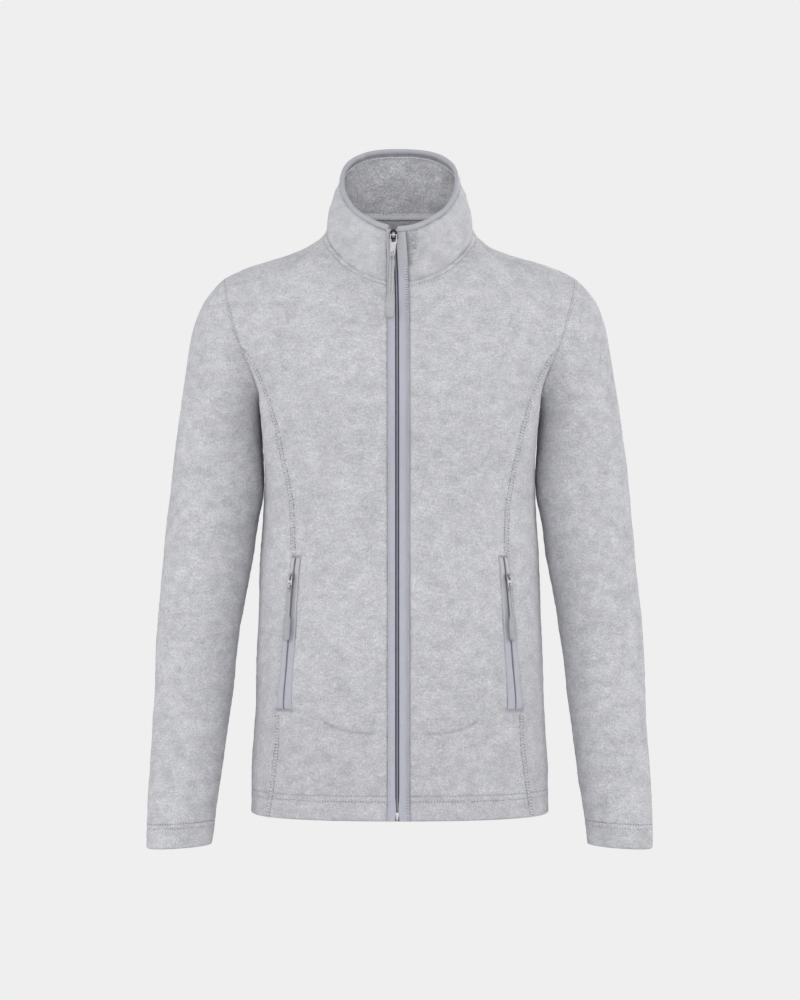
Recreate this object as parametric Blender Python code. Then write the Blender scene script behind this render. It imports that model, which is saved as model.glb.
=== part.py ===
"""Fleece zip jacket, worn form with no wearer.

Frame: metres, +Z up, the front faces -Y, +X is the wearer's left. The origin
is in the middle of the neck, level with the highest point of the shoulder
seams. All sizes below are in millimetres and are turned to metres when the
meshes are made. Names ending in _r are the wearer's right side (-X).
"""

import math

import bmesh
import bpy
import numpy as np

for old in list(bpy.data.objects):
    bpy.data.objects.remove(old, do_unlink=True)
for old in list(bpy.data.collections):
    bpy.data.collections.remove(old)

MM = 0.001

# ------------------------------------------------------------------ sizes
WALL = 2.0            # one layer of fleece
HEM_WALL = 4.0        # where the edge is turned up
SEAM_GAP = 0.35       # between two pieces at a seam
HEM_Z = -652.0
HEM_TURN = 26.0       # depth of the turned-up hem
CUFF_TURN = 24.0
ZIP_EDGE = 10.5       # fleece edge to the middle of the zip
STRIP_IN, STRIP_OUT = 2.1, 10.1   # zip binding, from the zip's middle
COLLAR_BIND = 3.4     # half of the collar binding's depth
SIDE_SEAM_Y = 2.0

# Body of the jacket: one row per level. half = half width at the side,
# front and back = depth from the side line to the centre front and back,
# pf and pb = how square the section is in front and behind (2 = ellipse).
# Above z = -190 the side runs out over the shoulder, which the sleeve covers.
BODY = (
    # z,     half,  front,  back,   pf,   pb
    (-720.0, 167.0, 132.0, 122.0, 2.35, 2.45),
    (-652.0, 166.0, 130.0, 120.0, 2.35, 2.45),
    (-606.0, 165.2, 128.5, 118.0, 2.35, 2.45),
    (-572.0, 163.0, 127.0, 116.0, 2.35, 2.45),
    (-539.0, 161.0, 125.0, 113.0, 2.35, 2.45),
    (-505.0, 160.0, 122.5, 109.0, 2.35, 2.45),
    (-471.0, 159.0, 119.5, 104.0, 2.35, 2.42),
    (-438.0, 157.8, 117.0, 98.5, 2.35, 2.40),
    (-404.0, 156.7, 114.5, 93.0, 2.35, 2.40),
    (-371.0, 155.7, 112.8, 89.0, 2.35, 2.40),
    (-337.0, 154.7, 112.2, 87.5, 2.35, 2.40),
    (-304.0, 154.2, 113.5, 89.5, 2.35, 2.40),
    (-275.0, 155.5, 116.5, 94.0, 2.35, 2.40),
    (-247.0, 159.5, 121.5, 101.0, 2.35, 2.40),
    (-215.0, 163.0, 127.5, 109.0, 2.35, 2.40),
    (-190.0, 164.0, 130.0, 113.5, 2.35, 2.40),
    (-170.0, 169.0, 128.5, 116.0, 2.33, 2.40),
    (-147.0, 189.0, 121.0, 116.5, 2.30, 2.38),
    (-123.0, 211.0, 108.5, 113.5, 2.25, 2.35),
    (-101.0, 233.0, 96.0, 108.5, 2.15, 2.30),
    (-85.0, 235.0, 88.0, 103.5, 2.10, 2.25),
    (-71.0, 223.0, 81.0, 98.5, 2.08, 2.20),
    (-57.0, 199.0, 74.0, 93.0, 2.05, 2.15),
    (-51.0, 190.0, 70.5, 90.5, 2.05, 2.12),
    (-44.0, 173.0, 66.0, 87.5, 2.05, 2.10),
    (-37.0, 150.5, 60.0, 84.5, 2.05, 2.10),
    (-30.0, 127.0, 52.0, 81.5, 2.05, 2.10),
    (-23.5, 112.0, 44.0, 78.5, 2.05, 2.10),
    (-17.0, 101.0, 36.0, 75.5, 2.05, 2.10),
    (-10.0, 91.5, 28.0, 72.0, 2.05, 2.10),
    (-3.0, 85.5, 20.0, 69.0, 2.05, 2.10),
    (4.0, 81.5, 14.0, 66.0, 2.05, 2.10),
    (14.0, 79.0, 10.0, 62.0, 2.05, 2.10),
    (50.0, 77.0, 8.0, 57.0, 2.05, 2.10),
)

# How far the hanging arm presses the side of the body in.
PRESS = (
    # z,     depth
    (-720.0, 0.0),
    (-400.0, 0.0),
    (-340.0, 1.0),
    (-304.0, 2.5),
    (-270.0, 6.0),
    (-240.0, 11.0),
    (-215.0, 14.0),
    (-190.0, 13.5),
    (-172.0, 7.0),
    (-150.0, 0.0),
    (50.0, 0.0),
)
PRESS_Y, PRESS_SPREAD = 8.0, 24.0

# Princess seam: distance from the centre plane at each level. Between the
# pocket's two ends it is the pocket mouth's edge on the side panel.
PRINCESS = (
    # z,     x
    (-652.0, 145.2),
    (-620.0, 140.2),
    (-585.0, 136.0),
    (-560.0, 134.0),
    (-533.0, 134.6),
    (-480.0, 129.9),
    (-430.0, 125.1),
    (-395.0, 121.6),
    (-375.0, 119.2),
    (-360.0, 117.2),
    (-335.0, 117.4),
    (-303.0, 119.4),
    (-279.0, 123.7),
    (-258.0, 128.4),
    (-226.0, 135.6),
    (-197.0, 144.0),
    (-173.0, 152.0),
    (-151.0, 162.5),
    (-137.0, 174.2),
)
JUNCTION_Z = -137.0   # where the princess seam meets the armhole
POCKET_TOP, POCKET_END = -366.0, -533.0
MOUTH_TOP, MOUTH_END = 9.0, 16.4   # mouth width in front view at both ends

# Middle of the front zip, which leans a little towards the collar.
ZIP_LINE = (
    # z,     x
    (-720.0, -2.6),
    (-400.0, -2.7),
    (-200.0, -2.7),
    (-105.0, -2.9),
    (-70.0, -3.4),
    (-40.0, -4.6),
    (-6.0, -7.0),
    (60.0, -8.0),
)

# Neck seam, as a plan oval, and its rise from the front to the back.
NECK_HALF, NECK_DEPTH, NECK_MID, NECK_POWER = 80.5, 70.0, -8.0, 2.1
NECK_FRONT_Z, NECK_RISE, NECK_EASE = -64.0, 78.0, 0.85
SHOULDER_Y = 3.0

# Collar's top edge in plan, as radius round (0, COLLAR_MID) by angle from
# the front, and the plane it lies in.
COLLAR_TOP = (
    # angle, radius
    (0.0, 76.0),
    (12.0, 74.5),
    (22.0, 70.6),
    (34.0, 66.8),
    (50.0, 64.6),
    (68.0, 62.4),
    (80.0, 63.0),
    (97.0, 65.4),
    (110.0, 69.2),
    (120.0, 73.0),
    (132.0, 76.4),
    (145.0, 77.6),
    (160.0, 75.4),
    (180.0, 72.8),
)
COLLAR_MID, COLLAR_FRONT_Z, COLLAR_SLOPE = -15.0, -6.4, 0.663
COLLAR_BULGE = 1.5
COLLAR_SIDE_BULGE = 4.2

# Armhole, a loop through a shoulder point and an underarm point.
TIP_X, TIP_Z = 197.0, -57.0
PIT_X, PIT_Z = 150.0, -190.0
LOOP_FRONT, LOOP_BACK, LOOP_POWER, LOOP_BOW = 64.0, 68.0, 2.2, 6.0

# Sleeve's outline seen from the front.
SLEEVE_OUT = (
    # z,     x
    (-57.0, 197.0),
    (-64.0, 203.7),
    (-68.5, 208.0),
    (-85.0, 220.0),
    (-102.0, 227.4),
    (-119.0, 232.4),
    (-136.0, 235.8),
    (-152.0, 238.2),
    (-169.0, 240.6),
    (-186.0, 243.4),
    (-203.0, 246.0),
    (-236.0, 250.4),
    (-270.0, 254.6),
    (-304.0, 258.2),
    (-337.0, 261.3),
    (-371.0, 264.2),
    (-404.0, 267.2),
    (-438.0, 270.2),
    (-471.0, 272.3),
    (-505.0, 273.3),
    (-539.0, 274.3),
    (-572.0, 276.0),
    (-606.0, 278.2),
    (-640.0, 280.2),
    (-700.0, 280.6),
)
SLEEVE_IN = (
    # z,     x
    (-190.0, 150.0),
    (-193.0, 153.2),
    (-198.0, 155.0),
    (-206.0, 155.8),
    (-218.0, 156.0),
    (-247.0, 155.6),
    (-275.0, 155.2),
    (-304.0, 156.2),
    (-337.0, 160.6),
    (-371.0, 165.4),
    (-404.0, 171.4),
    (-438.0, 177.2),
    (-471.0, 182.0),
    (-505.0, 185.6),
    (-539.0, 190.0),
    (-572.0, 194.0),
    (-606.0, 198.6),
    (-640.0, 203.4),
    (-673.0, 207.4),
    (-700.0, 211.0),
)

# Sleeve sections. out and in = levels of the outer and inner points,
# depth = half depth front to back, mid = its middle, bow = how far the
# section bulges out of its plane, power = how square it is.
SLEEVE = (
    # out,   in,     depth, mid,  bow, power
    (-57.0, -190.0, 64.0, 0.0, 6.0, 2.20),
    (-64.0, -191.6, 64.3, 0.6, 6.0, 2.20),
    (-77.0, -194.5, 64.5, 1.8, 5.6, 2.18),
    (-94.0, -198.5, 64.3, 3.4, 5.0, 2.16),
    (-116.0, -205.0, 63.6, 5.4, 4.0, 2.14),
    (-142.0, -214.0, 62.6, 7.4, 3.0, 2.12),
    (-171.0, -227.0, 61.2, 9.2, 2.0, 2.10),
    (-203.0, -244.0, 59.6, 10.4, 1.0, 2.08),
    (-237.0, -264.0, 58.0, 10.4, 0.4, 2.06),
    (-273.0, -288.0, 56.4, 9.4, 0.0, 2.05),
    (-312.0, -318.0, 54.8, 7.6, 0.0, 2.05),
    (-355.0, -356.0, 52.4, 4.4, 0.0, 2.05),
    (-404.0, -404.0, 49.4, 0.0, 0.0, 2.05),
    (-458.0, -458.0, 46.0, -5.6, 0.0, 2.05),
    (-514.0, -514.0, 42.4, -12.0, 0.0, 2.05),
    (-572.0, -571.0, 38.6, -19.0, 0.0, 2.05),
    (-625.0, -622.5, 35.2, -26.0, 0.0, 2.05),
    (-664.5, -660.5, 32.6, -31.0, 0.0, 2.05),
    (-690.0, -685.5, 31.4, -34.0, 0.0, 2.05),
)


# ------------------------------------------------------- smooth curves
def pchip(table, column, at):
    """Monotone cubic through one column of a table, read at the given keys."""
    rows = sorted(table)
    x = np.array([r[0] for r in rows])
    y = np.array([r[column] for r in rows])
    h = np.diff(x)
    d = np.diff(y) / h
    m = np.zeros(len(x))
    m[0], m[-1] = d[0], d[-1]
    for i in range(1, len(x) - 1):
        if d[i - 1] * d[i] > 0:
            w1, w2 = 2 * h[i] + h[i - 1], h[i] + 2 * h[i - 1]
            m[i] = (w1 + w2) / (w1 / d[i - 1] + w2 / d[i])
    at = np.clip(at, x[0], x[-1])
    i = np.clip(np.searchsorted(x, at, side="right") - 1, 0, len(h) - 1)
    t = (at - x[i]) / h[i]
    return (
        (2 * t**3 - 3 * t**2 + 1) * y[i]
        + (t**3 - 2 * t**2 + t) * h[i] * m[i]
        + (-2 * t**3 + 3 * t**2) * y[i + 1]
        + (t**3 - t**2) * h[i] * m[i + 1]
    )


def smoothed(table, column, low, high, spread):
    """The same curve on a 1 mm (or 1 degree) ladder, rounded over spread."""
    keys = np.arange(low, high + 0.5, 1.0)
    reach = int(4 * spread)
    wide = np.arange(low - reach, high + reach + 0.5, 1.0)
    values = pchip(table, column, wide)
    kernel = np.exp(-0.5 * (np.arange(-reach, reach + 1) / spread) ** 2)
    kernel /= kernel.sum()
    return keys, np.convolve(values, kernel, mode="valid")


LEVELS = {
    name: smoothed(BODY, i, -700, 45, 5.0)
    for i, name in ((1, "half"), (2, "front"), (3, "back"), (4, "pf"), (5, "pb"))
}
PRESSED = smoothed(PRESS, 1, -700, 45, 8.0)
SEAM_X = smoothed(PRINCESS, 1, -652, -137, 4.0)
RIM = smoothed(COLLAR_TOP, 1, 0, 180, 5.0)


def level(name, z):
    keys, values = LEVELS[name]
    return np.interp(z, keys, values)


def power(value, p):
    return np.sign(value) * np.abs(value) ** p


def unit(v):
    return v / np.maximum(np.linalg.norm(v, axis=-1, keepdims=True), 1e-9)


# ------------------------------------------------------- the body's form
CHART_Z, CHART_R = -250.0, 165.0


def outside(x, y, z):
    """Below 0 inside the body's form, above 0 outside it."""
    fore = y < 0
    depth = np.where(fore, level("front", z), level("back", z))
    p = np.where(fore, level("pf", z), level("pb", z))
    return (np.abs(x) / level("half", z)) ** p + (np.abs(y) / depth) ** p - 1


def press(y, z):
    keys, values = PRESSED
    return np.interp(z, keys, values) * np.exp(-0.5 * ((y - PRESS_Y) / PRESS_SPREAD) ** 2)


def body(phi, w):
    """A point of the body's form. phi is the angle from the front. w is the
    level up to CHART_Z, and above it the angle of a ray that rises from there."""
    phi, w = np.broadcast_arrays(np.asarray(phi, float), np.asarray(w, float))
    base = np.minimum(w, CHART_Z)
    rise = np.maximum(w - CHART_Z, 0) / CHART_R
    dx, dy, dz = np.cos(rise) * np.sin(phi), -np.cos(rise) * np.cos(phi), np.sin(rise)
    low, high = np.full(phi.shape, 5.0), np.full(phi.shape, 430.0)
    for _ in range(42):
        t = (low + high) / 2
        inside = outside(t * dx, t * dy, base + t * dz) < 0
        low, high = np.where(inside, t, low), np.where(inside, high, t)
    x, y, z = low * dx, low * dy, base + low * dz
    x = x - press(y, z) * np.clip((x - 90) / 45, 0, 1)
    return np.stack([x, y, z], axis=-1)


def chart(p):
    """phi and w of points on or near the body's form."""
    x = p[..., 0] + press(p[..., 1], p[..., 2]) * np.clip((p[..., 0] - 90) / 45, 0, 1)
    y, z = p[..., 1], p[..., 2]
    rise = np.arctan2(z - CHART_Z, np.hypot(x, y))
    w = np.where(z < CHART_Z, z, CHART_Z + CHART_R * rise)
    return np.stack([np.arctan2(x, -y), w], axis=-1)


def front_at(x, z):
    """The point of the form's front at a distance x from the centre plane."""
    a, b, p = level("half", z), level("front", z), level("pf", z)
    y = -b * np.maximum(1 - (np.abs(x) / a) ** p, 0) ** (1 / p)
    return np.stack(np.broadcast_arrays(x, y, z), axis=-1)


def back_at(x, z):
    a, b, p = level("half", z), level("back", z), level("pb", z)
    y = b * np.maximum(1 - (np.abs(x) / a) ** p, 0) ** (1 / p)
    return np.stack(np.broadcast_arrays(x, y, z), axis=-1)


# ------------------------------------------------------------ seam lines
def neck(turn):
    """Neck seam. turn runs from 0 at the centre front to pi at the back."""
    x = NECK_HALF * power(np.sin(turn), 2 / NECK_POWER)
    y = NECK_MID - NECK_DEPTH * power(np.cos(turn), 2 / NECK_POWER)
    t = (y - NECK_MID + NECK_DEPTH) / (2 * NECK_DEPTH)
    z = NECK_FRONT_Z + NECK_RISE * np.sin(math.pi / 2 * np.clip(t, 0, 1) ** NECK_EASE)
    return np.stack([x, y, z], axis=-1)


def neck_turn_at_x(x):
    return math.asin((x / NECK_HALF) ** (NECK_POWER / 2))


def neck_turn_at_y(y):
    c = (NECK_MID - y) / NECK_DEPTH
    return math.acos(math.copysign(abs(c) ** (NECK_POWER / 2), c))


def ring(at, out, inn, depth_front, depth_back, mid, bow, p):
    """One section of the sleeve. at runs from 0 at its outer or top point over
    the front to 0.5 at the inner point, and back over the rear to 1."""
    c = power(np.cos(2 * math.pi * at), 2 / p)
    s = power(np.sin(2 * math.pi * at), 2 / p)
    cx, cz = (out[0] + inn[0]) / 2, (out[1] + inn[1]) / 2
    ax, az = (out[0] - inn[0]) / 2, (out[1] - inn[1]) / 2
    size = np.hypot(ax, az)
    x = cx + ax * c + bow * az / size * s**2
    z = cz + az * c - bow * ax / size * s**2
    y = mid - np.where(s > 0, depth_front, depth_back) * s
    return np.stack(np.broadcast_arrays(x, y, z), axis=-1)


def armhole(at):
    return ring(
        at, (TIP_X, TIP_Z), (PIT_X, PIT_Z), LOOP_FRONT, LOOP_BACK, 0.0, LOOP_BOW, LOOP_POWER
    )


def sleeve(at, station):
    """A point of the sleeve: round it by at, down it by station 0 to 18."""
    at, station = np.broadcast_arrays(np.asarray(at, float), np.asarray(station, float))
    rows = [(i,) + row for i, row in enumerate(SLEEVE)]
    zo, zi, depth, mid, bow, p = (pchip(rows, c, station) for c in range(1, 7))
    extra = (LOOP_BACK - LOOP_FRONT) * np.clip(1 - station / 6, 0, 1) ** 2
    xo, xi = pchip(SLEEVE_OUT, 1, zo), pchip(SLEEVE_IN, 1, zi)
    return ring(at, (xo, zo), (xi, zi), depth, depth + extra, mid, bow, p)


def junction():
    """The armhole's parameter where the princess seam ends in it."""
    low, high = 0.1, 0.45
    for _ in range(50):
        t = (low + high) / 2
        low, high = (t, high) if armhole(t)[2] > JUNCTION_Z else (low, t)
    return low


JUNCTION = junction()


def zip_x(z):
    return pchip(ZIP_LINE, 1, z)


def edge_x(z, side):
    """Fleece edge beside the zip, in the mirrored half of the given side."""
    return side * zip_x(z) + ZIP_EDGE


def with_ends(points, first=None, last=None, reach=22.0):
    """Bends a curve on the form so that it ends in the given points."""
    points = points.copy()
    run = np.concatenate([[0], np.cumsum(np.linalg.norm(np.diff(points, axis=0), axis=1))])
    if first is not None:
        points += (first - points[0]) * np.exp(-run / reach)[:, None]
        points[0] = first
    if last is not None:
        points += (last - points[-1]) * np.exp(-(run[-1] - run) / reach)[:, None]
        points[-1] = last
    return points


def princess(z):
    keys, values = SEAM_X
    points = front_at(np.interp(z, keys, values), z)
    return with_ends(points, last=armhole(JUNCTION) if abs(z[-1] - JUNCTION_Z) < 1e-6 else None)


def side_seam(z):
    x = level("half", z) - press(np.full_like(z, SIDE_SEAM_Y), z)
    points = np.stack([x, np.full_like(z, SIDE_SEAM_Y), z], axis=-1)
    return with_ends(points, last=armhole(0.5))


def shoulder(t):
    """Shoulder seam, t from 0 at the neck to 1 at the armhole."""
    a, b = neck(neck_turn_at_y(SHOULDER_Y)), armhole(0.0)
    ends = chart(np.stack([a, b]))
    path = ends[0] + (ends[1] - ends[0]) * t[:, None]
    return with_ends(body(path[:, 0], path[:, 1]), a, b, 40.0)


def front_edge(z, side):
    points = front_at(edge_x(z, side), z)
    return with_ends(points, last=neck(neck_turn_at_x(edge_x(NECK_FRONT_Z, side))))


def along(points, n):
    """n + 1 points evenly spaced along a polyline."""
    run = np.concatenate([[0], np.cumsum(np.linalg.norm(np.diff(points, axis=0), axis=1))])
    at = np.linspace(0, run[-1], n + 1)
    return np.stack([np.interp(at, run, points[:, i]) for i in range(3)], axis=-1)


def ladder(knots, counts, fine):
    """Values from knot to knot, counts[i] steps between two, each cut in fine."""
    out = [np.array([knots[0]])]
    for a, b, n in zip(knots[:-1], knots[1:], counts):
        out.append(np.linspace(a, b, n * fine + 1)[1:])
    return np.concatenate(out)


# -------------------------------------------------------------- patches
def spread_of(u, v, left, right, low, top, fade_u, fade_v):
    """Blend of four sides over a patch: left and right run along v, low and
    top along u. A fade over 1 keeps each side's share near that side."""
    U, V = u[:, None, None], v[None, :, None]
    fl, fr, fb, ft = (1 - U) ** fade_u, U**fade_u, (1 - V) ** fade_v, V**fade_v
    sides = fl * left[None] + fr * right[None] + fb * low[:, None] + ft * top[:, None]
    corners = (
        fl * fb * left[0] + fr * fb * right[0] + fl * ft * left[-1] + fr * ft * right[-1]
    )
    return sides - corners


def patch(u, v, left, right, low, top, fan=4.0):
    """Points on the form between four boundary curves, which it meets. The
    columns keep to the two sides and fan out to the top in the last rows."""
    charts = [chart(side) for side in (left, right, low, top)]
    grid = spread_of(u, v, *charts, 1.0, fan)
    points = body(grid[..., 0], grid[..., 1])
    rest = [side - body(c[:, 0], c[:, 1]) for side, c in zip((left, right, low, top), charts)]
    return points + spread_of(u, v, *rest, 4.0, 4.0)


def normals_of(points, wrap=False):
    if wrap:
        du = np.roll(points, -1, axis=0) - np.roll(points, 1, axis=0)
    else:
        du = np.gradient(points, axis=0)
    dv = np.gradient(points, axis=1)
    return unit(np.cross(du, dv))


def outwards(points, normals, centre):
    facing = np.sum(normals * (points - centre), axis=-1).sum()
    return normals if facing > 0 else -normals


# ------------------------------------------------- pieces of the body
# Steps of the coarse solids: rows from the hem up, columns round the body.
SEAM_STEPS = (1, 3, 1, 4, 1, 6)      # princess seam, from knot to knot
FRONT_HOLE, SIDE_HOLE, BACK_HOLE = 6, 5, 10
NECK_STEPS, SHOULDER_STEPS, BACK_NECK = 5, 5, 5
BACK_KNOT_Z = -230.0   # level of the centre back's row that runs to the underarm


def seam_levels(fine):
    knots = (
        HEM_Z, HEM_Z + HEM_TURN, POCKET_END - 0.8, POCKET_END + 0.8,
        POCKET_TOP - 0.8, POCKET_TOP + 0.8, JUNCTION_Z,
    )
    return ladder(knots, SEAM_STEPS, fine)


def mouth_width(z):
    """Width of the pocket mouth in the front view, 0 outside the pocket."""
    t = (z - POCKET_END) / (POCKET_TOP - POCKET_END)
    inside = np.clip((z - POCKET_END + 0.8) / 1.6, 0, 1) * np.clip((POCKET_TOP + 0.8 - z) / 1.6, 0, 1)
    return (MOUTH_END + (MOUTH_TOP - MOUTH_END) * np.clip(t, 0, 1)) * inside


def side_levels(fine):
    """Levels of the side seam, one for each row of the princess seam."""
    z = seam_levels(fine)
    t = (z - HEM_Z - HEM_TURN) / (JUNCTION_Z - HEM_Z - HEM_TURN)
    upper = HEM_Z + HEM_TURN + t * (PIT_Z - HEM_Z - HEM_TURN)
    return np.where(z < HEM_Z + HEM_TURN, z, upper)


def front_piece(side, fine=4):
    z = seam_levels(fine)
    hole = armhole(np.linspace(JUNCTION, 0, FRONT_HOLE * fine + 1))
    seam = princess(z)
    right = np.concatenate([seam, hole[1:]])
    rows = len(right)
    centre_z = np.concatenate(
        [z + (NECK_FRONT_Z - 90 - JUNCTION_Z) * np.clip((z + 366) / 229, 0, 1) ** 2, np.zeros(rows - len(z))]
    )
    centre_z[len(z) - 1:] = np.linspace(centre_z[len(z) - 1], NECK_FRONT_Z, rows - len(z) + 1)
    left = front_edge(centre_z, side)
    left[-1] = neck(neck_turn_at_x(edge_x(NECK_FRONT_Z, side)))
    a, b = neck_turn_at_x(edge_x(NECK_FRONT_Z, side)), neck_turn_at_y(SHOULDER_Y)
    top = np.concatenate(
        [neck(np.linspace(a, b, NECK_STEPS * fine + 1)), shoulder(np.linspace(0, 1, SHOULDER_STEPS * fine + 1))[1:]]
    )
    columns = len(top)
    x = np.linspace(left[0, 0], right[0, 0], columns)
    low = front_at(x, np.full(columns, HEM_Z))
    u = np.linspace(0, 1, columns)
    run = np.concatenate([[0], np.cumsum(np.linalg.norm(np.diff(right, axis=0), axis=1))])
    v = run / run[-1]
    points = patch(u, v, left, right, low, top)
    # The pocket mouth is a notch in the seam edge.
    notch = np.zeros(rows)
    notch[: len(z)] = mouth_width(z)
    share = np.clip((u - 0.6) / 0.4, 0, 1)
    x = points[..., 0] - notch[None, :] * share[:, None]
    cut = notch[None, :] * share[:, None] > 0
    moved = front_at(x, points[..., 2])
    return np.where(cut[..., None], moved, points)


def side_piece(fine=4):
    z = seam_levels(fine)
    left, right = princess(z), side_seam(side_levels(fine))
    top = armhole(np.linspace(JUNCTION, 0.5, SIDE_HOLE * fine + 1))
    u = np.linspace(0, 1, len(top))
    ends = chart(np.stack([left[0], right[0]]))
    low = body(ends[0, 0] + (ends[1, 0] - ends[0, 0]) * u, np.full(len(u), HEM_Z))
    v = (z - z[0]) / (z[-1] - z[0])
    return patch(u, v, left, right, low, top, 2.0)


def back_piece(fine=4):
    """Half of the back, from the centre back out."""
    z = side_levels(fine)
    hole = armhole(np.linspace(0.5, 1.0, BACK_HOLE * fine + 1))
    right = np.concatenate([side_seam(z), hole[1:]])
    a, b = math.pi, neck_turn_at_y(SHOULDER_Y)
    top = np.concatenate(
        [neck(np.linspace(a, b, BACK_NECK * fine + 1)), shoulder(np.linspace(0, 1, SHOULDER_STEPS * fine + 1))[1:]]
    )
    rows, columns = len(right), len(top)
    neck_z = neck(math.pi)[2]
    t = np.clip((z - HEM_Z - HEM_TURN) / (PIT_Z - HEM_Z - HEM_TURN), 0, 1)
    lower = z + (BACK_KNOT_Z - PIT_Z) * t
    centre_z = np.concatenate([lower, np.linspace(lower[-1], neck_z, rows - len(z) + 1)[1:]])
    left = back_at(np.zeros(rows), centre_z)
    left = with_ends(left, last=neck(math.pi))
    u = np.linspace(0, 1, columns)
    ends = chart(np.stack([left[0], right[0]]))
    low = body(ends[0, 0] + (ends[1, 0] - ends[0, 0]) * u, np.full(columns, HEM_Z))
    run = np.concatenate([[0], np.cumsum(np.linalg.norm(np.diff(right, axis=0), axis=1))])
    v = run / run[-1]
    return patch(u, v, left, right, low, top)


# -------------------------------------------------------------- collar
def rim(angle, drop=0.0):
    """Middle line of the collar's top binding; angle in radians from the front."""
    keys, values = RIM
    r = np.interp(np.degrees(angle), keys, values)
    x, y = r * np.sin(angle), COLLAR_MID - r * np.cos(angle)
    z = COLLAR_FRONT_Z + COLLAR_SLOPE * (y + 90.0)
    return np.stack([x, y, z - drop], axis=-1)


def collar_turns(side, fine):
    """Turns of the neck seam from the zip edge to the centre back."""
    a = neck_turn_at_x(edge_x(NECK_FRONT_Z, side))
    b = neck_turn_at_y(SHOULDER_Y)
    return np.concatenate(
        [np.linspace(a, b, NECK_STEPS * fine + 1), np.linspace(b, math.pi, BACK_NECK * fine + 1)[1:]]
    )


def collar_half(side, fine=4, rows=5, short=0.0):
    """Half of the collar: from the zip edge to the centre back, base to rim.
    short is how far it stops under the rim line."""
    base = neck(collar_turns(side, fine))
    around = np.arctan2(base[:, 0], -(base[:, 1] - NECK_MID))
    tip = math.asin(edge_x(COLLAR_FRONT_Z, side) / RIM[1][8])
    share = np.clip(1 - (around - around[0]) / (math.pi - around[0]), 0, 1)
    upper = rim(around + (tip - around[0]) * share**3)
    line = upper - base
    share = 1 - short / np.linalg.norm(line, axis=1)
    v = np.linspace(0, 1, rows * fine + 1)[None, :] * share[:, None]
    points = base[:, None] + line[:, None] * v[..., None]
    out = unit(np.stack([base[:, 0], base[:, 1] - NECK_MID, np.zeros(len(base))], axis=-1))
    bulge = COLLAR_BULGE + COLLAR_SIDE_BULGE * np.exp(-(((np.degrees(around) - 82) / 36) ** 2))
    return points + out[:, None] * (bulge[:, None] * np.sin(math.pi * v))[..., None]


def mirrored(points, side):
    points = points.copy()
    points[..., 0] *= side
    return points


def whole_collar(fine=4, rows=5, short=0.0):
    """From the right zip edge round the back to the left one."""
    right = mirrored(collar_half(-1, fine, rows, short), -1)
    left = collar_half(1, fine, rows, short)
    return np.concatenate([right, left[-2::-1]])


# ------------------------------------------------------------ materials
def material(name, colour, roughness, metallic=0.0):
    made = bpy.data.materials.new(name)
    made.use_nodes = True
    shader = made.node_tree.nodes["Principled BSDF"]
    shader.inputs["Base Color"].default_value = (*colour, 1.0)
    shader.inputs["Roughness"].default_value = roughness
    shader.inputs["Metallic"].default_value = metallic
    return made


FLEECE = ((0.54, 0.54, 0.57), 0.95)
BINDING = ((0.47, 0.48, 0.55), 0.75)
TAPE = ((0.40, 0.41, 0.48), 0.8)
COIL = ((0.16, 0.17, 0.22), 0.5)
METAL = ((0.72, 0.72, 0.74), 0.3, 1.0)
CORD = ((0.42, 0.42, 0.44), 0.7)
PLASTIC = ((0.44, 0.44, 0.46), 0.45)
WHITE = ((0.78, 0.78, 0.80), 0.4)

parts = bpy.data.collections.new("fleece_zip_jacket")
bpy.context.scene.collection.children.link(parts)
cutters = bpy.data.collections.new("cutters")
bpy.context.scene.collection.children.link(cutters)


def finish_piece(obj, look):
    for holder in list(obj.users_collection):
        holder.objects.unlink(obj)
    parts.objects.link(obj)
    obj.data.materials.clear()
    obj.data.materials.append(material(obj.name + "_finish", *look))
    return obj


def mesh_piece(name, vertices, faces, look, smooth=True):
    mesh = bpy.data.meshes.new(name)
    mesh.from_pydata([tuple(v) for v in np.asarray(vertices) * MM], [], faces)
    mesh.validate()
    obj = bpy.data.objects.new(name, mesh)
    bm = bmesh.new()
    bm.from_mesh(mesh)
    bmesh.ops.recalc_face_normals(bm, faces=bm.faces)
    if bm.calc_volume(signed=True) < 0:
        bmesh.ops.reverse_faces(bm, faces=bm.faces)
    bm.to_mesh(mesh)
    bm.free()
    if smooth:
        mesh.shade_smooth()
        mesh.set_sharp_from_angle(angle=math.radians(50))
    return finish_piece(obj, look)


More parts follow.
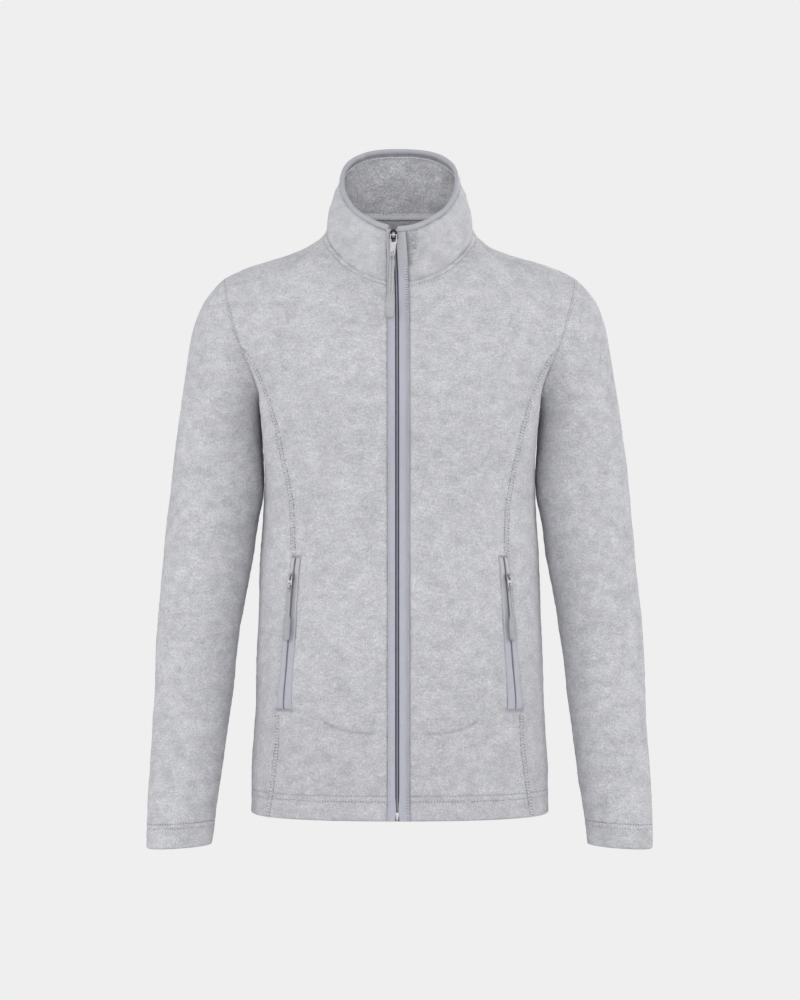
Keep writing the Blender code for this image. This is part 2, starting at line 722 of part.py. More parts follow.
def shell(name, outer, normals, wall, look, wrap=False, gap=SEAM_GAP / 2, keep=()):
    """A cloth wall: the outer face's grid, and an inner one wall deeper.
    Its open edges stand back by gap, apart from the sides named in keep."""
    outer = outer.copy()
    before = outer.copy()
    if not wrap:
        if "left" not in keep:
            outer[0] += unit(before[1] - before[0]) * gap
        if "right" not in keep:
            outer[-1] += unit(before[-2] - before[-1]) * gap
    if "low" not in keep:
        outer[:, 0] += unit(before[:, 1] - before[:, 0]) * gap
    if "top" not in keep:
        outer[:, -1] += unit(before[:, -2] - before[:, -1]) * gap
    inner = outer - normals * wall[..., None]
    nu, nv = outer.shape[:2]

    def index(layer, i, j):
        return layer * nu * nv + (i % nu) * nv + j

    faces = []
    last = nu if wrap else nu - 1
    for i in range(last):
        for j in range(nv - 1):
            faces.append([index(0, i, j), index(0, i + 1, j), index(0, i + 1, j + 1), index(0, i, j + 1)])
            faces.append([index(1, i, j), index(1, i, j + 1), index(1, i + 1, j + 1), index(1, i + 1, j)])
    for i in range(last):
        for j in (0, nv - 1):
            faces.append([index(0, i, j), index(0, i + 1, j), index(1, i + 1, j), index(1, i, j)])
    if not wrap:
        for j in range(nv - 1):
            for i in (0, nu - 1):
                faces.append([index(0, i, j), index(0, i, j + 1), index(1, i, j + 1), index(1, i, j)])
    vertices = np.concatenate([outer.reshape(-1, 3), inner.reshape(-1, 3)])
    return mesh_piece(name, vertices, faces, look)


def loft(name, sections, look, close=False):
    """A solid through sections of equal point count; flat ends."""
    sections = np.asarray(sections)
    n, m = sections.shape[:2]
    faces = []
    for i in range(n if close else n - 1):
        for j in range(m):
            a, b = i * m + j, i * m + (j + 1) % m
            c, d = ((i + 1) % n) * m + (j + 1) % m, ((i + 1) % n) * m + j
            faces.append([a, b, c, d])
    if not close:
        faces.append(list(range(m))[::-1])
        faces.append([(n - 1) * m + j for j in range(m)])
    return mesh_piece(name, sections.reshape(-1, 3), faces, look)


def strip(path, across, normal, profile):
    """Sections of a profile (pairs: across, along the normal) on a path."""
    profile = np.asarray(profile)
    return (
        path[:, None]
        + across[:, None] * profile[..., 0:1]
        + normal[:, None] * profile[..., 1:2]
    )


def tube(name, points, radius, look, closed=False, sides=2):
    """A round bar on a curve through the points, as a mesh."""
    curve = bpy.data.curves.new(name + "_path", "CURVE")
    curve.dimensions = "3D"
    line = curve.splines.new("POLY")
    line.points.add(len(points) - 1)
    for point, place in zip(line.points, points):
        point.co = (*(np.asarray(place) * MM), 1.0)
    line.use_cyclic_u = closed
    curve.bevel_depth = radius * MM
    curve.bevel_resolution = sides
    curve.use_fill_caps = not closed
    made = bpy.data.objects.new(name + "_path", curve)
    bpy.context.scene.collection.objects.link(made)
    bpy.context.view_layer.update()
    graph = bpy.context.evaluated_depsgraph_get()
    mesh = bpy.data.meshes.new_from_object(made.evaluated_get(graph))
    bpy.data.objects.remove(made, do_unlink=True)
    bm = bmesh.new()
    bm.from_mesh(mesh)
    bmesh.ops.remove_doubles(bm, verts=bm.verts, dist=1e-6)
    bmesh.ops.recalc_face_normals(bm, faces=bm.faces)
    if bm.calc_volume(signed=True) < 0:
        bmesh.ops.reverse_faces(bm, faces=bm.faces)
    bm.to_mesh(mesh)
    bm.free()
    mesh.name = name
    mesh.shade_smooth()
    obj = bpy.data.objects.new(name, mesh)
    return finish_piece(obj, look)


# ---------------------------------------------------------- body pieces
FINE = 4


def coarse(grid, u=FINE, v=FINE):
    return grid[::u, ::v]


def hem_wall(points):
    return np.where(points[..., 2] < HEM_Z + HEM_TURN + 0.5, HEM_WALL, WALL)


def shared(normal, other):
    """One wall direction for two pieces that meet smoothly at a seam."""
    meet = np.sum(normal * other, axis=-1, keepdims=True) > 0.3
    return np.where(meet, unit(normal + other), normal)


# Sleeve first, in the left half's coordinates.
hole_at = np.concatenate(
    [
        np.linspace(0, JUNCTION, FRONT_HOLE + 1),
        np.linspace(JUNCTION, 0.5, SIDE_HOLE + 1)[1:],
        np.linspace(0.5, 1.0, BACK_HOLE + 1)[1:-1],
    ]
)
fine_at = np.interp(
    np.arange(len(hole_at) * FINE) / FINE,
    np.arange(len(hole_at) + 1),
    np.append(hole_at, 1.0),
)
fine_station = np.linspace(0, len(SLEEVE) - 1, (len(SLEEVE) - 1) * FINE + 1)
sleeve_fine = sleeve(fine_at[:, None], fine_station[None, :])
sleeve_normals = normals_of(sleeve_fine, wrap=True)
sleeve_axis = sleeve_fine.mean(axis=0, keepdims=True)
sleeve_normals = outwards(sleeve_fine, sleeve_normals, sleeve_axis)
sleeve_outer, sleeve_n = coarse(sleeve_fine), coarse(sleeve_normals)

axis_of_body = np.array([0.0, 0.0, -350.0])


def body_grid(points):
    normals = normals_of(points)
    centre = points * np.array([0.0, 0.0, 1.0])
    return points, outwards(points, normals, centre)


hole_normals = sleeve_n[:, 0].copy()     # at the armhole's vertices, in order

back_fine, back_normals = body_grid(back_piece(FINE))
back_outer, back_n = coarse(back_fine), coarse(back_normals)
side_fine, side_normals = body_grid(side_piece(FINE))
side_outer, side_n = coarse(side_fine), coarse(side_normals)
fronts = {}
for side in (-1, 1):
    fronts[side] = body_grid(front_piece(side, FINE))

# Each seam's two edges share one wall direction.
rows_seam = sum(SEAM_STEPS)
edge = unit(side_n[-1, : rows_seam + 1] + back_n[-1, : rows_seam + 1])
side_n[-1, : rows_seam + 1] = edge
back_n[-1, : rows_seam + 1] = edge
front_n = {side: coarse(fronts[side][1]).copy() for side in fronts}
front_outer = {side: coarse(fronts[side][0]) for side in fronts}
seam_n = unit(front_n[1][-1, : rows_seam + 1] + side_n[0, : rows_seam + 1])
side_n[0, : rows_seam + 1] = seam_n
ridge = unit(front_n[1][-SHOULDER_STEPS - 1 :, -1] + back_n[-SHOULDER_STEPS - 1 :, -1])
back_n[-SHOULDER_STEPS - 1 :, -1] = ridge
for side in front_n:
    front_n[side][-1, : rows_seam + 1] = seam_n
    front_n[side][-SHOULDER_STEPS - 1 :, -1] = ridge

# The armhole: body and sleeve share their directions where they meet flush.
around = {}
for k in range(FRONT_HOLE + 1):
    around[k] = front_n[1][-1, len(front_n[1][-1]) - 1 - k]
for k in range(SIDE_HOLE + 1):
    around.setdefault(FRONT_HOLE + k, side_n[k, -1])
for k in range(BACK_HOLE):
    around.setdefault(FRONT_HOLE + SIDE_HOLE + k, back_n[-1, rows_seam + k])
for k in range(len(hole_at)):
    hole_normals[k] = shared(sleeve_n[k, 0], around[k])
    around[k] = shared(around[k], sleeve_n[k, 0])
sleeve_n[:, 0] = hole_normals
for side in front_n:
    for k in range(FRONT_HOLE + 1):
        front_n[side][-1, len(front_n[side][-1]) - 1 - k] = around[k]
for k in range(1, SIDE_HOLE + 1):
    side_n[k, -1] = around[FRONT_HOLE + k]
side_n[0, -1] = around[FRONT_HOLE]
for k in range(BACK_HOLE):
    back_n[-1, rows_seam + k] = around[FRONT_HOLE + SIDE_HOLE + k]
back_n[-1, -1] = around[0]

for side, tag in ((-1, "r"), (1, "l")):
    flip = np.array([side, 1.0, 1.0])
    shell(
        "front_panel_" + tag, front_outer[side] * flip, front_n[side] * flip,
        hem_wall(front_outer[side]), FLEECE, keep=("low",),
    )
    shell(
        "side_panel_" + tag, side_outer * flip, side_n * flip,
        hem_wall(side_outer), FLEECE, keep=("low",),
    )
    cuff = np.full(sleeve_outer.shape[:2], WALL)
    cuff[:, -2:] = HEM_WALL
    shell(
        "sleeve_" + tag, sleeve_outer * flip, sleeve_n * flip, cuff, FLEECE,
        wrap=True, keep=("top",),
    )

back_n[0] = unit(back_n[0] * np.array([0.0, 1.0, 1.0]))
whole_back = np.concatenate([mirrored(back_outer, -1)[:0:-1], back_outer])
whole_back_n = np.concatenate([mirrored(back_n, -1)[:0:-1], back_n])
shell("back_panel", whole_back, whole_back_n, hem_wall(whole_back), FLEECE, keep=("low",))

# Pocket bags: one thin layer behind the front, from its own points and the
# side panel's, so that it covers the mouth from behind.
BAG_GAP, BAG_WALL = 0.45, 0.9
BAG_ROWS = slice(3, 12)
for side, tag in ((-1, "r"), (1, "l")):
    flip = np.array([side, 1.0, 1.0])
    bag = np.concatenate([front_outer[side][1:10, BAG_ROWS], side_outer[0:2, BAG_ROWS]])
    bag_n = np.concatenate([front_n[side][1:10, BAG_ROWS], side_n[0:2, BAG_ROWS]])
    bag = bag - bag_n * (WALL + BAG_GAP)
    shell(
        "pocket_bag_" + tag, bag * flip, bag_n * flip, np.full(bag.shape[:2], BAG_WALL),
        TAPE, keep=("low", "top", "left", "right"),
    )

# Collar, up to the binding.
collar_fine = whole_collar(FINE, 5, COLLAR_BIND + 0.35)
collar_normals = normals_of(collar_fine)
collar_normals = outwards(collar_fine, collar_normals, np.array([0.0, NECK_MID, 0.0]))
shell("collar", coarse(collar_fine), coarse(collar_normals), np.full(coarse(collar_fine).shape[:2], WALL), FLEECE)

# Binding round the collar's top: a rounded band over the fleece edge.
full = whole_collar(FINE, 5)
full_n = outwards(full, normals_of(full), np.array([0.0, NECK_MID, 0.0]))
path = full[::FINE, -1].copy()
path[0] += unit(path[1] - path[0]) * 0.6
path[-1] += unit(path[-2] - path[-1]) * 0.6
along_path = unit(np.gradient(path, axis=0))
face = unit(full_n[::FINE, -1])
upward = unit(full[::FINE, -1] - full[::FINE, -5])
BIND_PROFILE = [(-3.3, 0.2), (-3.3, -2.2), (-2.4, -3.3), (0.6, -3.6), (2.6, -2.6), (3.3, -1.0), (2.6, 0.6), (0.6, 1.4), (-2.4, 1.2)]
loft("collar_binding", strip(path, upward, face, BIND_PROFILE), BINDING)

# Neck tape inside the back of the neck, from shoulder seam to shoulder seam.
first = NECK_STEPS * FINE
inside = full[first : len(full) - first : FINE]
inside_n = full_n[first : len(full) - first : FINE]
tape_out = unit(inside_n[:, 2])
tape_up = unit(inside[:, FINE] - inside[:, 0])
tape_path = inside[:, 0] - inside_n[:, 0] * WALL - tape_out * 0.9
loft(
    "neck_tape",
    strip(tape_path, tape_up, tape_out, [(0.4, 0.0), (7.2, 0.0), (7.2, -1.0), (0.4, -1.0)]),
    BINDING,
)


# ------------------------------------------------------------- front zip
def front_profile(step):
    """Centre front from the hem to the collar's rim, as a smooth line."""
    z = np.arange(HEM_Z, NECK_FRONT_Z + 0.1, 2.0)
    chest = np.stack([-level("front", z), z], axis=-1)
    foot, head = np.array([NECK_MID - NECK_DEPTH, NECK_FRONT_Z]), np.array([-88.6, COLLAR_FRONT_Z])
    t = np.linspace(0, 1, 30)[1:, None]
    line = np.concatenate([chest[:-1], foot[None], foot + (head - foot) * t])
    run = np.concatenate([[0], np.cumsum(np.linalg.norm(np.diff(line, axis=0), axis=1))])
    even = np.arange(0, run[-1], 1.0)
    y, z = np.interp(even, run, line[:, 0]), np.interp(even, run, line[:, 1])
    k = np.exp(-0.5 * (np.arange(-24, 25) / 7.0) ** 2)
    k /= k.sum()

    def soft(values):
        start = 2 * values[0] - values[24:0:-1]
        end = 2 * values[-1] - values[-2:-26:-1]
        return np.convolve(np.concatenate([start, values, end]), k, mode="valid")

    y, z = soft(y), soft(z)
    pick = np.unique(np.round(np.linspace(0, len(y) - 1, max(2, int(len(y) / step)))).astype(int))
    return np.stack([zip_x(z[pick]), y[pick], z[pick]], axis=-1)


zip_path = front_profile(27.0)
zip_run = unit(np.gradient(zip_path, axis=0))
zip_across = np.repeat(np.array([[1.0, 0.0, 0.0]]), len(zip_path), axis=0)
zip_out = unit(np.cross(zip_run, zip_across))
if zip_out[0, 1] > 0:
    zip_out = -zip_out
mid, half = (STRIP_IN + STRIP_OUT) / 2, (STRIP_OUT - STRIP_IN) / 2
STRIP_PROFILE = [(-half, -0.6), (-half + 0.7, 0.5), (0.0, 1.0), (half - 0.7, 0.5), (half, -0.6), (half - 0.5, -2.2), (-half + 0.5, -2.2)]
for side, tag in ((-1, "r"), (1, "l")):
    shift = np.array([(side * (mid + a), b) for a, b in STRIP_PROFILE])
    loft("zip_binding_" + tag, strip(zip_path, zip_across, zip_out, shift), BINDING)
    tape = [(side * 2.3, -2.6), (side * 8.8, -2.6), (side * 8.8, -3.4), (side * 2.3, -3.4)]
    loft("zip_tape_" + tag, strip(zip_path, zip_across, zip_out, tape), TAPE)
CHAIN_PROFILE = [(-1.7, -0.9), (-1.0, 0.1), (1.0, 0.1), (1.7, -0.9), (1.0, -2.3), (-1.0, -2.3)]
BOX_TOP = HEM_Z + 10.0
chain_low = int(np.searchsorted(zip_path[:, 2], BOX_TOP + 1.0))
chain_path = zip_path[chain_low:].copy()
start = np.array([zip_x(BOX_TOP + 0.4), np.interp(BOX_TOP + 0.4, zip_path[:, 2], zip_path[:, 1]), BOX_TOP + 0.4])
chain_path = np.concatenate([start[None], chain_path])
chain_out = np.concatenate([zip_out[:1], zip_out[chain_low:]])
loft("zip_chain", strip(chain_path, zip_across[: len(chain_path)], chain_out, CHAIN_PROFILE), COIL)


def on_zip(z, offset=0.0, out=0.0):
    """A point over the middle of the zip, and the frame there."""
    y = np.interp(z, zip_path[:, 2], zip_path[:, 1])
    run = unit(np.array([np.interp(z, zip_path[:, 2], zip_run[:, i]) for i in range(3)]))
    normal = unit(np.array([np.interp(z, zip_path[:, 2], zip_out[:, i]) for i in range(3)]))
    across = np.array([1.0, 0.0, 0.0])
    return np.array([zip_x(z), y, z]) + across * offset + normal * out, (across, normal, unit(np.cross(across, normal)))


centre, axes = on_zip(HEM_Z + 5.2, 0.0, -0.7)
BOX_PROFILE = [(-1.7, -0.9), (-1.1, 1.3), (1.1, 1.3), (1.7, -0.9), (1.1, -1.5), (-1.1, -1.5)]
box_path = np.stack([centre + axes[2] * t for t in (-4.5, -1.5, 1.5, 4.5)])
box_size = np.array([0.85, 1.0, 1.0, 0.85])[:, None, None]
loft(
    "zip_box",
    strip(box_path, np.tile(axes[0], (4, 1)), np.tile(axes[1], (4, 1)), np.array(BOX_PROFILE)[None] * box_size),
    WHITE,
)

# Slider: body over the coil, and a bridge that the pull's link hangs in.
SLIDER_Z = -12.5


def slider_piece(name, centre, axes, width, height, look):
    """Slider body with an arched flat bridge, joined into one solid."""
    across, out, up = axes
    base = centre + out * 2.5
    w, t = width / 2, 1.25
    outline = np.array([(-w, -0.5), (-w + 0.3, 0.7), (-w + 1.3, t), (w - 1.3, t), (w - 0.3, 0.7), (w, -0.5), (w - 0.9, -t), (-w + 0.9, -t)])
    rows = ((-0.50, 0.70, 0.75), (-0.42, 0.80, 1.0), (0.10, 0.96, 1.0), (0.38, 1.0, 1.0), (0.50, 0.84, 0.75))
    stations = np.stack([base + up * (row[0] * height) for row in rows])
    shapes = np.stack([outline * np.array(row[1:]) for row in rows])
    bm_obj = loft(name, strip(stations, np.tile(across, (5, 1)), np.tile(out, (5, 1)), shapes), look)
    foot, crown, half_wide, half_thick = height * 0.30, 4.6, 0.9, 0.5
    middle = [(foot, 0.2), (foot, 2.4)]
    for k in range(1, 6):
        a = math.pi * k / 6
        middle.append((math.cos(a) * foot, 2.4 + (crown - 2.4) * math.sin(a)))
    middle += [(-foot, 2.4), (-foot, 0.2)]
    middle = np.array(middle)
    run = unit(np.gradient(middle, axis=0))
    run[:2], run[-2:] = (0.0, 1.0), (0.0, -1.0)
    thick = np.stack([-run[:, 1], run[:, 0]], axis=-1) * half_thick
    sections = []
    for point, t in zip(middle, thick):
        section = []
        for wide, deep in ((-1, -1), (1, -1), (1, 1), (-1, 1)):
            p = point + t * deep
            section.append(base + up * p[0] + out * p[1] + across * (half_wide * wide))
        sections.append(section)
    bridge = loft(name + "_bridge", sections, look)
    bridge.hide_render = True
    bridge.display_type = "WIRE"
    parts.objects.unlink(bridge)
    cutters.objects.link(bridge)
    joined = bm_obj.modifiers.new("bridge", "BOOLEAN")
    joined.operation = "UNION"
    joined.solver = "EXACT"
    joined.object = bridge
    bpy.context.view_layer.update()
    graph = bpy.context.evaluated_depsgraph_get()
    mesh = bpy.data.meshes.new_from_object(bm_obj.evaluated_get(graph))
    bm_obj.modifiers.clear()
    bm = bmesh.new()
    bm.from_mesh(mesh)
    bmesh.ops.remove_doubles(bm, verts=bm.verts, dist=1e-5)
    bmesh.ops.dissolve_degenerate(bm, edges=bm.edges, dist=1e-5)
    bmesh.ops.triangulate(bm, faces=bm.faces, quad_method="BEAUTY", ngon_method="BEAUTY")
    bmesh.ops.recalc_face_normals(bm, faces=bm.faces)
    if bm.calc_volume(signed=True) < 0:
        bmesh.ops.reverse_faces(bm, faces=bm.faces)
    bm.faces.sort(key=lambda f: -f.calc_area())
    bm.to_mesh(mesh)
    bm.free()
    bm_obj.data = mesh
    return bm_obj, base + out * 2.6


slider_centre, slider_axes = on_zip(SLIDER_Z, 0.0, 0.0)
slider, eye = slider_piece("zip_slider", slider_centre, slider_axes, 9.2, 9.4, METAL)


def rounded_ring(centre, across, down, out, half_width, length, tilt_out, n=5):
    """Middle line of a long wire ring that hangs from centre."""
    points = []
    r = half_width
    for k in range(n + 1):
        a = math.pi * k / n
        points.append(centre + across * (r * math.cos(a)) - down * (r * math.sin(a)))
    for k in range(n + 1):
        a = math.pi + math.pi * k / n
        points.append(centre + down * length + across * (r * math.cos(a)) - down * (r * math.sin(a)))
    return [p + out * tilt_out for p in points]


def pull(tag, eye, axes, slope, link_length, cord_end, tab_end, tab_width, lean, wide_cord, link_half):
    """Link, cord loop and moulded end that hang from the slider's bridge.
    slope is how far they lie off the vertical along out, lean along across."""
    across, out, up = axes
    down = unit(-np.array([0.0, 0.0, 1.0]) + out * slope + across * lean)
    side = unit(across - down * np.dot(across, down))
    face = unit(np.cross(side, down))
    if np.dot(face, out) < 0:
        face = -face
    wire = 0.85
    top = eye + down * (link_half - 0.1)
    ring_line = rounded_ring(top, side, down, face, link_half, link_length - 2 * link_half, 0.0)
    tube(tag + "_link", ring_line, wire, METAL, closed=True, sides=1)
    bar = top + down * (link_length - link_half)
    cord = 1.25 if wide_cord else 1.0
    gap = 1.75 if wide_cord else 1.2
    lift = cord + wire + 0.4
    knot = []
    steps = 8
    for k in range(steps + 1):
        a = math.pi * k / steps
        # over the link's lower bar, from behind it to in front of it
        knot.append(
            bar
            + face * (-math.cos(a) * lift)
            + side * (-math.cos(a) * gap * 0.35)
            - down * (math.sin(a) * (lift - 0.3) + 0.0)
        )
    back_low = bar + down * 9 + side * (-gap) - face * (0.2 if wide_cord else 0.7)
    fore_low = bar + down * 9 + side * gap + face * (0.2 if wide_cord else 0.7)
    line = [
        eye + down * (cord_end) + side * (-gap) - face * 0.0,
        back_low + (eye + down * cord_end - bar - down * 9) * 0.0,
        bar + down * 4.0 - face * (lift * 0.8) - side * (gap * 0.7),
    ]
    line += knot
    line += [
        bar + down * 4.0 + face * (lift * 0.8) + side * (gap * 0.7),
        fore_low,
        eye + down * (cord_end) + side * gap,
    ]
    tube(tag + "_cord", line, cord, CORD, sides=1)
    length = tab_end - cord_end - 0.35
    w, t = tab_width / 2, 1.6
    outline = np.array([(-w, -t + 1.1), (-w, t - 1.1), (-w + 1.1, t), (w - 1.1, t), (w, t - 1.1), (w, -t + 1.1), (w - 1.1, -t), (-w + 1.1, -t)])
    rows = ((0.0, 0.74, 0.7), (0.03, 0.92, 0.95), (0.07, 1.0, 1.0), (0.86, 1.0, 1.0), (0.94, 0.86, 1.0), (0.985, 0.62, 0.85), (1.0, 0.42, 0.6))
    stations = np.stack([eye + down * (cord_end + 0.35 + row[0] * length) for row in rows])
    shapes = np.stack([outline * np.array(row[1:]) for row in rows])
    loft(
        tag + "_tab", strip(stations, np.tile(side, (7, 1)), np.tile(face, (7, 1)), shapes), PLASTIC
    )
    return down, face


CHEST_OUT = np.array([0.0, -1.0, 0.0])
front_axes = (np.array([1.0, 0.0, 0.0]), CHEST_OUT, np.array([0.0, 0.0, 1.0]))
pull("front_pull", eye, front_axes, 0.115, 18.0, 63.0, 91.0, 7.8, -0.045, True, 2.15)


# ---------------------------------------------------------- pocket mouths
def mouth_frame(z, share):
    """A point between the mouth's side edge (share 0) and front edge (1)."""
    keys, values = SEAM_X
    x = np.interp(z, keys, values)
    width = MOUTH_END + (MOUTH_TOP - MOUTH_END) * (z - POCKET_END) / (POCKET_TOP - POCKET_END)
    point = front_at(x - width * share, z)
    near = front_at(x - width * share - 0.5, z)
    above = front_at(np.interp(z + 0.5, keys, values) - width * share, z + 0.5)
    across = unit(near - point)
    run = unit(above - point)
    out = unit(np.cross(across, run))
    out = np.where(out[..., 1:2] > 0, -out, out)
    across = unit(np.cross(run, out))
    across = np.where(np.sum(across * (near - point), axis=-1, keepdims=True) < 0, -across, across)
    return point, across, out


def mouth_strip(name, side, z, low, high, depth, crown, look):
    """A strip in the mouth from share low to share high at each end."""
    sections = []
    for level_z in z:
        t = (level_z - POCKET_END) / (POCKET_TOP - POCKET_END)
        s0, s1 = low[0] + (low[1] - low[0]) * t, high[0] + (high[1] - high[0]) * t
        a, across, out = mouth_frame(np.array(level_z), s0)
        b, _, _ = mouth_frame(np.array(level_z), s1)
        m = (a + b) / 2
        section = [a - out * 0.5, a * 0.8 + b * 0.2 + out * crown * 0.8, m + out * crown, a * 0.2 + b * 0.8 + out * crown * 0.8, b - out * 0.5, b - out * depth, a - out * depth]
        sections.append([p * np.array([side, 1.0, 1.0]) for p in section])
    loft(name, sections, look)


# ends of the strips in share of the mouth's width, at the low and high end
WELT_LEVELS = np.linspace(POCKET_END + 1.2, POCKET_TOP - 1.2, 9)
for side, tag in ((-1, "r"), (1, "l")):
    mouth_strip("pocket_welt_side_" + tag, side, WELT_LEVELS, (0.03, 0.05), (0.385, 0.30), 2.2, 0.9, BINDING)
    mouth_strip("pocket_welt_front_" + tag, side, WELT_LEVELS, (0.50, 0.56), (0.97, 0.95), 2.2, 0.9, BINDING)
    mouth_strip("pocket_chain_" + tag, side, WELT_LEVELS, (0.405, 0.33), (0.48, 0.53), 2.0, -0.2, COIL)

    # slider and pull
    slide_z = -388.0
    share = 0.42
    point, across, out = mouth_frame(np.array(slide_z), share)
    flip = np.array([side, 1.0, 1.0])
    out = out * flip
    level_out = unit(out * np.array([1.0, 1.0, 0.0]))
    level_across = unit(np.cross(np.array([0.0, 0.0, 1.0]), level_out))
    if level_across[0] * 1.0 < 0:
        level_across = -level_across
    up = unit(np.cross(level_across, out))
    if up[2] < 0:
        up = -up
    body_piece, pocket_eye = slider_piece(
        "pocket_slider_" + tag, point * flip + out * 0.3, (level_across, out, up), 5.6, 7.6, METAL
    )
    pull(
        "pocket_pull_" + tag, pocket_eye, (level_across, level_out, np.array([0.0, 0.0, 1.0])),
        0.055, 10.5, 42.0, 68.0, 7.6, 0.045 * side, False, 2.15,
    )
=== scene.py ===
"""Looks of the fleece zip jacket: its cloth as thin shells on the CAD's own
form, with seams, stitches, soft folds, bindings, zips and pulls, then the
finishes, the light, the floor and the camera.

Frame: metres, +Z up, the front faces -Y, +X is the wearer's left. Sizes below
are in millimetres. _r is the wearer's right side (-X).
"""
import math

import bmesh
import bpy
import numpy as np
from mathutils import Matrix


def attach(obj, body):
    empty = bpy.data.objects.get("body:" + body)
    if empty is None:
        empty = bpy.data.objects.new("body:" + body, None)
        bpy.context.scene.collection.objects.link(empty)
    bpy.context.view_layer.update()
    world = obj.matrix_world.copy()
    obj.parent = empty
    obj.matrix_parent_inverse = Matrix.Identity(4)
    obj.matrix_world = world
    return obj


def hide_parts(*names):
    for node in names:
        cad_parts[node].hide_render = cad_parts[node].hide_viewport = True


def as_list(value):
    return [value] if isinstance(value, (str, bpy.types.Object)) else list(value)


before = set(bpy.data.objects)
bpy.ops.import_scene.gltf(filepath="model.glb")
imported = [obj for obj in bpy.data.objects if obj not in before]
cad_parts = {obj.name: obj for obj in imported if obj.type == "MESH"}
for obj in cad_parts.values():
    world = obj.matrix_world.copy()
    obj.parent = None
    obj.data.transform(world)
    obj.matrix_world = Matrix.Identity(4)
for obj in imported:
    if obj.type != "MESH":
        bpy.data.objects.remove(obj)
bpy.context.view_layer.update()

MM = 0.001

# ------------------------------------------------------------------ sizes
WALL = 2.0            # one layer of fleece
HEM_WALL = 4.0        # where the edge is turned up
SEAM_GAP = 0.35       # between two pieces at a seam
HEM_Z = -652.0
HEM_TURN = 26.0       # depth of the turned-up hem
CUFF_TURN = 24.0
ZIP_EDGE = 10.5       # fleece edge to the middle of the zip
STRIP_IN, STRIP_OUT = 2.1, 10.1   # zip binding, from the zip's middle
COLLAR_BIND = 3.4     # half of the collar binding's depth
SIDE_SEAM_Y = 2.0

# Body of the jacket: one row per level. half = half width at the side,
# front and back = depth from the side line to the centre front and back,
# pf and pb = how square the section is in front and behind (2 = ellipse).
# Above z = -190 the side runs out over the shoulder, which the sleeve covers.
BODY = (
    # z,     half,  front,  back,   pf,   pb
    (-720.0, 167.0, 132.0, 122.0, 2.35, 2.45),
    (-652.0, 166.0, 130.0, 120.0, 2.35, 2.45),
    (-606.0, 165.2, 128.5, 118.0, 2.35, 2.45),
    (-572.0, 163.0, 127.0, 116.0, 2.35, 2.45),
    (-539.0, 161.0, 125.0, 113.0, 2.35, 2.45),
    (-505.0, 160.0, 122.5, 109.0, 2.35, 2.45),
    (-471.0, 159.0, 119.5, 104.0, 2.35, 2.42),
    (-438.0, 157.8, 117.0, 98.5, 2.35, 2.40),
    (-404.0, 156.7, 114.5, 93.0, 2.35, 2.40),
    (-371.0, 155.7, 112.8, 89.0, 2.35, 2.40),
    (-337.0, 154.7, 112.2, 87.5, 2.35, 2.40),
    (-304.0, 154.2, 113.5, 89.5, 2.35, 2.40),
    (-275.0, 155.5, 116.5, 94.0, 2.35, 2.40),
    (-247.0, 159.5, 121.5, 101.0, 2.35, 2.40),
    (-215.0, 163.0, 127.5, 109.0, 2.35, 2.40),
    (-190.0, 164.0, 130.0, 113.5, 2.35, 2.40),
    (-170.0, 169.0, 128.5, 116.0, 2.33, 2.40),
    (-147.0, 189.0, 121.0, 116.5, 2.30, 2.38),
    (-123.0, 211.0, 108.5, 113.5, 2.25, 2.35),
    (-101.0, 233.0, 96.0, 108.5, 2.15, 2.30),
    (-85.0, 235.0, 88.0, 103.5, 2.10, 2.25),
    (-71.0, 223.0, 81.0, 98.5, 2.08, 2.20),
    (-57.0, 199.0, 74.0, 93.0, 2.05, 2.15),
    (-51.0, 190.0, 70.5, 90.5, 2.05, 2.12),
    (-44.0, 173.0, 66.0, 87.5, 2.05, 2.10),
    (-37.0, 150.5, 60.0, 84.5, 2.05, 2.10),
    (-30.0, 127.0, 52.0, 81.5, 2.05, 2.10),
    (-23.5, 112.0, 44.0, 78.5, 2.05, 2.10),
    (-17.0, 101.0, 36.0, 75.5, 2.05, 2.10),
    (-10.0, 91.5, 28.0, 72.0, 2.05, 2.10),
    (-3.0, 85.5, 20.0, 69.0, 2.05, 2.10),
    (4.0, 81.5, 14.0, 66.0, 2.05, 2.10),
    (14.0, 79.0, 10.0, 62.0, 2.05, 2.10),
    (50.0, 77.0, 8.0, 57.0, 2.05, 2.10),
)

# How far the hanging arm presses the side of the body in.
PRESS = (
    # z,     depth
    (-720.0, 0.0),
    (-400.0, 0.0),
    (-340.0, 1.0),
    (-304.0, 2.5),
    (-270.0, 6.0),
    (-240.0, 11.0),
    (-215.0, 14.0),
    (-190.0, 13.5),
    (-172.0, 7.0),
    (-150.0, 0.0),
    (50.0, 0.0),
)
PRESS_Y, PRESS_SPREAD = 8.0, 24.0

# Princess seam: distance from the centre plane at each level. Between the
# pocket's two ends it is the pocket mouth's edge on the side panel.
PRINCESS = (
    # z,     x
    (-652.0, 145.2),
    (-620.0, 140.2),
    (-585.0, 136.0),
    (-560.0, 134.0),
    (-533.0, 134.6),
    (-480.0, 129.9),
    (-430.0, 125.1),
    (-395.0, 121.6),
    (-375.0, 119.2),
    (-360.0, 117.2),
    (-335.0, 117.4),
    (-303.0, 119.4),
    (-279.0, 123.7),
    (-258.0, 128.4),
    (-226.0, 135.6),
    (-197.0, 144.0),
    (-173.0, 152.0),
    (-151.0, 162.5),
    (-137.0, 174.2),
)
JUNCTION_Z = -137.0   # where the princess seam meets the armhole
POCKET_TOP, POCKET_END = -366.0, -533.0
MOUTH_TOP, MOUTH_END = 9.0, 16.4   # mouth width in front view at both ends

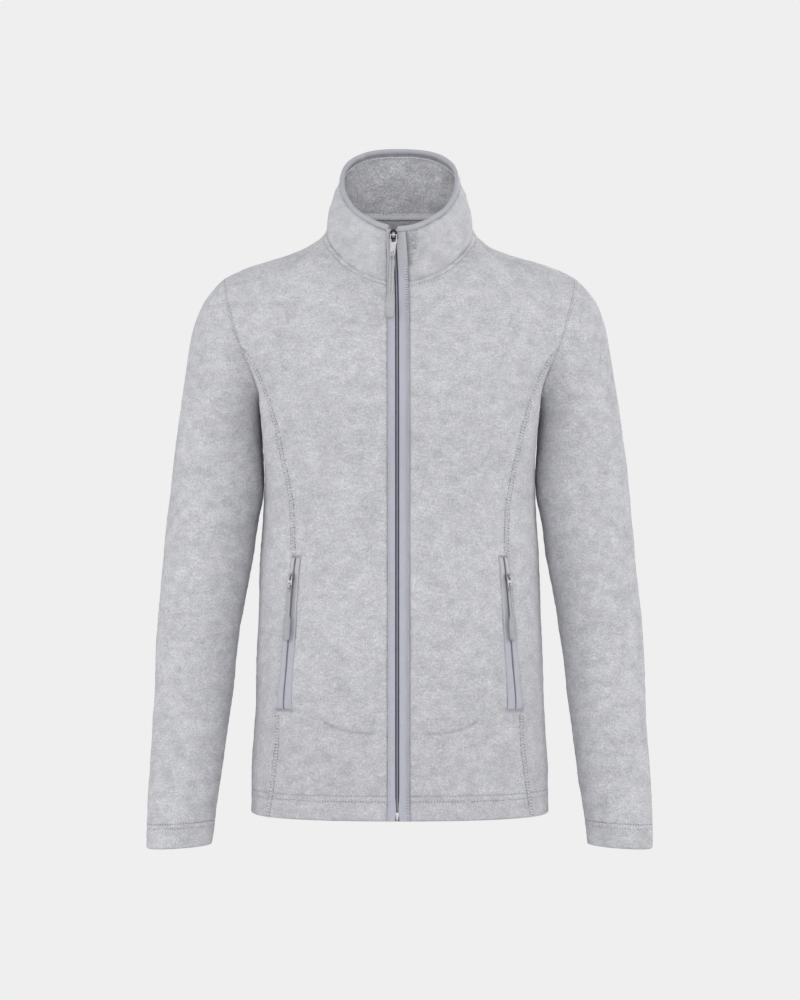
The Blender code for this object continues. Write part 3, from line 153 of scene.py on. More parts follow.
# Middle of the front zip, which leans a little towards the collar.
ZIP_LINE = (
    # z,     x
    (-720.0, -2.6),
    (-400.0, -2.7),
    (-200.0, -2.7),
    (-105.0, -2.9),
    (-70.0, -3.4),
    (-40.0, -4.6),
    (-6.0, -7.0),
    (60.0, -8.0),
)

# Neck seam, as a plan oval, and its rise from the front to the back.
NECK_HALF, NECK_DEPTH, NECK_MID, NECK_POWER = 80.5, 70.0, -8.0, 2.1
NECK_FRONT_Z, NECK_RISE, NECK_EASE = -64.0, 78.0, 0.85
SHOULDER_Y = 3.0

# Collar's top edge in plan, as radius round (0, COLLAR_MID) by angle from
# the front, and the plane it lies in.
COLLAR_TOP = (
    # angle, radius
    (0.0, 76.0),
    (12.0, 74.5),
    (22.0, 70.6),
    (34.0, 66.8),
    (50.0, 64.6),
    (68.0, 62.4),
    (80.0, 63.0),
    (97.0, 65.4),
    (110.0, 69.2),
    (120.0, 73.0),
    (132.0, 76.4),
    (145.0, 77.6),
    (160.0, 75.4),
    (180.0, 72.8),
)
COLLAR_MID, COLLAR_FRONT_Z, COLLAR_SLOPE = -15.0, -6.4, 0.663
COLLAR_BULGE = 1.5
COLLAR_SIDE_BULGE = 4.2

# Armhole, a loop through a shoulder point and an underarm point.
TIP_X, TIP_Z = 197.0, -57.0
PIT_X, PIT_Z = 150.0, -190.0
LOOP_FRONT, LOOP_BACK, LOOP_POWER, LOOP_BOW = 64.0, 68.0, 2.2, 6.0

# Sleeve's outline seen from the front.
SLEEVE_OUT = (
    # z,     x
    (-57.0, 197.0),
    (-64.0, 203.7),
    (-68.5, 208.0),
    (-85.0, 220.0),
    (-102.0, 227.4),
    (-119.0, 232.4),
    (-136.0, 235.8),
    (-152.0, 238.2),
    (-169.0, 240.6),
    (-186.0, 243.4),
    (-203.0, 246.0),
    (-236.0, 250.4),
    (-270.0, 254.6),
    (-304.0, 258.2),
    (-337.0, 261.3),
    (-371.0, 264.2),
    (-404.0, 267.2),
    (-438.0, 270.2),
    (-471.0, 272.3),
    (-505.0, 273.3),
    (-539.0, 274.3),
    (-572.0, 276.0),
    (-606.0, 278.2),
    (-640.0, 280.2),
    (-700.0, 280.6),
)
SLEEVE_IN = (
    # z,     x
    (-190.0, 150.0),
    (-193.0, 153.2),
    (-198.0, 155.0),
    (-206.0, 155.8),
    (-218.0, 156.0),
    (-247.0, 155.6),
    (-275.0, 155.2),
    (-304.0, 156.2),
    (-337.0, 160.6),
    (-371.0, 165.4),
    (-404.0, 171.4),
    (-438.0, 177.2),
    (-471.0, 182.0),
    (-505.0, 185.6),
    (-539.0, 190.0),
    (-572.0, 194.0),
    (-606.0, 198.6),
    (-640.0, 203.4),
    (-673.0, 207.4),
    (-700.0, 211.0),
)

# Sleeve sections. out and in = levels of the outer and inner points,
# depth = half depth front to back, mid = its middle, bow = how far the
# section bulges out of its plane, power = how square it is.
SLEEVE = (
    # out,   in,     depth, mid,  bow, power
    (-57.0, -190.0, 64.0, 0.0, 6.0, 2.20),
    (-64.0, -191.6, 64.3, 0.6, 6.0, 2.20),
    (-77.0, -194.5, 64.5, 1.8, 5.6, 2.18),
    (-94.0, -198.5, 64.3, 3.4, 5.0, 2.16),
    (-116.0, -205.0, 63.6, 5.4, 4.0, 2.14),
    (-142.0, -214.0, 62.6, 7.4, 3.0, 2.12),
    (-171.0, -227.0, 61.2, 9.2, 2.0, 2.10),
    (-203.0, -244.0, 59.6, 10.4, 1.0, 2.08),
    (-237.0, -264.0, 58.0, 10.4, 0.4, 2.06),
    (-273.0, -288.0, 56.4, 9.4, 0.0, 2.05),
    (-312.0, -318.0, 54.8, 7.6, 0.0, 2.05),
    (-355.0, -356.0, 52.4, 4.4, 0.0, 2.05),
    (-404.0, -404.0, 49.4, 0.0, 0.0, 2.05),
    (-458.0, -458.0, 46.0, -5.6, 0.0, 2.05),
    (-514.0, -514.0, 42.4, -12.0, 0.0, 2.05),
    (-572.0, -571.0, 38.6, -19.0, 0.0, 2.05),
    (-625.0, -622.5, 35.2, -26.0, 0.0, 2.05),
    (-664.5, -660.5, 32.6, -31.0, 0.0, 2.05),
    (-690.0, -685.5, 31.4, -34.0, 0.0, 2.05),
)


# ------------------------------------------------------- smooth curves
def pchip(table, column, at):
    """Monotone cubic through one column of a table, read at the given keys."""
    rows = sorted(table)
    x = np.array([r[0] for r in rows])
    y = np.array([r[column] for r in rows])
    h = np.diff(x)
    d = np.diff(y) / h
    m = np.zeros(len(x))
    m[0], m[-1] = d[0], d[-1]
    for i in range(1, len(x) - 1):
        if d[i - 1] * d[i] > 0:
            w1, w2 = 2 * h[i] + h[i - 1], h[i] + 2 * h[i - 1]
            m[i] = (w1 + w2) / (w1 / d[i - 1] + w2 / d[i])
    at = np.clip(at, x[0], x[-1])
    i = np.clip(np.searchsorted(x, at, side="right") - 1, 0, len(h) - 1)
    t = (at - x[i]) / h[i]
    return (
        (2 * t**3 - 3 * t**2 + 1) * y[i]
        + (t**3 - 2 * t**2 + t) * h[i] * m[i]
        + (-2 * t**3 + 3 * t**2) * y[i + 1]
        + (t**3 - t**2) * h[i] * m[i + 1]
    )


def smoothed(table, column, low, high, spread):
    """The same curve on a 1 mm (or 1 degree) ladder, rounded over spread."""
    keys = np.arange(low, high + 0.5, 1.0)
    reach = int(4 * spread)
    wide = np.arange(low - reach, high + reach + 0.5, 1.0)
    values = pchip(table, column, wide)
    kernel = np.exp(-0.5 * (np.arange(-reach, reach + 1) / spread) ** 2)
    kernel /= kernel.sum()
    return keys, np.convolve(values, kernel, mode="valid")


LEVELS = {
    name: smoothed(BODY, i, -700, 45, 5.0)
    for i, name in ((1, "half"), (2, "front"), (3, "back"), (4, "pf"), (5, "pb"))
}
PRESSED = smoothed(PRESS, 1, -700, 45, 8.0)
SEAM_X = smoothed(PRINCESS, 1, -652, -137, 4.0)
RIM = smoothed(COLLAR_TOP, 1, 0, 180, 5.0)


def level(name, z):
    keys, values = LEVELS[name]
    return np.interp(z, keys, values)


def power(value, p):
    return np.sign(value) * np.abs(value) ** p


def unit(v):
    return v / np.maximum(np.linalg.norm(v, axis=-1, keepdims=True), 1e-9)


# ------------------------------------------------------- the body's form
CHART_Z, CHART_R = -250.0, 165.0


def outside(x, y, z):
    """Below 0 inside the body's form, above 0 outside it."""
    fore = y < 0
    depth = np.where(fore, level("front", z), level("back", z))
    p = np.where(fore, level("pf", z), level("pb", z))
    return (np.abs(x) / level("half", z)) ** p + (np.abs(y) / depth) ** p - 1


def press(y, z):
    keys, values = PRESSED
    return np.interp(z, keys, values) * np.exp(-0.5 * ((y - PRESS_Y) / PRESS_SPREAD) ** 2)


def body(phi, w):
    """A point of the body's form. phi is the angle from the front. w is the
    level up to CHART_Z, and above it the angle of a ray that rises from there."""
    phi, w = np.broadcast_arrays(np.asarray(phi, float), np.asarray(w, float))
    base = np.minimum(w, CHART_Z)
    rise = np.maximum(w - CHART_Z, 0) / CHART_R
    dx, dy, dz = np.cos(rise) * np.sin(phi), -np.cos(rise) * np.cos(phi), np.sin(rise)
    low, high = np.full(phi.shape, 5.0), np.full(phi.shape, 430.0)
    for _ in range(42):
        t = (low + high) / 2
        inside = outside(t * dx, t * dy, base + t * dz) < 0
        low, high = np.where(inside, t, low), np.where(inside, high, t)
    x, y, z = low * dx, low * dy, base + low * dz
    x = x - press(y, z) * np.clip((x - 90) / 45, 0, 1)
    return np.stack([x, y, z], axis=-1)


def chart(p):
    """phi and w of points on or near the body's form."""
    x = p[..., 0] + press(p[..., 1], p[..., 2]) * np.clip((p[..., 0] - 90) / 45, 0, 1)
    y, z = p[..., 1], p[..., 2]
    rise = np.arctan2(z - CHART_Z, np.hypot(x, y))
    w = np.where(z < CHART_Z, z, CHART_Z + CHART_R * rise)
    return np.stack([np.arctan2(x, -y), w], axis=-1)


def front_at(x, z):
    """The point of the form's front at a distance x from the centre plane."""
    a, b, p = level("half", z), level("front", z), level("pf", z)
    y = -b * np.maximum(1 - (np.abs(x) / a) ** p, 0) ** (1 / p)
    return np.stack(np.broadcast_arrays(x, y, z), axis=-1)


def back_at(x, z):
    a, b, p = level("half", z), level("back", z), level("pb", z)
    y = b * np.maximum(1 - (np.abs(x) / a) ** p, 0) ** (1 / p)
    return np.stack(np.broadcast_arrays(x, y, z), axis=-1)


# ------------------------------------------------------------ seam lines
def neck(turn):
    """Neck seam. turn runs from 0 at the centre front to pi at the back."""
    x = NECK_HALF * power(np.sin(turn), 2 / NECK_POWER)
    y = NECK_MID - NECK_DEPTH * power(np.cos(turn), 2 / NECK_POWER)
    t = (y - NECK_MID + NECK_DEPTH) / (2 * NECK_DEPTH)
    z = NECK_FRONT_Z + NECK_RISE * np.sin(math.pi / 2 * np.clip(t, 0, 1) ** NECK_EASE)
    return np.stack([x, y, z], axis=-1)


def neck_turn_at_x(x):
    return math.asin((x / NECK_HALF) ** (NECK_POWER / 2))


def neck_turn_at_y(y):
    c = (NECK_MID - y) / NECK_DEPTH
    return math.acos(math.copysign(abs(c) ** (NECK_POWER / 2), c))


def ring(at, out, inn, depth_front, depth_back, mid, bow, p):
    """One section of the sleeve. at runs from 0 at its outer or top point over
    the front to 0.5 at the inner point, and back over the rear to 1."""
    c = power(np.cos(2 * math.pi * at), 2 / p)
    s = power(np.sin(2 * math.pi * at), 2 / p)
    cx, cz = (out[0] + inn[0]) / 2, (out[1] + inn[1]) / 2
    ax, az = (out[0] - inn[0]) / 2, (out[1] - inn[1]) / 2
    size = np.hypot(ax, az)
    x = cx + ax * c + bow * az / size * s**2
    z = cz + az * c - bow * ax / size * s**2
    y = mid - np.where(s > 0, depth_front, depth_back) * s
    return np.stack(np.broadcast_arrays(x, y, z), axis=-1)


def armhole(at):
    return ring(
        at, (TIP_X, TIP_Z), (PIT_X, PIT_Z), LOOP_FRONT, LOOP_BACK, 0.0, LOOP_BOW, LOOP_POWER
    )


def sleeve(at, station):
    """A point of the sleeve: round it by at, down it by station 0 to 18."""
    at, station = np.broadcast_arrays(np.asarray(at, float), np.asarray(station, float))
    rows = [(i,) + row for i, row in enumerate(SLEEVE)]
    zo, zi, depth, mid, bow, p = (pchip(rows, c, station) for c in range(1, 7))
    extra = (LOOP_BACK - LOOP_FRONT) * np.clip(1 - station / 6, 0, 1) ** 2
    xo, xi = pchip(SLEEVE_OUT, 1, zo), pchip(SLEEVE_IN, 1, zi)
    return ring(at, (xo, zo), (xi, zi), depth, depth + extra, mid, bow, p)


def junction():
    """The armhole's parameter where the princess seam ends in it."""
    low, high = 0.1, 0.45
    for _ in range(50):
        t = (low + high) / 2
        low, high = (t, high) if armhole(t)[2] > JUNCTION_Z else (low, t)
    return low


JUNCTION = junction()


def zip_x(z):
    return pchip(ZIP_LINE, 1, z)


def edge_x(z, side):
    """Fleece edge beside the zip, in the mirrored half of the given side."""
    return side * zip_x(z) + ZIP_EDGE


def with_ends(points, first=None, last=None, reach=22.0):
    """Bends a curve on the form so that it ends in the given points."""
    points = points.copy()
    run = np.concatenate([[0], np.cumsum(np.linalg.norm(np.diff(points, axis=0), axis=1))])
    if first is not None:
        points += (first - points[0]) * np.exp(-run / reach)[:, None]
        points[0] = first
    if last is not None:
        points += (last - points[-1]) * np.exp(-(run[-1] - run) / reach)[:, None]
        points[-1] = last
    return points


def princess(z):
    keys, values = SEAM_X
    points = front_at(np.interp(z, keys, values), z)
    return with_ends(points, last=armhole(JUNCTION) if abs(z[-1] - JUNCTION_Z) < 1e-6 else None)


def side_seam(z):
    x = level("half", z) - press(np.full_like(z, SIDE_SEAM_Y), z)
    points = np.stack([x, np.full_like(z, SIDE_SEAM_Y), z], axis=-1)
    return with_ends(points, last=armhole(0.5))


def shoulder(t):
    """Shoulder seam, t from 0 at the neck to 1 at the armhole."""
    a, b = neck(neck_turn_at_y(SHOULDER_Y)), armhole(0.0)
    ends = chart(np.stack([a, b]))
    path = ends[0] + (ends[1] - ends[0]) * t[:, None]
    return with_ends(body(path[:, 0], path[:, 1]), a, b, 40.0)


def front_edge(z, side):
    points = front_at(edge_x(z, side), z)
    return with_ends(points, last=neck(neck_turn_at_x(edge_x(NECK_FRONT_Z, side))))


# -------------------------------------------------------------- patches
def spread_of(u, v, left, right, low, top, fade_u, fade_v):
    """Blend of four sides over a patch: left and right run along v, low and
    top along u. A fade over 1 keeps each side's share near that side."""
    U, V = u[:, None, None], v[None, :, None]
    fl, fr, fb, ft = (1 - U) ** fade_u, U**fade_u, (1 - V) ** fade_v, V**fade_v
    sides = fl * left[None] + fr * right[None] + fb * low[:, None] + ft * top[:, None]
    corners = (
        fl * fb * left[0] + fr * fb * right[0] + fl * ft * left[-1] + fr * ft * right[-1]
    )
    return sides - corners


def patch(u, v, left, right, low, top, fan=4.0):
    """Points on the form between four boundary curves, which it meets. The
    columns keep to the two sides and fan out to the top in the last rows."""
    charts = [chart(side) for side in (left, right, low, top)]
    grid = spread_of(u, v, *charts, 1.0, fan)
    points = body(grid[..., 0], grid[..., 1])
    rest = [side - body(c[:, 0], c[:, 1]) for side, c in zip((left, right, low, top), charts)]
    return points + spread_of(u, v, *rest, 4.0, 4.0)


def normals_of(points, wrap=False):
    if wrap:
        du = np.roll(points, -1, axis=0) - np.roll(points, 1, axis=0)
    else:
        du = np.gradient(points, axis=0)
    dv = np.gradient(points, axis=1)
    return unit(np.cross(du, dv))


def outwards(points, normals, centre):
    facing = np.sum(normals * (points - centre), axis=-1).sum()
    return normals if facing > 0 else -normals


# ------------------------------------------------- pieces of the body
# Steps of the coarse solids: rows from the hem up, columns round the body.
SEAM_STEPS = (1, 3, 1, 4, 1, 6)      # princess seam, from knot to knot
FRONT_HOLE, SIDE_HOLE, BACK_HOLE = 6, 5, 10
NECK_STEPS, SHOULDER_STEPS, BACK_NECK = 5, 5, 5
BACK_KNOT_Z = -230.0   # level of the centre back's row that runs to the underarm


def mouth_width(z):
    """Width of the pocket mouth in the front view, 0 outside the pocket."""
    t = (z - POCKET_END) / (POCKET_TOP - POCKET_END)
    inside = np.clip((z - POCKET_END + 0.8) / 1.6, 0, 1) * np.clip((POCKET_TOP + 0.8 - z) / 1.6, 0, 1)
    return (MOUTH_END + (MOUTH_TOP - MOUTH_END) * np.clip(t, 0, 1)) * inside


# -------------------------------------------------------------- collar
def rim(angle, drop=0.0):
    """Middle line of the collar's top binding; angle in radians from the front."""
    keys, values = RIM
    r = np.interp(np.degrees(angle), keys, values)
    x, y = r * np.sin(angle), COLLAR_MID - r * np.cos(angle)
    z = COLLAR_FRONT_Z + COLLAR_SLOPE * (y + 90.0)
    return np.stack([x, y, z - drop], axis=-1)


def collar_turns(side, fine):
    """Turns of the neck seam from the zip edge to the centre back."""
    a = neck_turn_at_x(edge_x(NECK_FRONT_Z, side))
    b = neck_turn_at_y(SHOULDER_Y)
    return np.concatenate(
        [np.linspace(a, b, NECK_STEPS * fine + 1), np.linspace(b, math.pi, BACK_NECK * fine + 1)[1:]]
    )


def collar_half(side, fine=4, rows=5, short=0.0):
    """Half of the collar: from the zip edge to the centre back, base to rim.
    short is how far it stops under the rim line."""
    base = neck(collar_turns(side, fine))
    around = np.arctan2(base[:, 0], -(base[:, 1] - NECK_MID))
    tip = math.asin(edge_x(COLLAR_FRONT_Z, side) / RIM[1][8])
    share = np.clip(1 - (around - around[0]) / (math.pi - around[0]), 0, 1)
    upper = rim(around + (tip - around[0]) * share**3)
    line = upper - base
    share = 1 - short / np.linalg.norm(line, axis=1)
    v = np.linspace(0, 1, rows * fine + 1)[None, :] * share[:, None]
    points = base[:, None] + line[:, None] * v[..., None]
    out = unit(np.stack([base[:, 0], base[:, 1] - NECK_MID, np.zeros(len(base))], axis=-1))
    bulge = COLLAR_BULGE + COLLAR_SIDE_BULGE * np.exp(-(((np.degrees(around) - 82) / 36) ** 2))
    return points + out[:, None] * (bulge[:, None] * np.sin(math.pi * v))[..., None]


def mirrored(points, side):
    points = points.copy()
    points[..., 0] *= side
    return points


def whole_collar(fine=4, rows=5, short=0.0):
    """From the right zip edge round the back to the left one."""
    right = mirrored(collar_half(-1, fine, rows, short), -1)
    left = collar_half(1, fine, rows, short)
    return np.concatenate([right, left[-2::-1]])


def strip(path, across, normal, profile):
    """Sections of a profile (pairs: across, along the normal) on a path."""
    profile = np.asarray(profile)
    return (
        path[:, None]
        + across[:, None] * profile[..., 0:1]
        + normal[:, None] * profile[..., 1:2]
    )


def front_profile(step):
    """Centre front from the hem to the collar's rim, as a smooth line."""
    z = np.arange(HEM_Z, NECK_FRONT_Z + 0.1, 2.0)
    chest = np.stack([-level("front", z), z], axis=-1)
    foot, head = np.array([NECK_MID - NECK_DEPTH, NECK_FRONT_Z]), np.array([-88.6, COLLAR_FRONT_Z])
    t = np.linspace(0, 1, 30)[1:, None]
    line = np.concatenate([chest[:-1], foot[None], foot + (head - foot) * t])
    run = np.concatenate([[0], np.cumsum(np.linalg.norm(np.diff(line, axis=0), axis=1))])
    even = np.arange(0, run[-1], 1.0)
    y, z = np.interp(even, run, line[:, 0]), np.interp(even, run, line[:, 1])
    k = np.exp(-0.5 * (np.arange(-24, 25) / 7.0) ** 2)
    k /= k.sum()

    def soft(values):
        start = 2 * values[0] - values[24:0:-1]
        end = 2 * values[-1] - values[-2:-26:-1]
        return np.convolve(np.concatenate([start, values, end]), k, mode="valid")

    y, z = soft(y), soft(z)
    pick = np.unique(np.round(np.linspace(0, len(y) - 1, max(2, int(len(y) / step)))).astype(int))
    return np.stack([zip_x(z[pick]), y[pick], z[pick]], axis=-1)


# ------------------------------------------------------------ fine grids
def rungs(run, zones, fine=0.75, wide=1.9, reach=6.0):
    """Places from 0 to run, fine apart near the zones and wide apart between
    them, with an even number of steps."""
    x = np.linspace(0, run, 4001)
    step = np.full(x.shape, wide)
    if len(zones):
        gap = np.min(np.abs(x[:, None] - np.asarray(zones, float)[None]), axis=1)
        step = wide - (wide - fine) * np.exp(-((gap / reach) ** 2))
    density = 1 / step
    count = np.concatenate([[0], np.cumsum((density[1:] + density[:-1]) / 2 * np.diff(x))])
    n = max(2, 2 * int(round(count[-1] / 2)))
    return np.interp(np.linspace(0, count[-1], n + 1), count, x)


def joined_rungs(knots, zones, **sizes):
    """Ladders from knot to knot."""
    out = [np.array([knots[0]], float)]
    for a, b in zip(knots[:-1], knots[1:]):
        inside = [z - a for z in zones if a - 12 < z < b + 12]
        out.append(a + rungs(b - a, inside, **sizes)[1:])
    return np.concatenate(out)


def run_of(line):
    return np.concatenate([[0], np.cumsum(np.linalg.norm(np.diff(line, axis=0), axis=1))])


HEM_ROW, HEM_ROW_LOW = HEM_TURN + 1.0, 21.0          # rows of stitches over the hem
CUFF_ROW, CUFF_ROW_LOW = CUFF_TURN + 3.0, CUFF_TURN - 2.0
HEM_ROWS = (HEM_Z, HEM_Z + HEM_ROW_LOW, HEM_Z + HEM_ROW)


def seam_z(wide):
    """Levels of the princess seam from the hem to the armhole."""
    knots = (HEM_Z, POCKET_END - 0.8, POCKET_END + 0.8, POCKET_TOP - 0.8, POCKET_TOP + 0.8, JUNCTION_Z)
    pieces = []
    for a, b in zip(knots[:-1], knots[1:]):
        if b - a < 2:
            pieces.append(np.linspace(a, b, 5)[:-1])
        else:
            zones = [q - a for q in HEM_ROWS + (POCKET_END, POCKET_TOP, JUNCTION_Z) if a - 12 < q < b + 12]
            pieces.append((a + rungs(b - a, zones, 0.8, wide, 4.0))[:-1])
    return np.concatenate(pieces + [np.array([JUNCTION_Z])])


def side_z(z):
    """Levels of the side seam, one for each row of the princess seam."""
    t = (z - HEM_Z - HEM_TURN) / (JUNCTION_Z - HEM_Z - HEM_TURN)
    upper = HEM_Z + HEM_TURN + t * (PIT_Z - HEM_Z - HEM_TURN)
    return np.where(z < HEM_Z + HEM_TURN, z, upper)


def halves(left_run, right_run, left_zone, right_zone, fine, wide):
    """Columns 0 to 1 in two halves that meet at the neck end of the shoulder."""
    a = rungs(left_run, [0] if left_zone else [], fine, wide) / left_run
    b = rungs(right_run, [right_run] if right_zone else [], fine, wide) / right_run
    return np.concatenate([a * 0.5, 0.5 + b[1:] * 0.5])


def front_grid(side, wide=1.9):
    """Front piece of one side, in the mirrored half: columns from the zip to
    the princess seam, rows from the hem to the neck and shoulder."""
    z = seam_z(wide)
    t = rungs(88.0, [0, 88.0], 0.8, wide) / 88.0
    seam = princess(z)
    right = np.concatenate([seam, armhole(JUNCTION * (1 - t))[1:]])
    rows = len(right)
    centre_z = np.full(rows, NECK_FRONT_Z, float)
    centre_z[: len(z)] = z + (NECK_FRONT_Z - 90 - JUNCTION_Z) * np.clip((z + 366) / 229, 0, 1) ** 2
    centre_z[len(z) - 1:] = centre_z[len(z) - 1] + (NECK_FRONT_Z - centre_z[len(z) - 1]) * t
    left = front_edge(centre_z, side)
    a, b = neck_turn_at_x(edge_x(NECK_FRONT_Z, side)), neck_turn_at_y(SHOULDER_Y)
    left[-1] = neck(a)
    u = halves(92.0, 100.0, True, True, 0.75, wide)
    n = int(np.argmin(np.abs(u - 0.5)))
    top = np.concatenate([neck(a + (b - a) * u[: n + 1] * 2), shoulder((u[n:] - 0.5) * 2)[1:]])
    low = front_at(left[0, 0] + (right[0, 0] - left[0, 0]) * u, np.full(len(u), HEM_Z))
    v = run_of(right) / run_of(right)[-1]
    plain = patch(u, v, left, right, low, top)
    notch = np.zeros(rows)
    notch[: len(z)] = mouth_width(z)
    share = np.clip((u - 0.6) / 0.4, 0, 1)
    cut = notch[None, :] * share[:, None]
    moved = front_at(plain[..., 0] - cut, plain[..., 2])
    return np.where((cut > 0)[..., None], moved, plain), plain, u, z, n


def side_grid(wide=1.9):
    z = seam_z(wide)
    u = rungs(84.0, [0, 84.0], 0.75, wide) / 84.0
    left, right = princess(z), side_seam(side_z(z))
    top = armhole(JUNCTION + (0.5 - JUNCTION) * u)
    ends = chart(np.stack([left[0], right[0]]))
    low = body(ends[0, 0] + (ends[1, 0] - ends[0, 0]) * u, np.full(len(u), HEM_Z))
    v = (z - z[0]) / (z[-1] - z[0])
    return patch(u, v, left, right, low, top, 2.0), z


def back_grid(wide=2.95):
    """Half of the back, from the centre back out."""
    knots = (HEM_Z, JUNCTION_Z)
    z = side_z(joined_rungs(knots, HEM_ROWS, fine=0.9, wide=wide, reach=4.0))
    t = rungs(205.0, [0, 205.0], 0.8, wide) / 205.0
    right = np.concatenate([side_seam(z), armhole(0.5 + 0.5 * t)[1:]])
    u = halves(100.0, 115.0, False, True, 0.8, wide)
    n = int(np.argmin(np.abs(u - 0.5)))
    a, b = math.pi, neck_turn_at_y(SHOULDER_Y)
    top = np.concatenate([neck(a + (b - a) * u[: n + 1] * 2), shoulder((u[n:] - 0.5) * 2)[1:]])
    rows = len(right)
    share = np.clip((z - HEM_Z - HEM_TURN) / (PIT_Z - HEM_Z - HEM_TURN), 0, 1)
    lower = z + (BACK_KNOT_Z - PIT_Z) * share
    centre_z = np.concatenate([lower, lower[-1] + (neck(math.pi)[2] - lower[-1]) * t[1:]])
    left = with_ends(back_at(np.zeros(rows), centre_z), last=neck(math.pi))
    ends = chart(np.stack([left[0], right[0]]))
    low = body(ends[0, 0] + (ends[1, 0] - ends[0, 0]) * u, np.full(len(u), HEM_Z))
    v = run_of(right) / run_of(right)[-1]
    return patch(u, v, left, right, low, top), z, n


def sleeve_grid(wide=2.4):
    """Sleeve from the underarm seam over the back, the top and the front."""
    at = 0.5 + rungs(300.0, [0, 300.0], 0.9, wide) / 300.0
    centre = sleeve(np.full(400, 0.0), np.linspace(0, len(SLEEVE) - 1, 400))
    run = run_of(centre)
    rows = rungs(run[-1], [0, run[-1], run[-1] - CUFF_ROW_LOW, run[-1] - CUFF_ROW], 0.9, wide, 4.0)
    station = np.interp(rows, run, np.linspace(0, len(SLEEVE) - 1, 400))
    return sleeve((at % 1.0)[:, None], station[None, :])


def form_normal(points):
    """Direction out of the body's form at points on it."""
    def value(p):
        x, y, z = np.abs(p[..., 0]), p[..., 1], p[..., 2]
        return outside(x + press(y, z) * np.clip((x - 90) / 45, 0, 1), y, z)

    e = 1.2
    steps = [np.array(v) * e for v in ((1.0, 0, 0), (0, 1.0, 0), (0, 0, 1.0))]
    return unit(np.stack([value(points + s) - value(points - s) for s in steps], axis=-1))


def near(points, line):
    """Distance from each point to a polyline, and the run along it there."""
    line = np.asarray(line, float)
    flat = points.reshape(-1, 3)
    run = run_of(line)
    gap, at = np.empty(len(flat)), np.empty(len(flat))
    for start in range(0, len(flat), 20000):
        part = flat[start:start + 20000]
        square = (part**2).sum(1)[:, None] + (line**2).sum(1)[None] - 2 * part @ line.T
        i = square.argmin(1)
        best, where = np.full(len(part), 1e9), np.zeros(len(part))
        for step in (-1, 0):
            a = np.clip(i + step, 0, len(line) - 2)
            p, q = line[a], line[a + 1]
            size = np.maximum(((q - p) ** 2).sum(1), 1e-12)
            t = np.clip(((part - p) * (q - p)).sum(1) / size, 0, 1)
            d = np.linalg.norm(part - p - (q - p) * t[:, None], axis=1)
            where = np.where(d < best, run[a] + t * (run[a + 1] - run[a]), where)
            best = np.minimum(best, d)
        gap[start:start + 20000], at[start:start + 20000] = best, where
    return gap.reshape(points.shape[:-1]), at.reshape(points.shape[:-1])


def waves(points, size, seed, count=26):
    """A smooth, even, seeded unevenness of about one, with lumps of that size."""
    rng = np.random.default_rng(seed)
    k = unit(rng.normal(size=(count, 3))) * (2 * math.pi / size) * rng.uniform(0.65, 1.5, (count, 1))
    phase = rng.uniform(0, 2 * math.pi, count)
    flat = points.reshape(-1, 3)
    total = np.zeros(len(flat))
    for vector, shift in zip(k, phase):
        total += np.cos(flat @ vector + shift)
    return (total * math.sqrt(2 / count)).reshape(points.shape[:-1])


def bell(d, at, wide):
    return np.exp(-(((d - at) / wide) ** 2))


def plateau(d, start, end, soft):
    return 1 / (1 + np.exp(np.clip(-(d - start) / soft, -60, 60))) / (1 + np.exp(np.clip((d - end) / soft, -60, 60)))


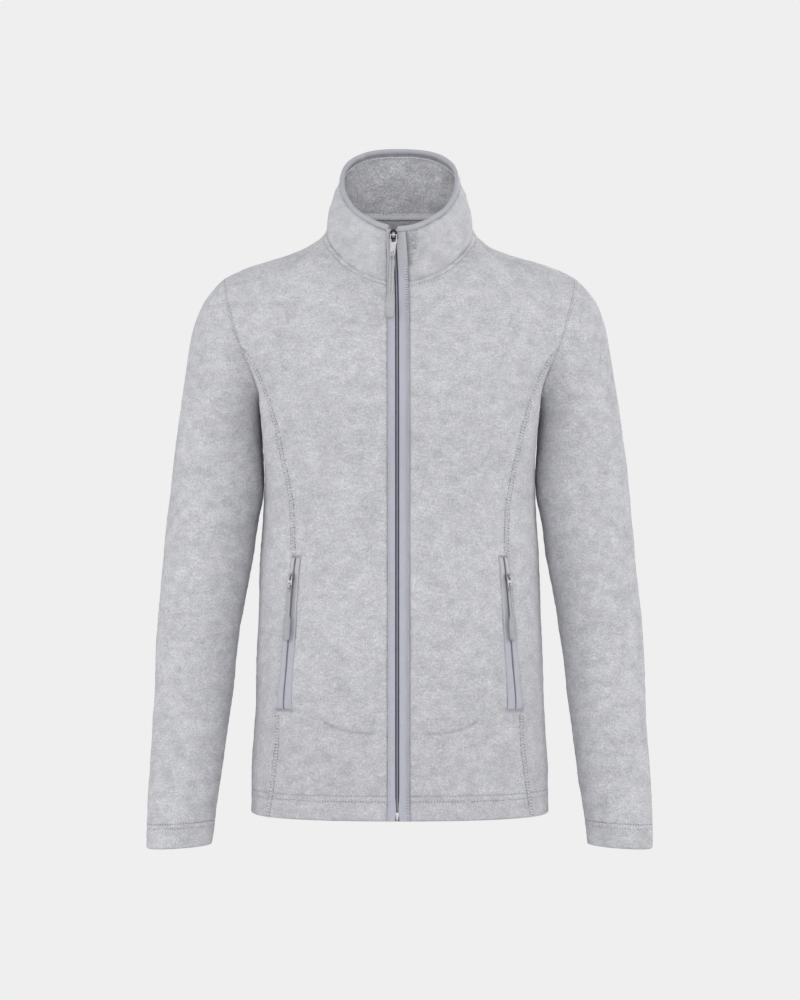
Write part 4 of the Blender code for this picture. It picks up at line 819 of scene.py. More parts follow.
# ----------------------------------------------------------------- folds
# Each fold: which face, its two ends and the point it bends towards (x and
# level on the body, or place round and station on a sleeve), its half width,
# its depth (below 0 for a ridge) and how long its ends take to fade.
FOLDS = (
    # the lower edge of each pocket bag, through the front
    ("front", (-90, -538), (-72, -559), (-23, -556.5), 1.9, 0.85, 9),
    ("front", (88, -540), (71, -560), (22, -557), 1.9, 0.80, 9),
    ("front", (-82, -552), (-50, -565), (-22, -562.5), 4.6, -0.45, 12),
    ("front", (80, -553), (50, -566), (21, -563.5), 4.6, -0.40, 12),
    # small pinches beside the upper ends of the princess seams
    ("front", (-124.4, -96), (-122.4, -104), (-121.0, -113), 1.3, 1.0, 3),
    ("front", (120.6, -95), (122.6, -103), (122.2, -112), 1.3, 0.9, 3),
    ("front", (-135.0, -126), (-131.4, -124), (-129.0, -118), 1.2, 0.75, 2),
    ("front", (-122.0, -126), (-119.0, -128), (-116.0, -124), 1.2, 0.7, 2),
    ("front", (129.0, -124), (126.4, -121), (125.2, -116), 1.2, 0.6, 2),
    # soft drags from the underarm over the chest
    ("front", (-158, -186), (-140, -200), (-106, -208), 6.5, 0.8, 18),
    ("front", (158, -188), (141, -203), (110, -213), 6.0, 0.7, 18),
    ("front", (-150, -212), (-132, -232), (-104, -246), 8.0, 0.6, 18),
    ("front", (151, -208), (134, -226), (100, -236), 7.5, 0.6, 18),
    # the waist, where the front eases in
    ("front", (-146, -300), (-118, -312), (-78, -308), 9.0, 0.6, 26),
    ("front", (147, -308), (116, -318), (82, -312), 8.5, 0.55, 26),
    ("front", (-60, -338), (-38, -346), (-16, -342), 8.0, 0.35, 18),
    ("front", (18, -330), (40, -340), (66, -336), 8.0, 0.35, 18),
    # below the pockets
    ("front", (-150, -566), (-128, -586), (-92, -592), 8.0, 0.45, 22),
    ("front", (150, -562), (126, -584), (94, -588), 8.0, 0.45, 22),
    # the upper chest below the neck
    ("front", (-62, -92), (-42, -108), (-20, -112), 6.0, 0.45, 14),
    ("front", (60, -90), (42, -106), (18, -112), 6.0, 0.4, 14),
    # the back: blades, waist and seat
    ("back", (-150, -176), (-118, -214), (-78, -236), 9.0, 2.6, 30),
    ("back", (152, -180), (122, -210), (70, -246), 9.5, 2.3, 30),
    ("back", (-146, -206), (-112, -240), (-80, -254), 8.0, 1.6, 26),
    ("back", (148, -214), (118, -240), (92, -248), 7.5, 1.3, 24),
    ("back", (-118, -108), (-98, -150), (-100, -196), 9.0, 1.4, 28),
    ("back", (116, -104), (98, -146), (96, -186), 8.5, 1.6, 26),
    ("back", (-128, -318), (-60, -342), (14, -332), 9.0, 2.3, 38),
    ("back", (118, -330), (58, -350), (-24, -346), 8.5, 2.0, 36),
    ("back", (-136, -346), (-96, -364), (-40, -362), 7.5, 1.9, 30),
    ("back", (134, -360), (94, -378), (44, -374), 8.0, 1.8, 30),
    ("back", (-44, -380), (-4, -390), (44, -382), 8.0, 1.4, 26),
    ("back", (-130, -376), (-108, -388), (-80, -388), 7.0, 1.1, 20),
    ("back", (-58, -34), (-30, -50), (4, -52), 6.5, 1.0, 20),
    ("back", (54, -40), (34, -56), (4, -60), 6.5, 0.8, 20),
    ("back", (-96, -540), (-88, -604), (-98, -650), 9.0, 1.2, 28),
    ("back", (66, -530), (70, -596), (60, -646), 9.5, 1.2, 28),
    ("back", (-14, -560), (-20, -610), (-12, -655), 9.0, 0.8, 28),
    # the sleeves: front of the elbow, behind it, underarm and cuff
    ("sleeve_r", (0.44, 9.2), (0.34, 9.9), (0.24, 9.7), 7.0, 0.8, 20),
    ("sleeve_r", (0.45, 10.6), (0.35, 11.1), (0.26, 11.2), 6.5, 0.7, 18),
    ("sleeve_r", (0.42, 12.2), (0.33, 12.5), (0.24, 12.4), 6.0, 0.5, 16),
    ("sleeve_r", (0.43, 4.4), (0.36, 5.6), (0.27, 6.2), 7.5, 0.7, 20),
    ("sleeve_r", (0.54, 9.2), (0.66, 10.5), (0.84, 10.2), 7.5, 2.6, 26),
    ("sleeve_r", (0.53, 10.9), (0.65, 11.9), (0.80, 12.0), 7.0, 2.2, 24),
    ("sleeve_r", (0.55, 12.8), (0.64, 13.3), (0.76, 13.2), 6.5, 1.3, 20),
    ("sleeve_r", (0.56, 4.0), (0.66, 5.4), (0.80, 6.2), 8.0, 2.2, 24),
    ("sleeve_r", (0.58, 6.4), (0.67, 7.4), (0.76, 7.7), 7.5, 1.4, 22),
    ("sleeve_l", (0.45, 9.5), (0.36, 10.1), (0.26, 10.0), 7.0, 0.75, 20),
    ("sleeve_l", (0.44, 11.0), (0.35, 11.5), (0.26, 11.4), 6.5, 0.7, 18),
    ("sleeve_l", (0.42, 12.6), (0.33, 13.0), (0.25, 12.7), 6.0, 0.5, 16),
    ("sleeve_l", (0.44, 4.7), (0.37, 5.8), (0.28, 6.6), 7.5, 0.7, 20),
    ("sleeve_l", (0.55, 8.9), (0.68, 10.0), (0.85, 9.8), 7.5, 2.4, 26),
    ("sleeve_l", (0.53, 10.6), (0.66, 11.4), (0.79, 11.8), 7.0, 2.3, 24),
    ("sleeve_l", (0.55, 12.4), (0.65, 13.0), (0.74, 13.1), 6.5, 1.2, 20),
    ("sleeve_l", (0.55, 4.4), (0.66, 5.6), (0.80, 6.6), 8.0, 2.0, 24),
    ("sleeve_l", (0.57, 6.8), (0.66, 7.6), (0.77, 7.8), 7.5, 1.2, 22),
)


def fold_line(face, a, b, c):
    t = np.linspace(0, 1, 33)[:, None]
    path = (1 - t) ** 2 * np.array(a, float) + 2 * t * (1 - t) * np.array(b, float) + t**2 * np.array(c, float)
    if face == "front":
        line = front_at(path[:, 0], path[:, 1])
    elif face == "back":
        line = back_at(path[:, 0], path[:, 1])
    else:
        line = sleeve(path[:, 0], path[:, 1])
        line[:, 0] *= -1 if face == "sleeve_r" else 1
    return line


def folds_on(points, faces):
    """How far the folds sink the cloth at each point, and how much painted shade
    darkens their creases: a sharp pinch gets much, a soft fold hardly any."""
    sink, crease_shade = np.zeros(points.shape[:-1]), np.zeros(points.shape[:-1])
    flat, total, sharp = points.reshape(-1, 3), sink.reshape(-1), crease_shade.reshape(-1)
    for face, a, b, c, wide, deep, fade in FOLDS:
        if face not in faces:
            continue
        line = fold_line(face, a, b, c)
        reach = 4 * wide
        inside = np.all((flat > line.min(0) - reach) & (flat < line.max(0) + reach), axis=1)
        if not inside.any():
            continue
        gap, at = near(flat[inside], line)
        length = run_of(line)[-1]
        ends = np.clip(at / fade, 0, 1) * np.clip((length - at) / fade, 0, 1)
        ends = ends * ends * (3 - 2 * ends)
        shape = np.exp(-((gap / wide) ** 2)) - 0.28 * np.exp(-(((gap - 2.0 * wide) / wide) ** 2))
        total[inside] += deep * ends * shape
        sharp[inside] += max(deep, 0) * ends * bell(gap, 0, 0.8 * wide) * (0.75 if wide < 3 else 0.10)
    return total.reshape(sink.shape), sharp.reshape(sink.shape)


RISE = 0.8      # the cloth stands this much over the seam lines
SINK = 0.5      # and the seam lines this much under the form


def lumps(points, quiet):
    """The fleece's own unevenness; quiet is 0 at the seams where it stays flat."""
    return quiet * (
        0.12 * waves(points, 7.0, 11) + 0.13 * waves(points, 24.0, 12) + 0.30 * waves(points, 85.0, 13)
    )


def uneven(at, seed):
    """Share of a groove's depth along a seam."""
    line = np.stack([at, np.zeros_like(at), np.zeros_like(at)], axis=-1)
    return 1 + 0.22 * waves(line, 22.0, seed) + 0.12 * waves(line, 7.0, seed + 1)


# ------------------------------------------------------------ mesh making
def look(name, colour, rough, metal=0.0, sheen=0.0, coat=0.0, specular=0.5):
    made = bpy.data.materials.new(name)
    made.use_nodes = True
    shader = made.node_tree.nodes["Principled BSDF"]
    shader.inputs["Base Color"].default_value = (*colour, 1.0)
    shader.inputs["Roughness"].default_value = rough
    shader.inputs["Metallic"].default_value = metal
    shader.inputs["Specular IOR Level"].default_value = specular
    if sheen:
        shader.inputs["Sheen Weight"].default_value = sheen
        shader.inputs["Sheen Roughness"].default_value = 0.6
    if coat:
        shader.inputs["Coat Weight"].default_value = coat
        shader.inputs["Coat Roughness"].default_value = 0.25
    return made


class Tree:
    """Short ways to build a material's nodes."""

    def __init__(self, made):
        self.nodes, self.links = made.node_tree.nodes, made.node_tree.links
        self.shader = self.nodes["Principled BSDF"]
        self.coords = self.nodes.new("ShaderNodeTexCoord").outputs["Object"]

    def noise(self, scale, detail=2.0, rough=0.5, stretch=(1.0, 1.0, 1.0)):
        mapping = self.nodes.new("ShaderNodeMapping")
        mapping.inputs["Scale"].default_value = stretch
        self.links.new(self.coords, mapping.inputs["Vector"])
        made = self.nodes.new("ShaderNodeTexNoise")
        made.inputs["Scale"].default_value = scale
        made.inputs["Detail"].default_value = detail
        made.inputs["Roughness"].default_value = rough
        self.links.new(mapping.outputs["Vector"], made.inputs["Vector"])
        return made.outputs["Fac"]

    def ramp(self, source, stops):
        made = self.nodes.new("ShaderNodeValToRGB")
        ramp = made.color_ramp
        while len(ramp.elements) < len(stops):
            ramp.elements.new(0.5)
        for element, (place, colour) in zip(ramp.elements, stops):
            element.position = place
            element.color = (*colour, 1.0)
        self.links.new(source, made.inputs["Fac"])
        return made.outputs["Color"]

    def mix(self, kind, a, b, share=1.0):
        made = self.nodes.new("ShaderNodeMix")
        made.data_type = "RGBA"
        made.blend_type = kind
        made.inputs[0].default_value = share
        self.links.new(a, made.inputs[6])
        self.links.new(b, made.inputs[7])
        return made.outputs[2]

    def maths(self, kind, a, b):
        made = self.nodes.new("ShaderNodeMath")
        made.operation = kind
        for socket, value in zip(made.inputs, (a, b)):
            if isinstance(value, (int, float)):
                socket.default_value = value
            else:
                self.links.new(value, socket)
        return made.outputs[0]

    def bump(self, source, distance, strength=1.0):
        made = self.nodes.new("ShaderNodeBump")
        made.inputs["Strength"].default_value = strength
        made.inputs["Distance"].default_value = distance
        self.links.new(source, made.inputs["Height"])
        self.links.new(made.outputs["Normal"], self.shader.inputs["Normal"])

    def read(self, name):
        """A value that a piece's mesh carries at each point."""
        made = self.nodes.new("ShaderNodeAttribute")
        made.attribute_name = name
        return made.outputs["Fac"]

    def level(self, low, high):
        """0 under one height and 1 over another, in metres."""
        apart = self.nodes.new("ShaderNodeSeparateXYZ")
        self.links.new(self.coords, apart.inputs[0])
        made = self.nodes.new("ShaderNodeMapRange")
        made.inputs["From Min"].default_value = low
        made.inputs["From Max"].default_value = high
        self.links.new(apart.outputs["Z"], made.inputs["Value"])
        return made.outputs[0]

    def shaded(self, colour, value, deep):
        """The colour, darkened towards the given tone where the value is high."""
        made = self.nodes.new("ShaderNodeMix")
        made.data_type = "RGBA"
        made.blend_type = "MULTIPLY"
        self.links.new(value, made.inputs[0])
        self.links.new(colour, made.inputs[6])
        made.inputs[7].default_value = (*deep, 1.0)
        return made.outputs[2]

    def colour(self, source):
        self.links.new(source, self.shader.inputs["Base Color"])

    def rough(self, source, low, high):
        made = self.nodes.new("ShaderNodeMapRange")
        made.inputs["To Min"].default_value = low
        made.inputs["To Max"].default_value = high
        self.links.new(source, made.inputs["Value"])
        self.links.new(made.outputs["Result"], self.shader.inputs["Roughness"])


def grey(*values):
    return [tuple(v) if isinstance(v, (tuple, list)) else (v, v, v) for v in values]


def tinted(base, *shares):
    return [tuple(c * s for c in base) for s in shares]


FLEECE_BASE = (0.590, 0.591, 0.618)
BINDING_BASE = (0.476, 0.484, 0.550)


def fleece_look(name, shade=1.0, nap=1.0, mottle=1.0, grain=1.0, low=None):
    """Brushed heather fleece: a salt and pepper of short fibres in soft clouds,
    darkened by painted shade at seams, folds and edges (where the pile is also pressed down) and, given low, by painted
    shade towards the bottom."""
    base = tuple(c * shade for c in FLEECE_BASE)
    made = look(name, base, 0.97, sheen=0.10, specular=0.2)
    t = Tree(made)
    fine = t.noise(700.0, 4.0, 0.74, (0.82, 0.82, 1.0))
    fibre = t.noise(300.0, 4.0, 0.70, (0.50, 0.50, 1.30))
    clouds = t.noise(82.0, 4.0, 0.62, (0.70, 0.70, 1.0))
    wide = t.noise(24.0, 2.0, 0.5)
    hue = t.noise(140.0, 3.0, 0.6, (0.8, 0.8, 1.0))
    speck = t.noise(1250.0, 2.0, 0.6)
    m, g = 0.122 * mottle, 1.13 * grain
    ground = t.ramp(fine, [(0.26, tinted(base, 1 - 0.31 * g)[0]), (0.42, tinted(base, 1 - 0.10 * g)[0]), (0.54, tinted(base, 1 + 0.02 * g)[0]), (0.74, tinted(base, 1 + 0.36 * g)[0])])
    strands = t.ramp(fibre, [(0.28, grey(1 - 0.10 * g)[0]), (0.5, grey(1.0)[0]), (0.74, grey(1 + 0.10 * g)[0])])
    patches = t.ramp(clouds, [(0.30, grey(1 - m)[0]), (0.5, grey(1.0)[0]), (0.70, grey(1 + 0.9 * m)[0])])
    shades = t.ramp(wide, [(0.3, grey(0.975)[0]), (0.7, grey(1.025)[0])])
    tint = t.ramp(hue, [(0.28, (0.975, 1.006, 0.972)), (0.5, (1.0, 1.0, 1.0)), (0.72, (1.012, 0.988, 1.026))])
    specks = t.ramp(speck, [(0.25, grey(1 - 0.14 * g)[0]), (0.5, grey(1.0)[0]), (0.78, grey(1 + 0.12 * g)[0])])
    colour = t.mix("MULTIPLY", ground, strands)
    colour = t.mix("MULTIPLY", colour, patches)
    colour = t.mix("MULTIPLY", colour, shades)
    colour = t.mix("MULTIPLY", colour, tint)
    colour = t.mix("MULTIPLY", colour, specks)
    # painted shade: the colour darkened towards low's tone between low's two heights, darkest at the lower one
    if low:
        colour = t.shaded(colour, t.level(low[0], low[1]), low[2])
    # painted shade: darkened where the mesh's pressed value is high, broken up by the specks
    pressed = t.maths("MULTIPLY", t.read("pressed"), t.maths("ADD", t.maths("MULTIPLY", speck, 1.1), 0.45))
    t.colour(t.shaded(colour, pressed, (0.60, 0.60, 0.615)))
    height = t.maths("ADD", fine, t.maths("MULTIPLY", clouds, 1.2))
    height = t.maths("ADD", height, t.maths("MULTIPLY", fibre, 0.8))
    t.bump(height, 0.00055 * nap, 0.85)
    return made


def smooth_cloth(name, base, rib, depth=0.00006, rough=0.62, spread=0.06, top=None, deep=(0.52, 0.52, 0.56)):
    """A close knit or woven band: fine even ribs and a little unevenness."""
    made = look(name, base, rough, sheen=0.08, specular=0.35)
    t = Tree(made)
    weave = t.noise(2600.0, 1.0, 0.5, rib)
    soft = t.noise(120.0, 2.0, 0.5)
    ground = t.ramp(weave, [(0.3, tinted(base, 1 - spread)[0]), (0.7, tinted(base, 1 + spread)[0])])
    shade = t.ramp(soft, [(0.3, (0.965, 0.965, 0.955)), (0.7, (1.03, 1.025, 1.035))])
    colour = t.mix("MULTIPLY", ground, shade)
    if top:
        colour = t.shaded(colour, t.level(top[0], top[1]), top[2])
    # darkened towards deep by the points' pressed value: painted shade on the bands, the slate part on the zip tape
    t.colour(t.shaded(colour, t.read("pressed"), deep))
    t.bump(weave, depth, 0.6)
    return made


# the body's fleece: painted shade makes it a little darker from z -0.40 m down to -0.57 m and below
fleece = fleece_look("fleece_heather", low=(-0.40, -0.57, (0.945, 0.94, 0.945)))
fleece_sleeve = fleece_look("fleece_heather_sleeve", 1.0, mottle=1.15)
# inner faces: painted a little lighter than the outside, painted light against the shade inside the jacket
fleece_inside = fleece_look("fleece_heather_inside", 1.03)
fleece_collar = fleece_look("fleece_heather_collar", 0.985, grain=0.62)
fleece_collar_inside = fleece_look("fleece_heather_collar_inside", 0.97, mottle=1.6, grain=1.6)
binding = smooth_cloth("binding_lilac", BINDING_BASE, (1.0, 1.0, 0.12))
zip_band = smooth_cloth("zip_binding_lilac", BINDING_BASE, (1.0, 1.0, 0.12), top=(NECK_FRONT_Z * MM + 0.002, NECK_FRONT_Z * MM + 0.026, (1.03, 1.015, 0.955)))
# pocket edges lighter and greyer towards their tops; on the front edge this is painted light over the shade the pocket
# pull casts
front_welt_cloth = smooth_cloth("pocket_front_edge_lilac", BINDING_BASE, (1.0, 1.0, 0.12), top=(-0.462, -0.405, (1.10, 1.08, 1.01)))
welt_cloth = smooth_cloth("pocket_edge_lilac", tuple(c * k for c, k in zip(BINDING_BASE, (1.02, 1.015, 0.99))), (1.0, 1.0, 0.12), top=(-0.462, -0.405, (1.12, 1.10, 1.01)))
rim_cloth = smooth_cloth("rim_binding_lilac", (0.462, 0.468, 0.510), (1.0, 1.0, 0.12))
neck_band = smooth_cloth("neck_tape_grey", (0.78, 0.785, 0.82), (0.2, 1.0, 1.0))
zip_tape = smooth_cloth("zip_tape_slate", (0.42, 0.425, 0.48), (0.3, 0.3, 1.0), spread=0.14, deep=(0.25, 0.255, 0.30))
bag_cloth = smooth_cloth("pocket_bag_knit", (0.42, 0.43, 0.49), (0.6, 0.6, 1.0), 0.0001)
coil = look("zip_coil_slate", (0.20, 0.205, 0.26), 0.42, specular=0.5)
t = Tree(coil)
tone = t.ramp(t.noise(900.0), [(0.3, (0.34, 0.345, 0.41)), (0.7, (0.46, 0.465, 0.54))])
# darker by the pressed value: the dark cords at the chain's sides and painted shade on the teeth's outer ends
t.colour(t.shaded(tone, t.read("pressed"), (0.17, 0.17, 0.20)))
t.rough(t.noise(500.0), 0.34, 0.52)
metal = look("slider_nickel", (0.36, 0.36, 0.37), 0.38, metal=1.0)
t = Tree(metal)
tone = t.ramp(t.noise(420.0, 3.0), [(0.3, (0.38, 0.38, 0.39)), (0.7, (0.52, 0.52, 0.53))])
# painted shade: near black where the slider's points lie under its bridge
t.colour(t.shaded(tone, t.read("pressed"), (0.05, 0.05, 0.055)))
t.rough(t.noise(700.0, 2.0), 0.36, 0.52)
t.bump(t.noise(1500.0), 0.00002, 0.5)
cord_look = look("pull_cord_grey", (0.45, 0.458, 0.47), 0.75, sheen=0.08, specular=0.3)
t = Tree(cord_look)
tone = t.ramp(t.noise(1300.0, 2.0), [(0.3, (0.375, 0.385, 0.395)), (0.7, (0.53, 0.54, 0.55))])
t.colour(t.shaded(tone, t.read("pressed"), (0.42, 0.42, 0.43)))
t.bump(t.noise(1800.0), 0.00008, 0.6)
def moulded(name, base):
    """The pulls' soft, slightly translucent plastic."""
    made = look(name, base, 0.42, specular=0.4)
    t = Tree(made)
    t.colour(t.ramp(t.noise(210.0, 2.0), [(0.3, tinted(base, 0.925)[0]), (0.7, tinted(base, 1.08)[0])]))
    t.rough(t.noise(300.0), 0.36, 0.52)
    t.shader.inputs["Subsurface Weight"].default_value = 0.35
    t.shader.inputs["Subsurface Radius"].default_value = (0.004, 0.004, 0.0036)
    return made


tab_look = moulded("pull_end_translucent", (0.44, 0.450, 0.455))
# the pocket pulls' ends: a darker copy of the same plastic, painted shade
pocket_tab_look = moulded("pocket_pull_end_translucent", (0.394, 0.402, 0.415))
white_plastic = look("retainer_white", (0.66, 0.66, 0.69), 0.5)
t = Tree(white_plastic)
t.colour(t.ramp(t.noise(500.0), [(0.3, (0.60, 0.60, 0.63)), (0.7, (0.72, 0.72, 0.75))]))
pale_thread = look("thread_pale", (0.82, 0.82, 0.85), 0.7, sheen=0.1, specular=0.3)
t = Tree(pale_thread)
t.colour(t.ramp(t.noise(1600.0, 2.0), [(0.3, (0.74, 0.74, 0.77)), (0.7, (0.90, 0.90, 0.92))]))
thread = look("thread_grey", (0.56, 0.56, 0.60), 0.7, sheen=0.1, specular=0.3)
t = Tree(thread)
t.colour(t.ramp(t.noise(1600.0, 2.0), [(0.3, (0.45, 0.45, 0.49)), (0.7, (0.66, 0.66, 0.70))]))
# dark discs between stitches: painted shadow of the needle dimples
hole = look("painted_needle_shadow", (0.15, 0.15, 0.165), 0.95, specular=0.1)
t = Tree(hole)
t.colour(t.ramp(t.noise(900.0), [(0.3, (0.11, 0.11, 0.125)), (0.7, (0.21, 0.21, 0.23))]))


def made_piece(name, points, faces, looks, body="jacket", slot="fleece", which=None, smooth=None, replaces=(), pressed=None):
    """One mesh piece from points in millimetres; it rides on a CAD body."""
    mesh = bpy.data.meshes.new(name)
    mesh.from_pydata((np.asarray(points).reshape(-1, 3) * MM).tolist(), [], faces)
    obj = bpy.data.objects.new(name, mesh)
    bpy.context.scene.collection.objects.link(obj)
    for material in looks if isinstance(looks, (list, tuple)) else [looks]:
        mesh.materials.append(material)
    if which is not None:
        mesh.polygons.foreach_set("material_index", np.asarray(which, dtype=np.int32))
    mesh.shade_smooth()
    if smooth:
        mesh.set_sharp_from_angle(angle=math.radians(smooth))
    held = mesh.attributes.new("pressed", "FLOAT", "POINT")
    if pressed is not None:
        held.data.foreach_set("value", np.clip(pressed, 0, 1).astype(np.float32).ravel())
    mesh.update()
    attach(obj, body)
    if replaces:
        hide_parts(*replaces)
    return obj


class Heap:
    """Many small shapes gathered into one mesh."""

    def __init__(self):
        self.points, self.faces, self.which, self.count = [], [], [], 0

    def add(self, points, faces, which=0):
        points = np.asarray(points, float).reshape(-1, 3)
        self.points.append(points)
        self.faces += (np.asarray(faces) + self.count).tolist() if len({len(f) for f in faces}) == 1 else [
            [i + self.count for i in f] for f in faces
        ]
        self.which += [which] * len(faces)
        self.count += len(points)

    def copies(self, shape, faces, centre, along, across, out, which=0):
        """The same small shape (x along, y across, z out) at many places."""
        n = len(centre)
        if n == 0:
            return
        shape = np.asarray(shape, float)
        points = (
            centre[:, None]
            + along[:, None] * shape[None, :, 0:1]
            + across[:, None] * shape[None, :, 1:2]
            + out[:, None] * shape[None, :, 2:3]
        )
        self.points.append(points.reshape(-1, 3))
        shift = self.count + np.arange(n)[:, None] * len(shape)
        for size in {len(f) for f in faces}:
            block = np.array([f for f in faces if len(f) == size])
            self.faces += (block[None] + shift[..., None]).reshape(-1, size).tolist()
            self.which += [which] * (n * len(block))
        self.count += n * len(shape)

    def piece(self, name, looks, **rest):
        return made_piece(name, np.concatenate(self.points), self.faces, looks, which=self.which, **rest)


def grid_faces(n, m, start=0, wrap=False, flip=False):
    i, j = np.meshgrid(np.arange(n if wrap else n - 1), np.arange(m - 1), indexing="ij")
    i, j = i.ravel(), j.ravel()
    k = (i + 1) % n
    quads = np.stack([i * m + j, k * m + j, k * m + j + 1, i * m + j + 1], axis=-1) + start
    return (quads[:, ::-1] if flip else quads).tolist()


def cloth(name, outer, inner, looks, pressed=None, painted_inside_shade=None, **rest):
    """A closed cloth wall. Its inner face has half as many rows and columns."""
    inner = inner[::2, ::2]
    n, m = outer.shape[:2]
    a, b = inner.shape[:2]
    base = n * m
    normal = np.cross(outer[1:, :-1] - outer[:-1, :-1], outer[:-1, 1:] - outer[:-1, :-1])
    faces = grid_faces(n, m) + grid_faces(a, b, base, flip=True)

    def o(i, j):
        return i * m + j

    def q(i, j):
        return base + i * b + j

    for j in range(0, m - 1, 2):
        faces.append([o(0, j), o(0, j + 1), o(0, j + 2), q(0, j // 2 + 1), q(0, j // 2)])
        faces.append([o(n - 1, j + 2), o(n - 1, j + 1), o(n - 1, j), q(a - 1, j // 2), q(a - 1, j // 2 + 1)])
    for i in range(0, n - 1, 2):
        faces.append([o(i + 2, 0), o(i + 1, 0), o(i, 0), q(i // 2, 0), q(i // 2 + 1, 0)])
        faces.append([o(i, m - 1), o(i + 1, m - 1), o(i + 2, m - 1), q(i // 2 + 1, b - 1), q(i // 2, b - 1)])
    away = np.sum(normal * (outer[:-1, :-1] - outer_to_inner(outer, inner)), axis=-1).sum()
    if away < 0:
        faces = [f[::-1] for f in faces]
    count = grid_count(n, m)
    which = [0] * count + [1] * (len(faces) - count) if isinstance(looks, (list, tuple)) and len(looks) > 1 else None
    points = np.concatenate([outer.reshape(-1, 3), inner.reshape(-1, 3)])
    if pressed is not None:
        painted_inside_shade = np.zeros(inner.shape[:2]) if painted_inside_shade is None else painted_inside_shade[::2, ::2]
        pressed = np.concatenate([pressed.reshape(-1), painted_inside_shade.reshape(-1)])
    return made_piece(name, points, faces, looks, which=which, smooth=62, pressed=pressed, **rest)


def grid_count(n, m):
    return (n - 1) * (m - 1)


def outer_to_inner(outer, inner):
    """The inner face's points under the outer face's, for telling its side."""
    n, m = outer.shape[:2]
    i = np.minimum(np.arange(n - 1) // 2, inner.shape[0] - 1)
    j = np.minimum(np.arange(m - 1) // 2, inner.shape[1] - 1)
    return inner[i][:, j]


def hem_round(up, wall):
    """How far the outer face turns in close to a folded edge, up mm above it."""
    t = np.clip(1 - up / (wall / 2), 0, 1)
    return wall / 2 * (1 - np.sqrt(np.maximum(1 - t * t, 0)))


def trace(points, normals, gap, distance, axis, end, keep=None):
    """Where a row of stitches lies: at a distance from one of a grid's edges."""
    p, n, g = (np.moveaxis(a, axis, 0) for a in (points, normals, gap))
    if end:
        p, n, g = p[::-1], n[::-1], g[::-1]
    far = g >= distance
    k = np.clip(np.argmax(far, axis=0), 1, len(g) - 1)
    column = np.arange(g.shape[1])
    g0, g1 = g[k - 1, column], g[k, column]
    t = np.clip((distance - g0) / np.maximum(g1 - g0, 1e-6), 0, 1)[:, None]
    line = p[k - 1, column] * (1 - t) + p[k, column] * t
    face = unit(n[k - 1, column] * (1 - t) + n[k, column] * t)
    good = far.any(axis=0)
    if keep is not None:
        good = good & keep
    return line[good], face[good]


def bead(half, radius, sides=4):
    """A short thread: rounded ends, along x, lying a little into the cloth."""
    rings = ((-0.86, 0.62, -0.35), (-0.35, 1.0, 0.28), (0.35, 1.0, 0.28), (0.86, 0.62, -0.35))
    shape = [(-half, 0.0, -0.8 * radius)]
    for x, size, lift in rings:
        for s in range(sides):
            a = 2 * math.pi * s / sides
            shape.append((x * half, math.cos(a) * radius * size, math.sin(a) * radius * size + lift * radius))
    shape.append((half, 0.0, -0.8 * radius))
    faces = [[0, 1 + (s + 1) % sides, 1 + s] for s in range(sides)]
    for r in range(len(rings) - 1):
        for s in range(sides):
            a, b = 1 + r * sides + s, 1 + r * sides + (s + 1) % sides
            faces.append([a, b, b + sides, a + sides])
    last = 1 + len(rings) * sides
    faces += [[last, last - sides + s, last - sides + (s + 1) % sides] for s in range(sides)]
    return shape, faces


# a small flat disc, for the painted shadow of a needle dimple
DIMPLE_SHADOW_SHAPE = [(0.0, 0.0, 0.12)] + [
    (0.74 * math.cos(2 * math.pi * s / 7), 0.56 * math.sin(2 * math.pi * s / 7), 0.02) for s in range(7)
]
DIMPLE_SHADOW_FACES = [[0, 1 + s, 1 + (s + 1) % 7] for s in range(7)]
threads = Heap()


def stitches(line, face, pitch=3.0, half=1.05, radius=0.30, seed=1, holes=1.0, lift=0.0, heap=None, rungs_across=False, dimple_shadow_size=1.0, kind=0):
    """A row of stitches along a line on the cloth, or of short threads across it, with dark discs between them as
    painted shadow of the needle dimples.
    """
    heap = threads if heap is None else heap
    run = run_of(line)
    if run[-1] < 1.5 * pitch:
        return
    rng = np.random.default_rng(seed)
    n = int(run[-1] / pitch)
    places = (np.arange(n) + 0.5) * run[-1] / n + rng.uniform(-0.12, 0.12, n) * pitch
    centre = np.stack([np.interp(places, run, line[:, c]) for c in range(3)], axis=-1)
    ahead = np.stack([np.interp(places + 1, run, line[:, c]) for c in range(3)], axis=-1)
    back = np.stack([np.interp(places - 1, run, line[:, c]) for c in range(3)], axis=-1)
    out = unit(np.stack([np.interp(places, run, face[:, c]) for c in range(3)], axis=-1))
    along = unit(ahead - back)
    across = unit(np.cross(out, along))
    out = unit(np.cross(along, across))
    along = unit(along + across * rng.normal(0, 0.07, (n, 1)))
    if rungs_across:
        along, across = across, -along
    shape, faces = bead(half, radius)
    sunk = centre + out * (lift + rng.uniform(-0.14, 0.06, (n, 1)))
    heap.copies(shape, faces, sunk, along, across, out, kind)
    # painted shadow: dark discs in the dimples between the stitches
    if holes:
        step = run[-1] / n
        spot = places[:-1] + step / 2
        spot = spot[rng.uniform(0, 1, len(spot)) < holes]
        centre = np.stack([np.interp(spot, run, line[:, c]) for c in range(3)], axis=-1)
        out = unit(np.stack([np.interp(spot, run, face[:, c]) for c in range(3)], axis=-1))
        ahead = np.stack([np.interp(spot + 1, run, line[:, c]) for c in range(3)], axis=-1)
        along = unit(ahead - centre)
        across = unit(np.cross(out, along))
        size = rng.uniform(0.75, 1.15, (len(spot), 1)) * dimple_shadow_size
        heap.copies(DIMPLE_SHADOW_SHAPE, DIMPLE_SHADOW_FACES, centre + out * (lift + 0.02), along * size, across * size, out, 1)


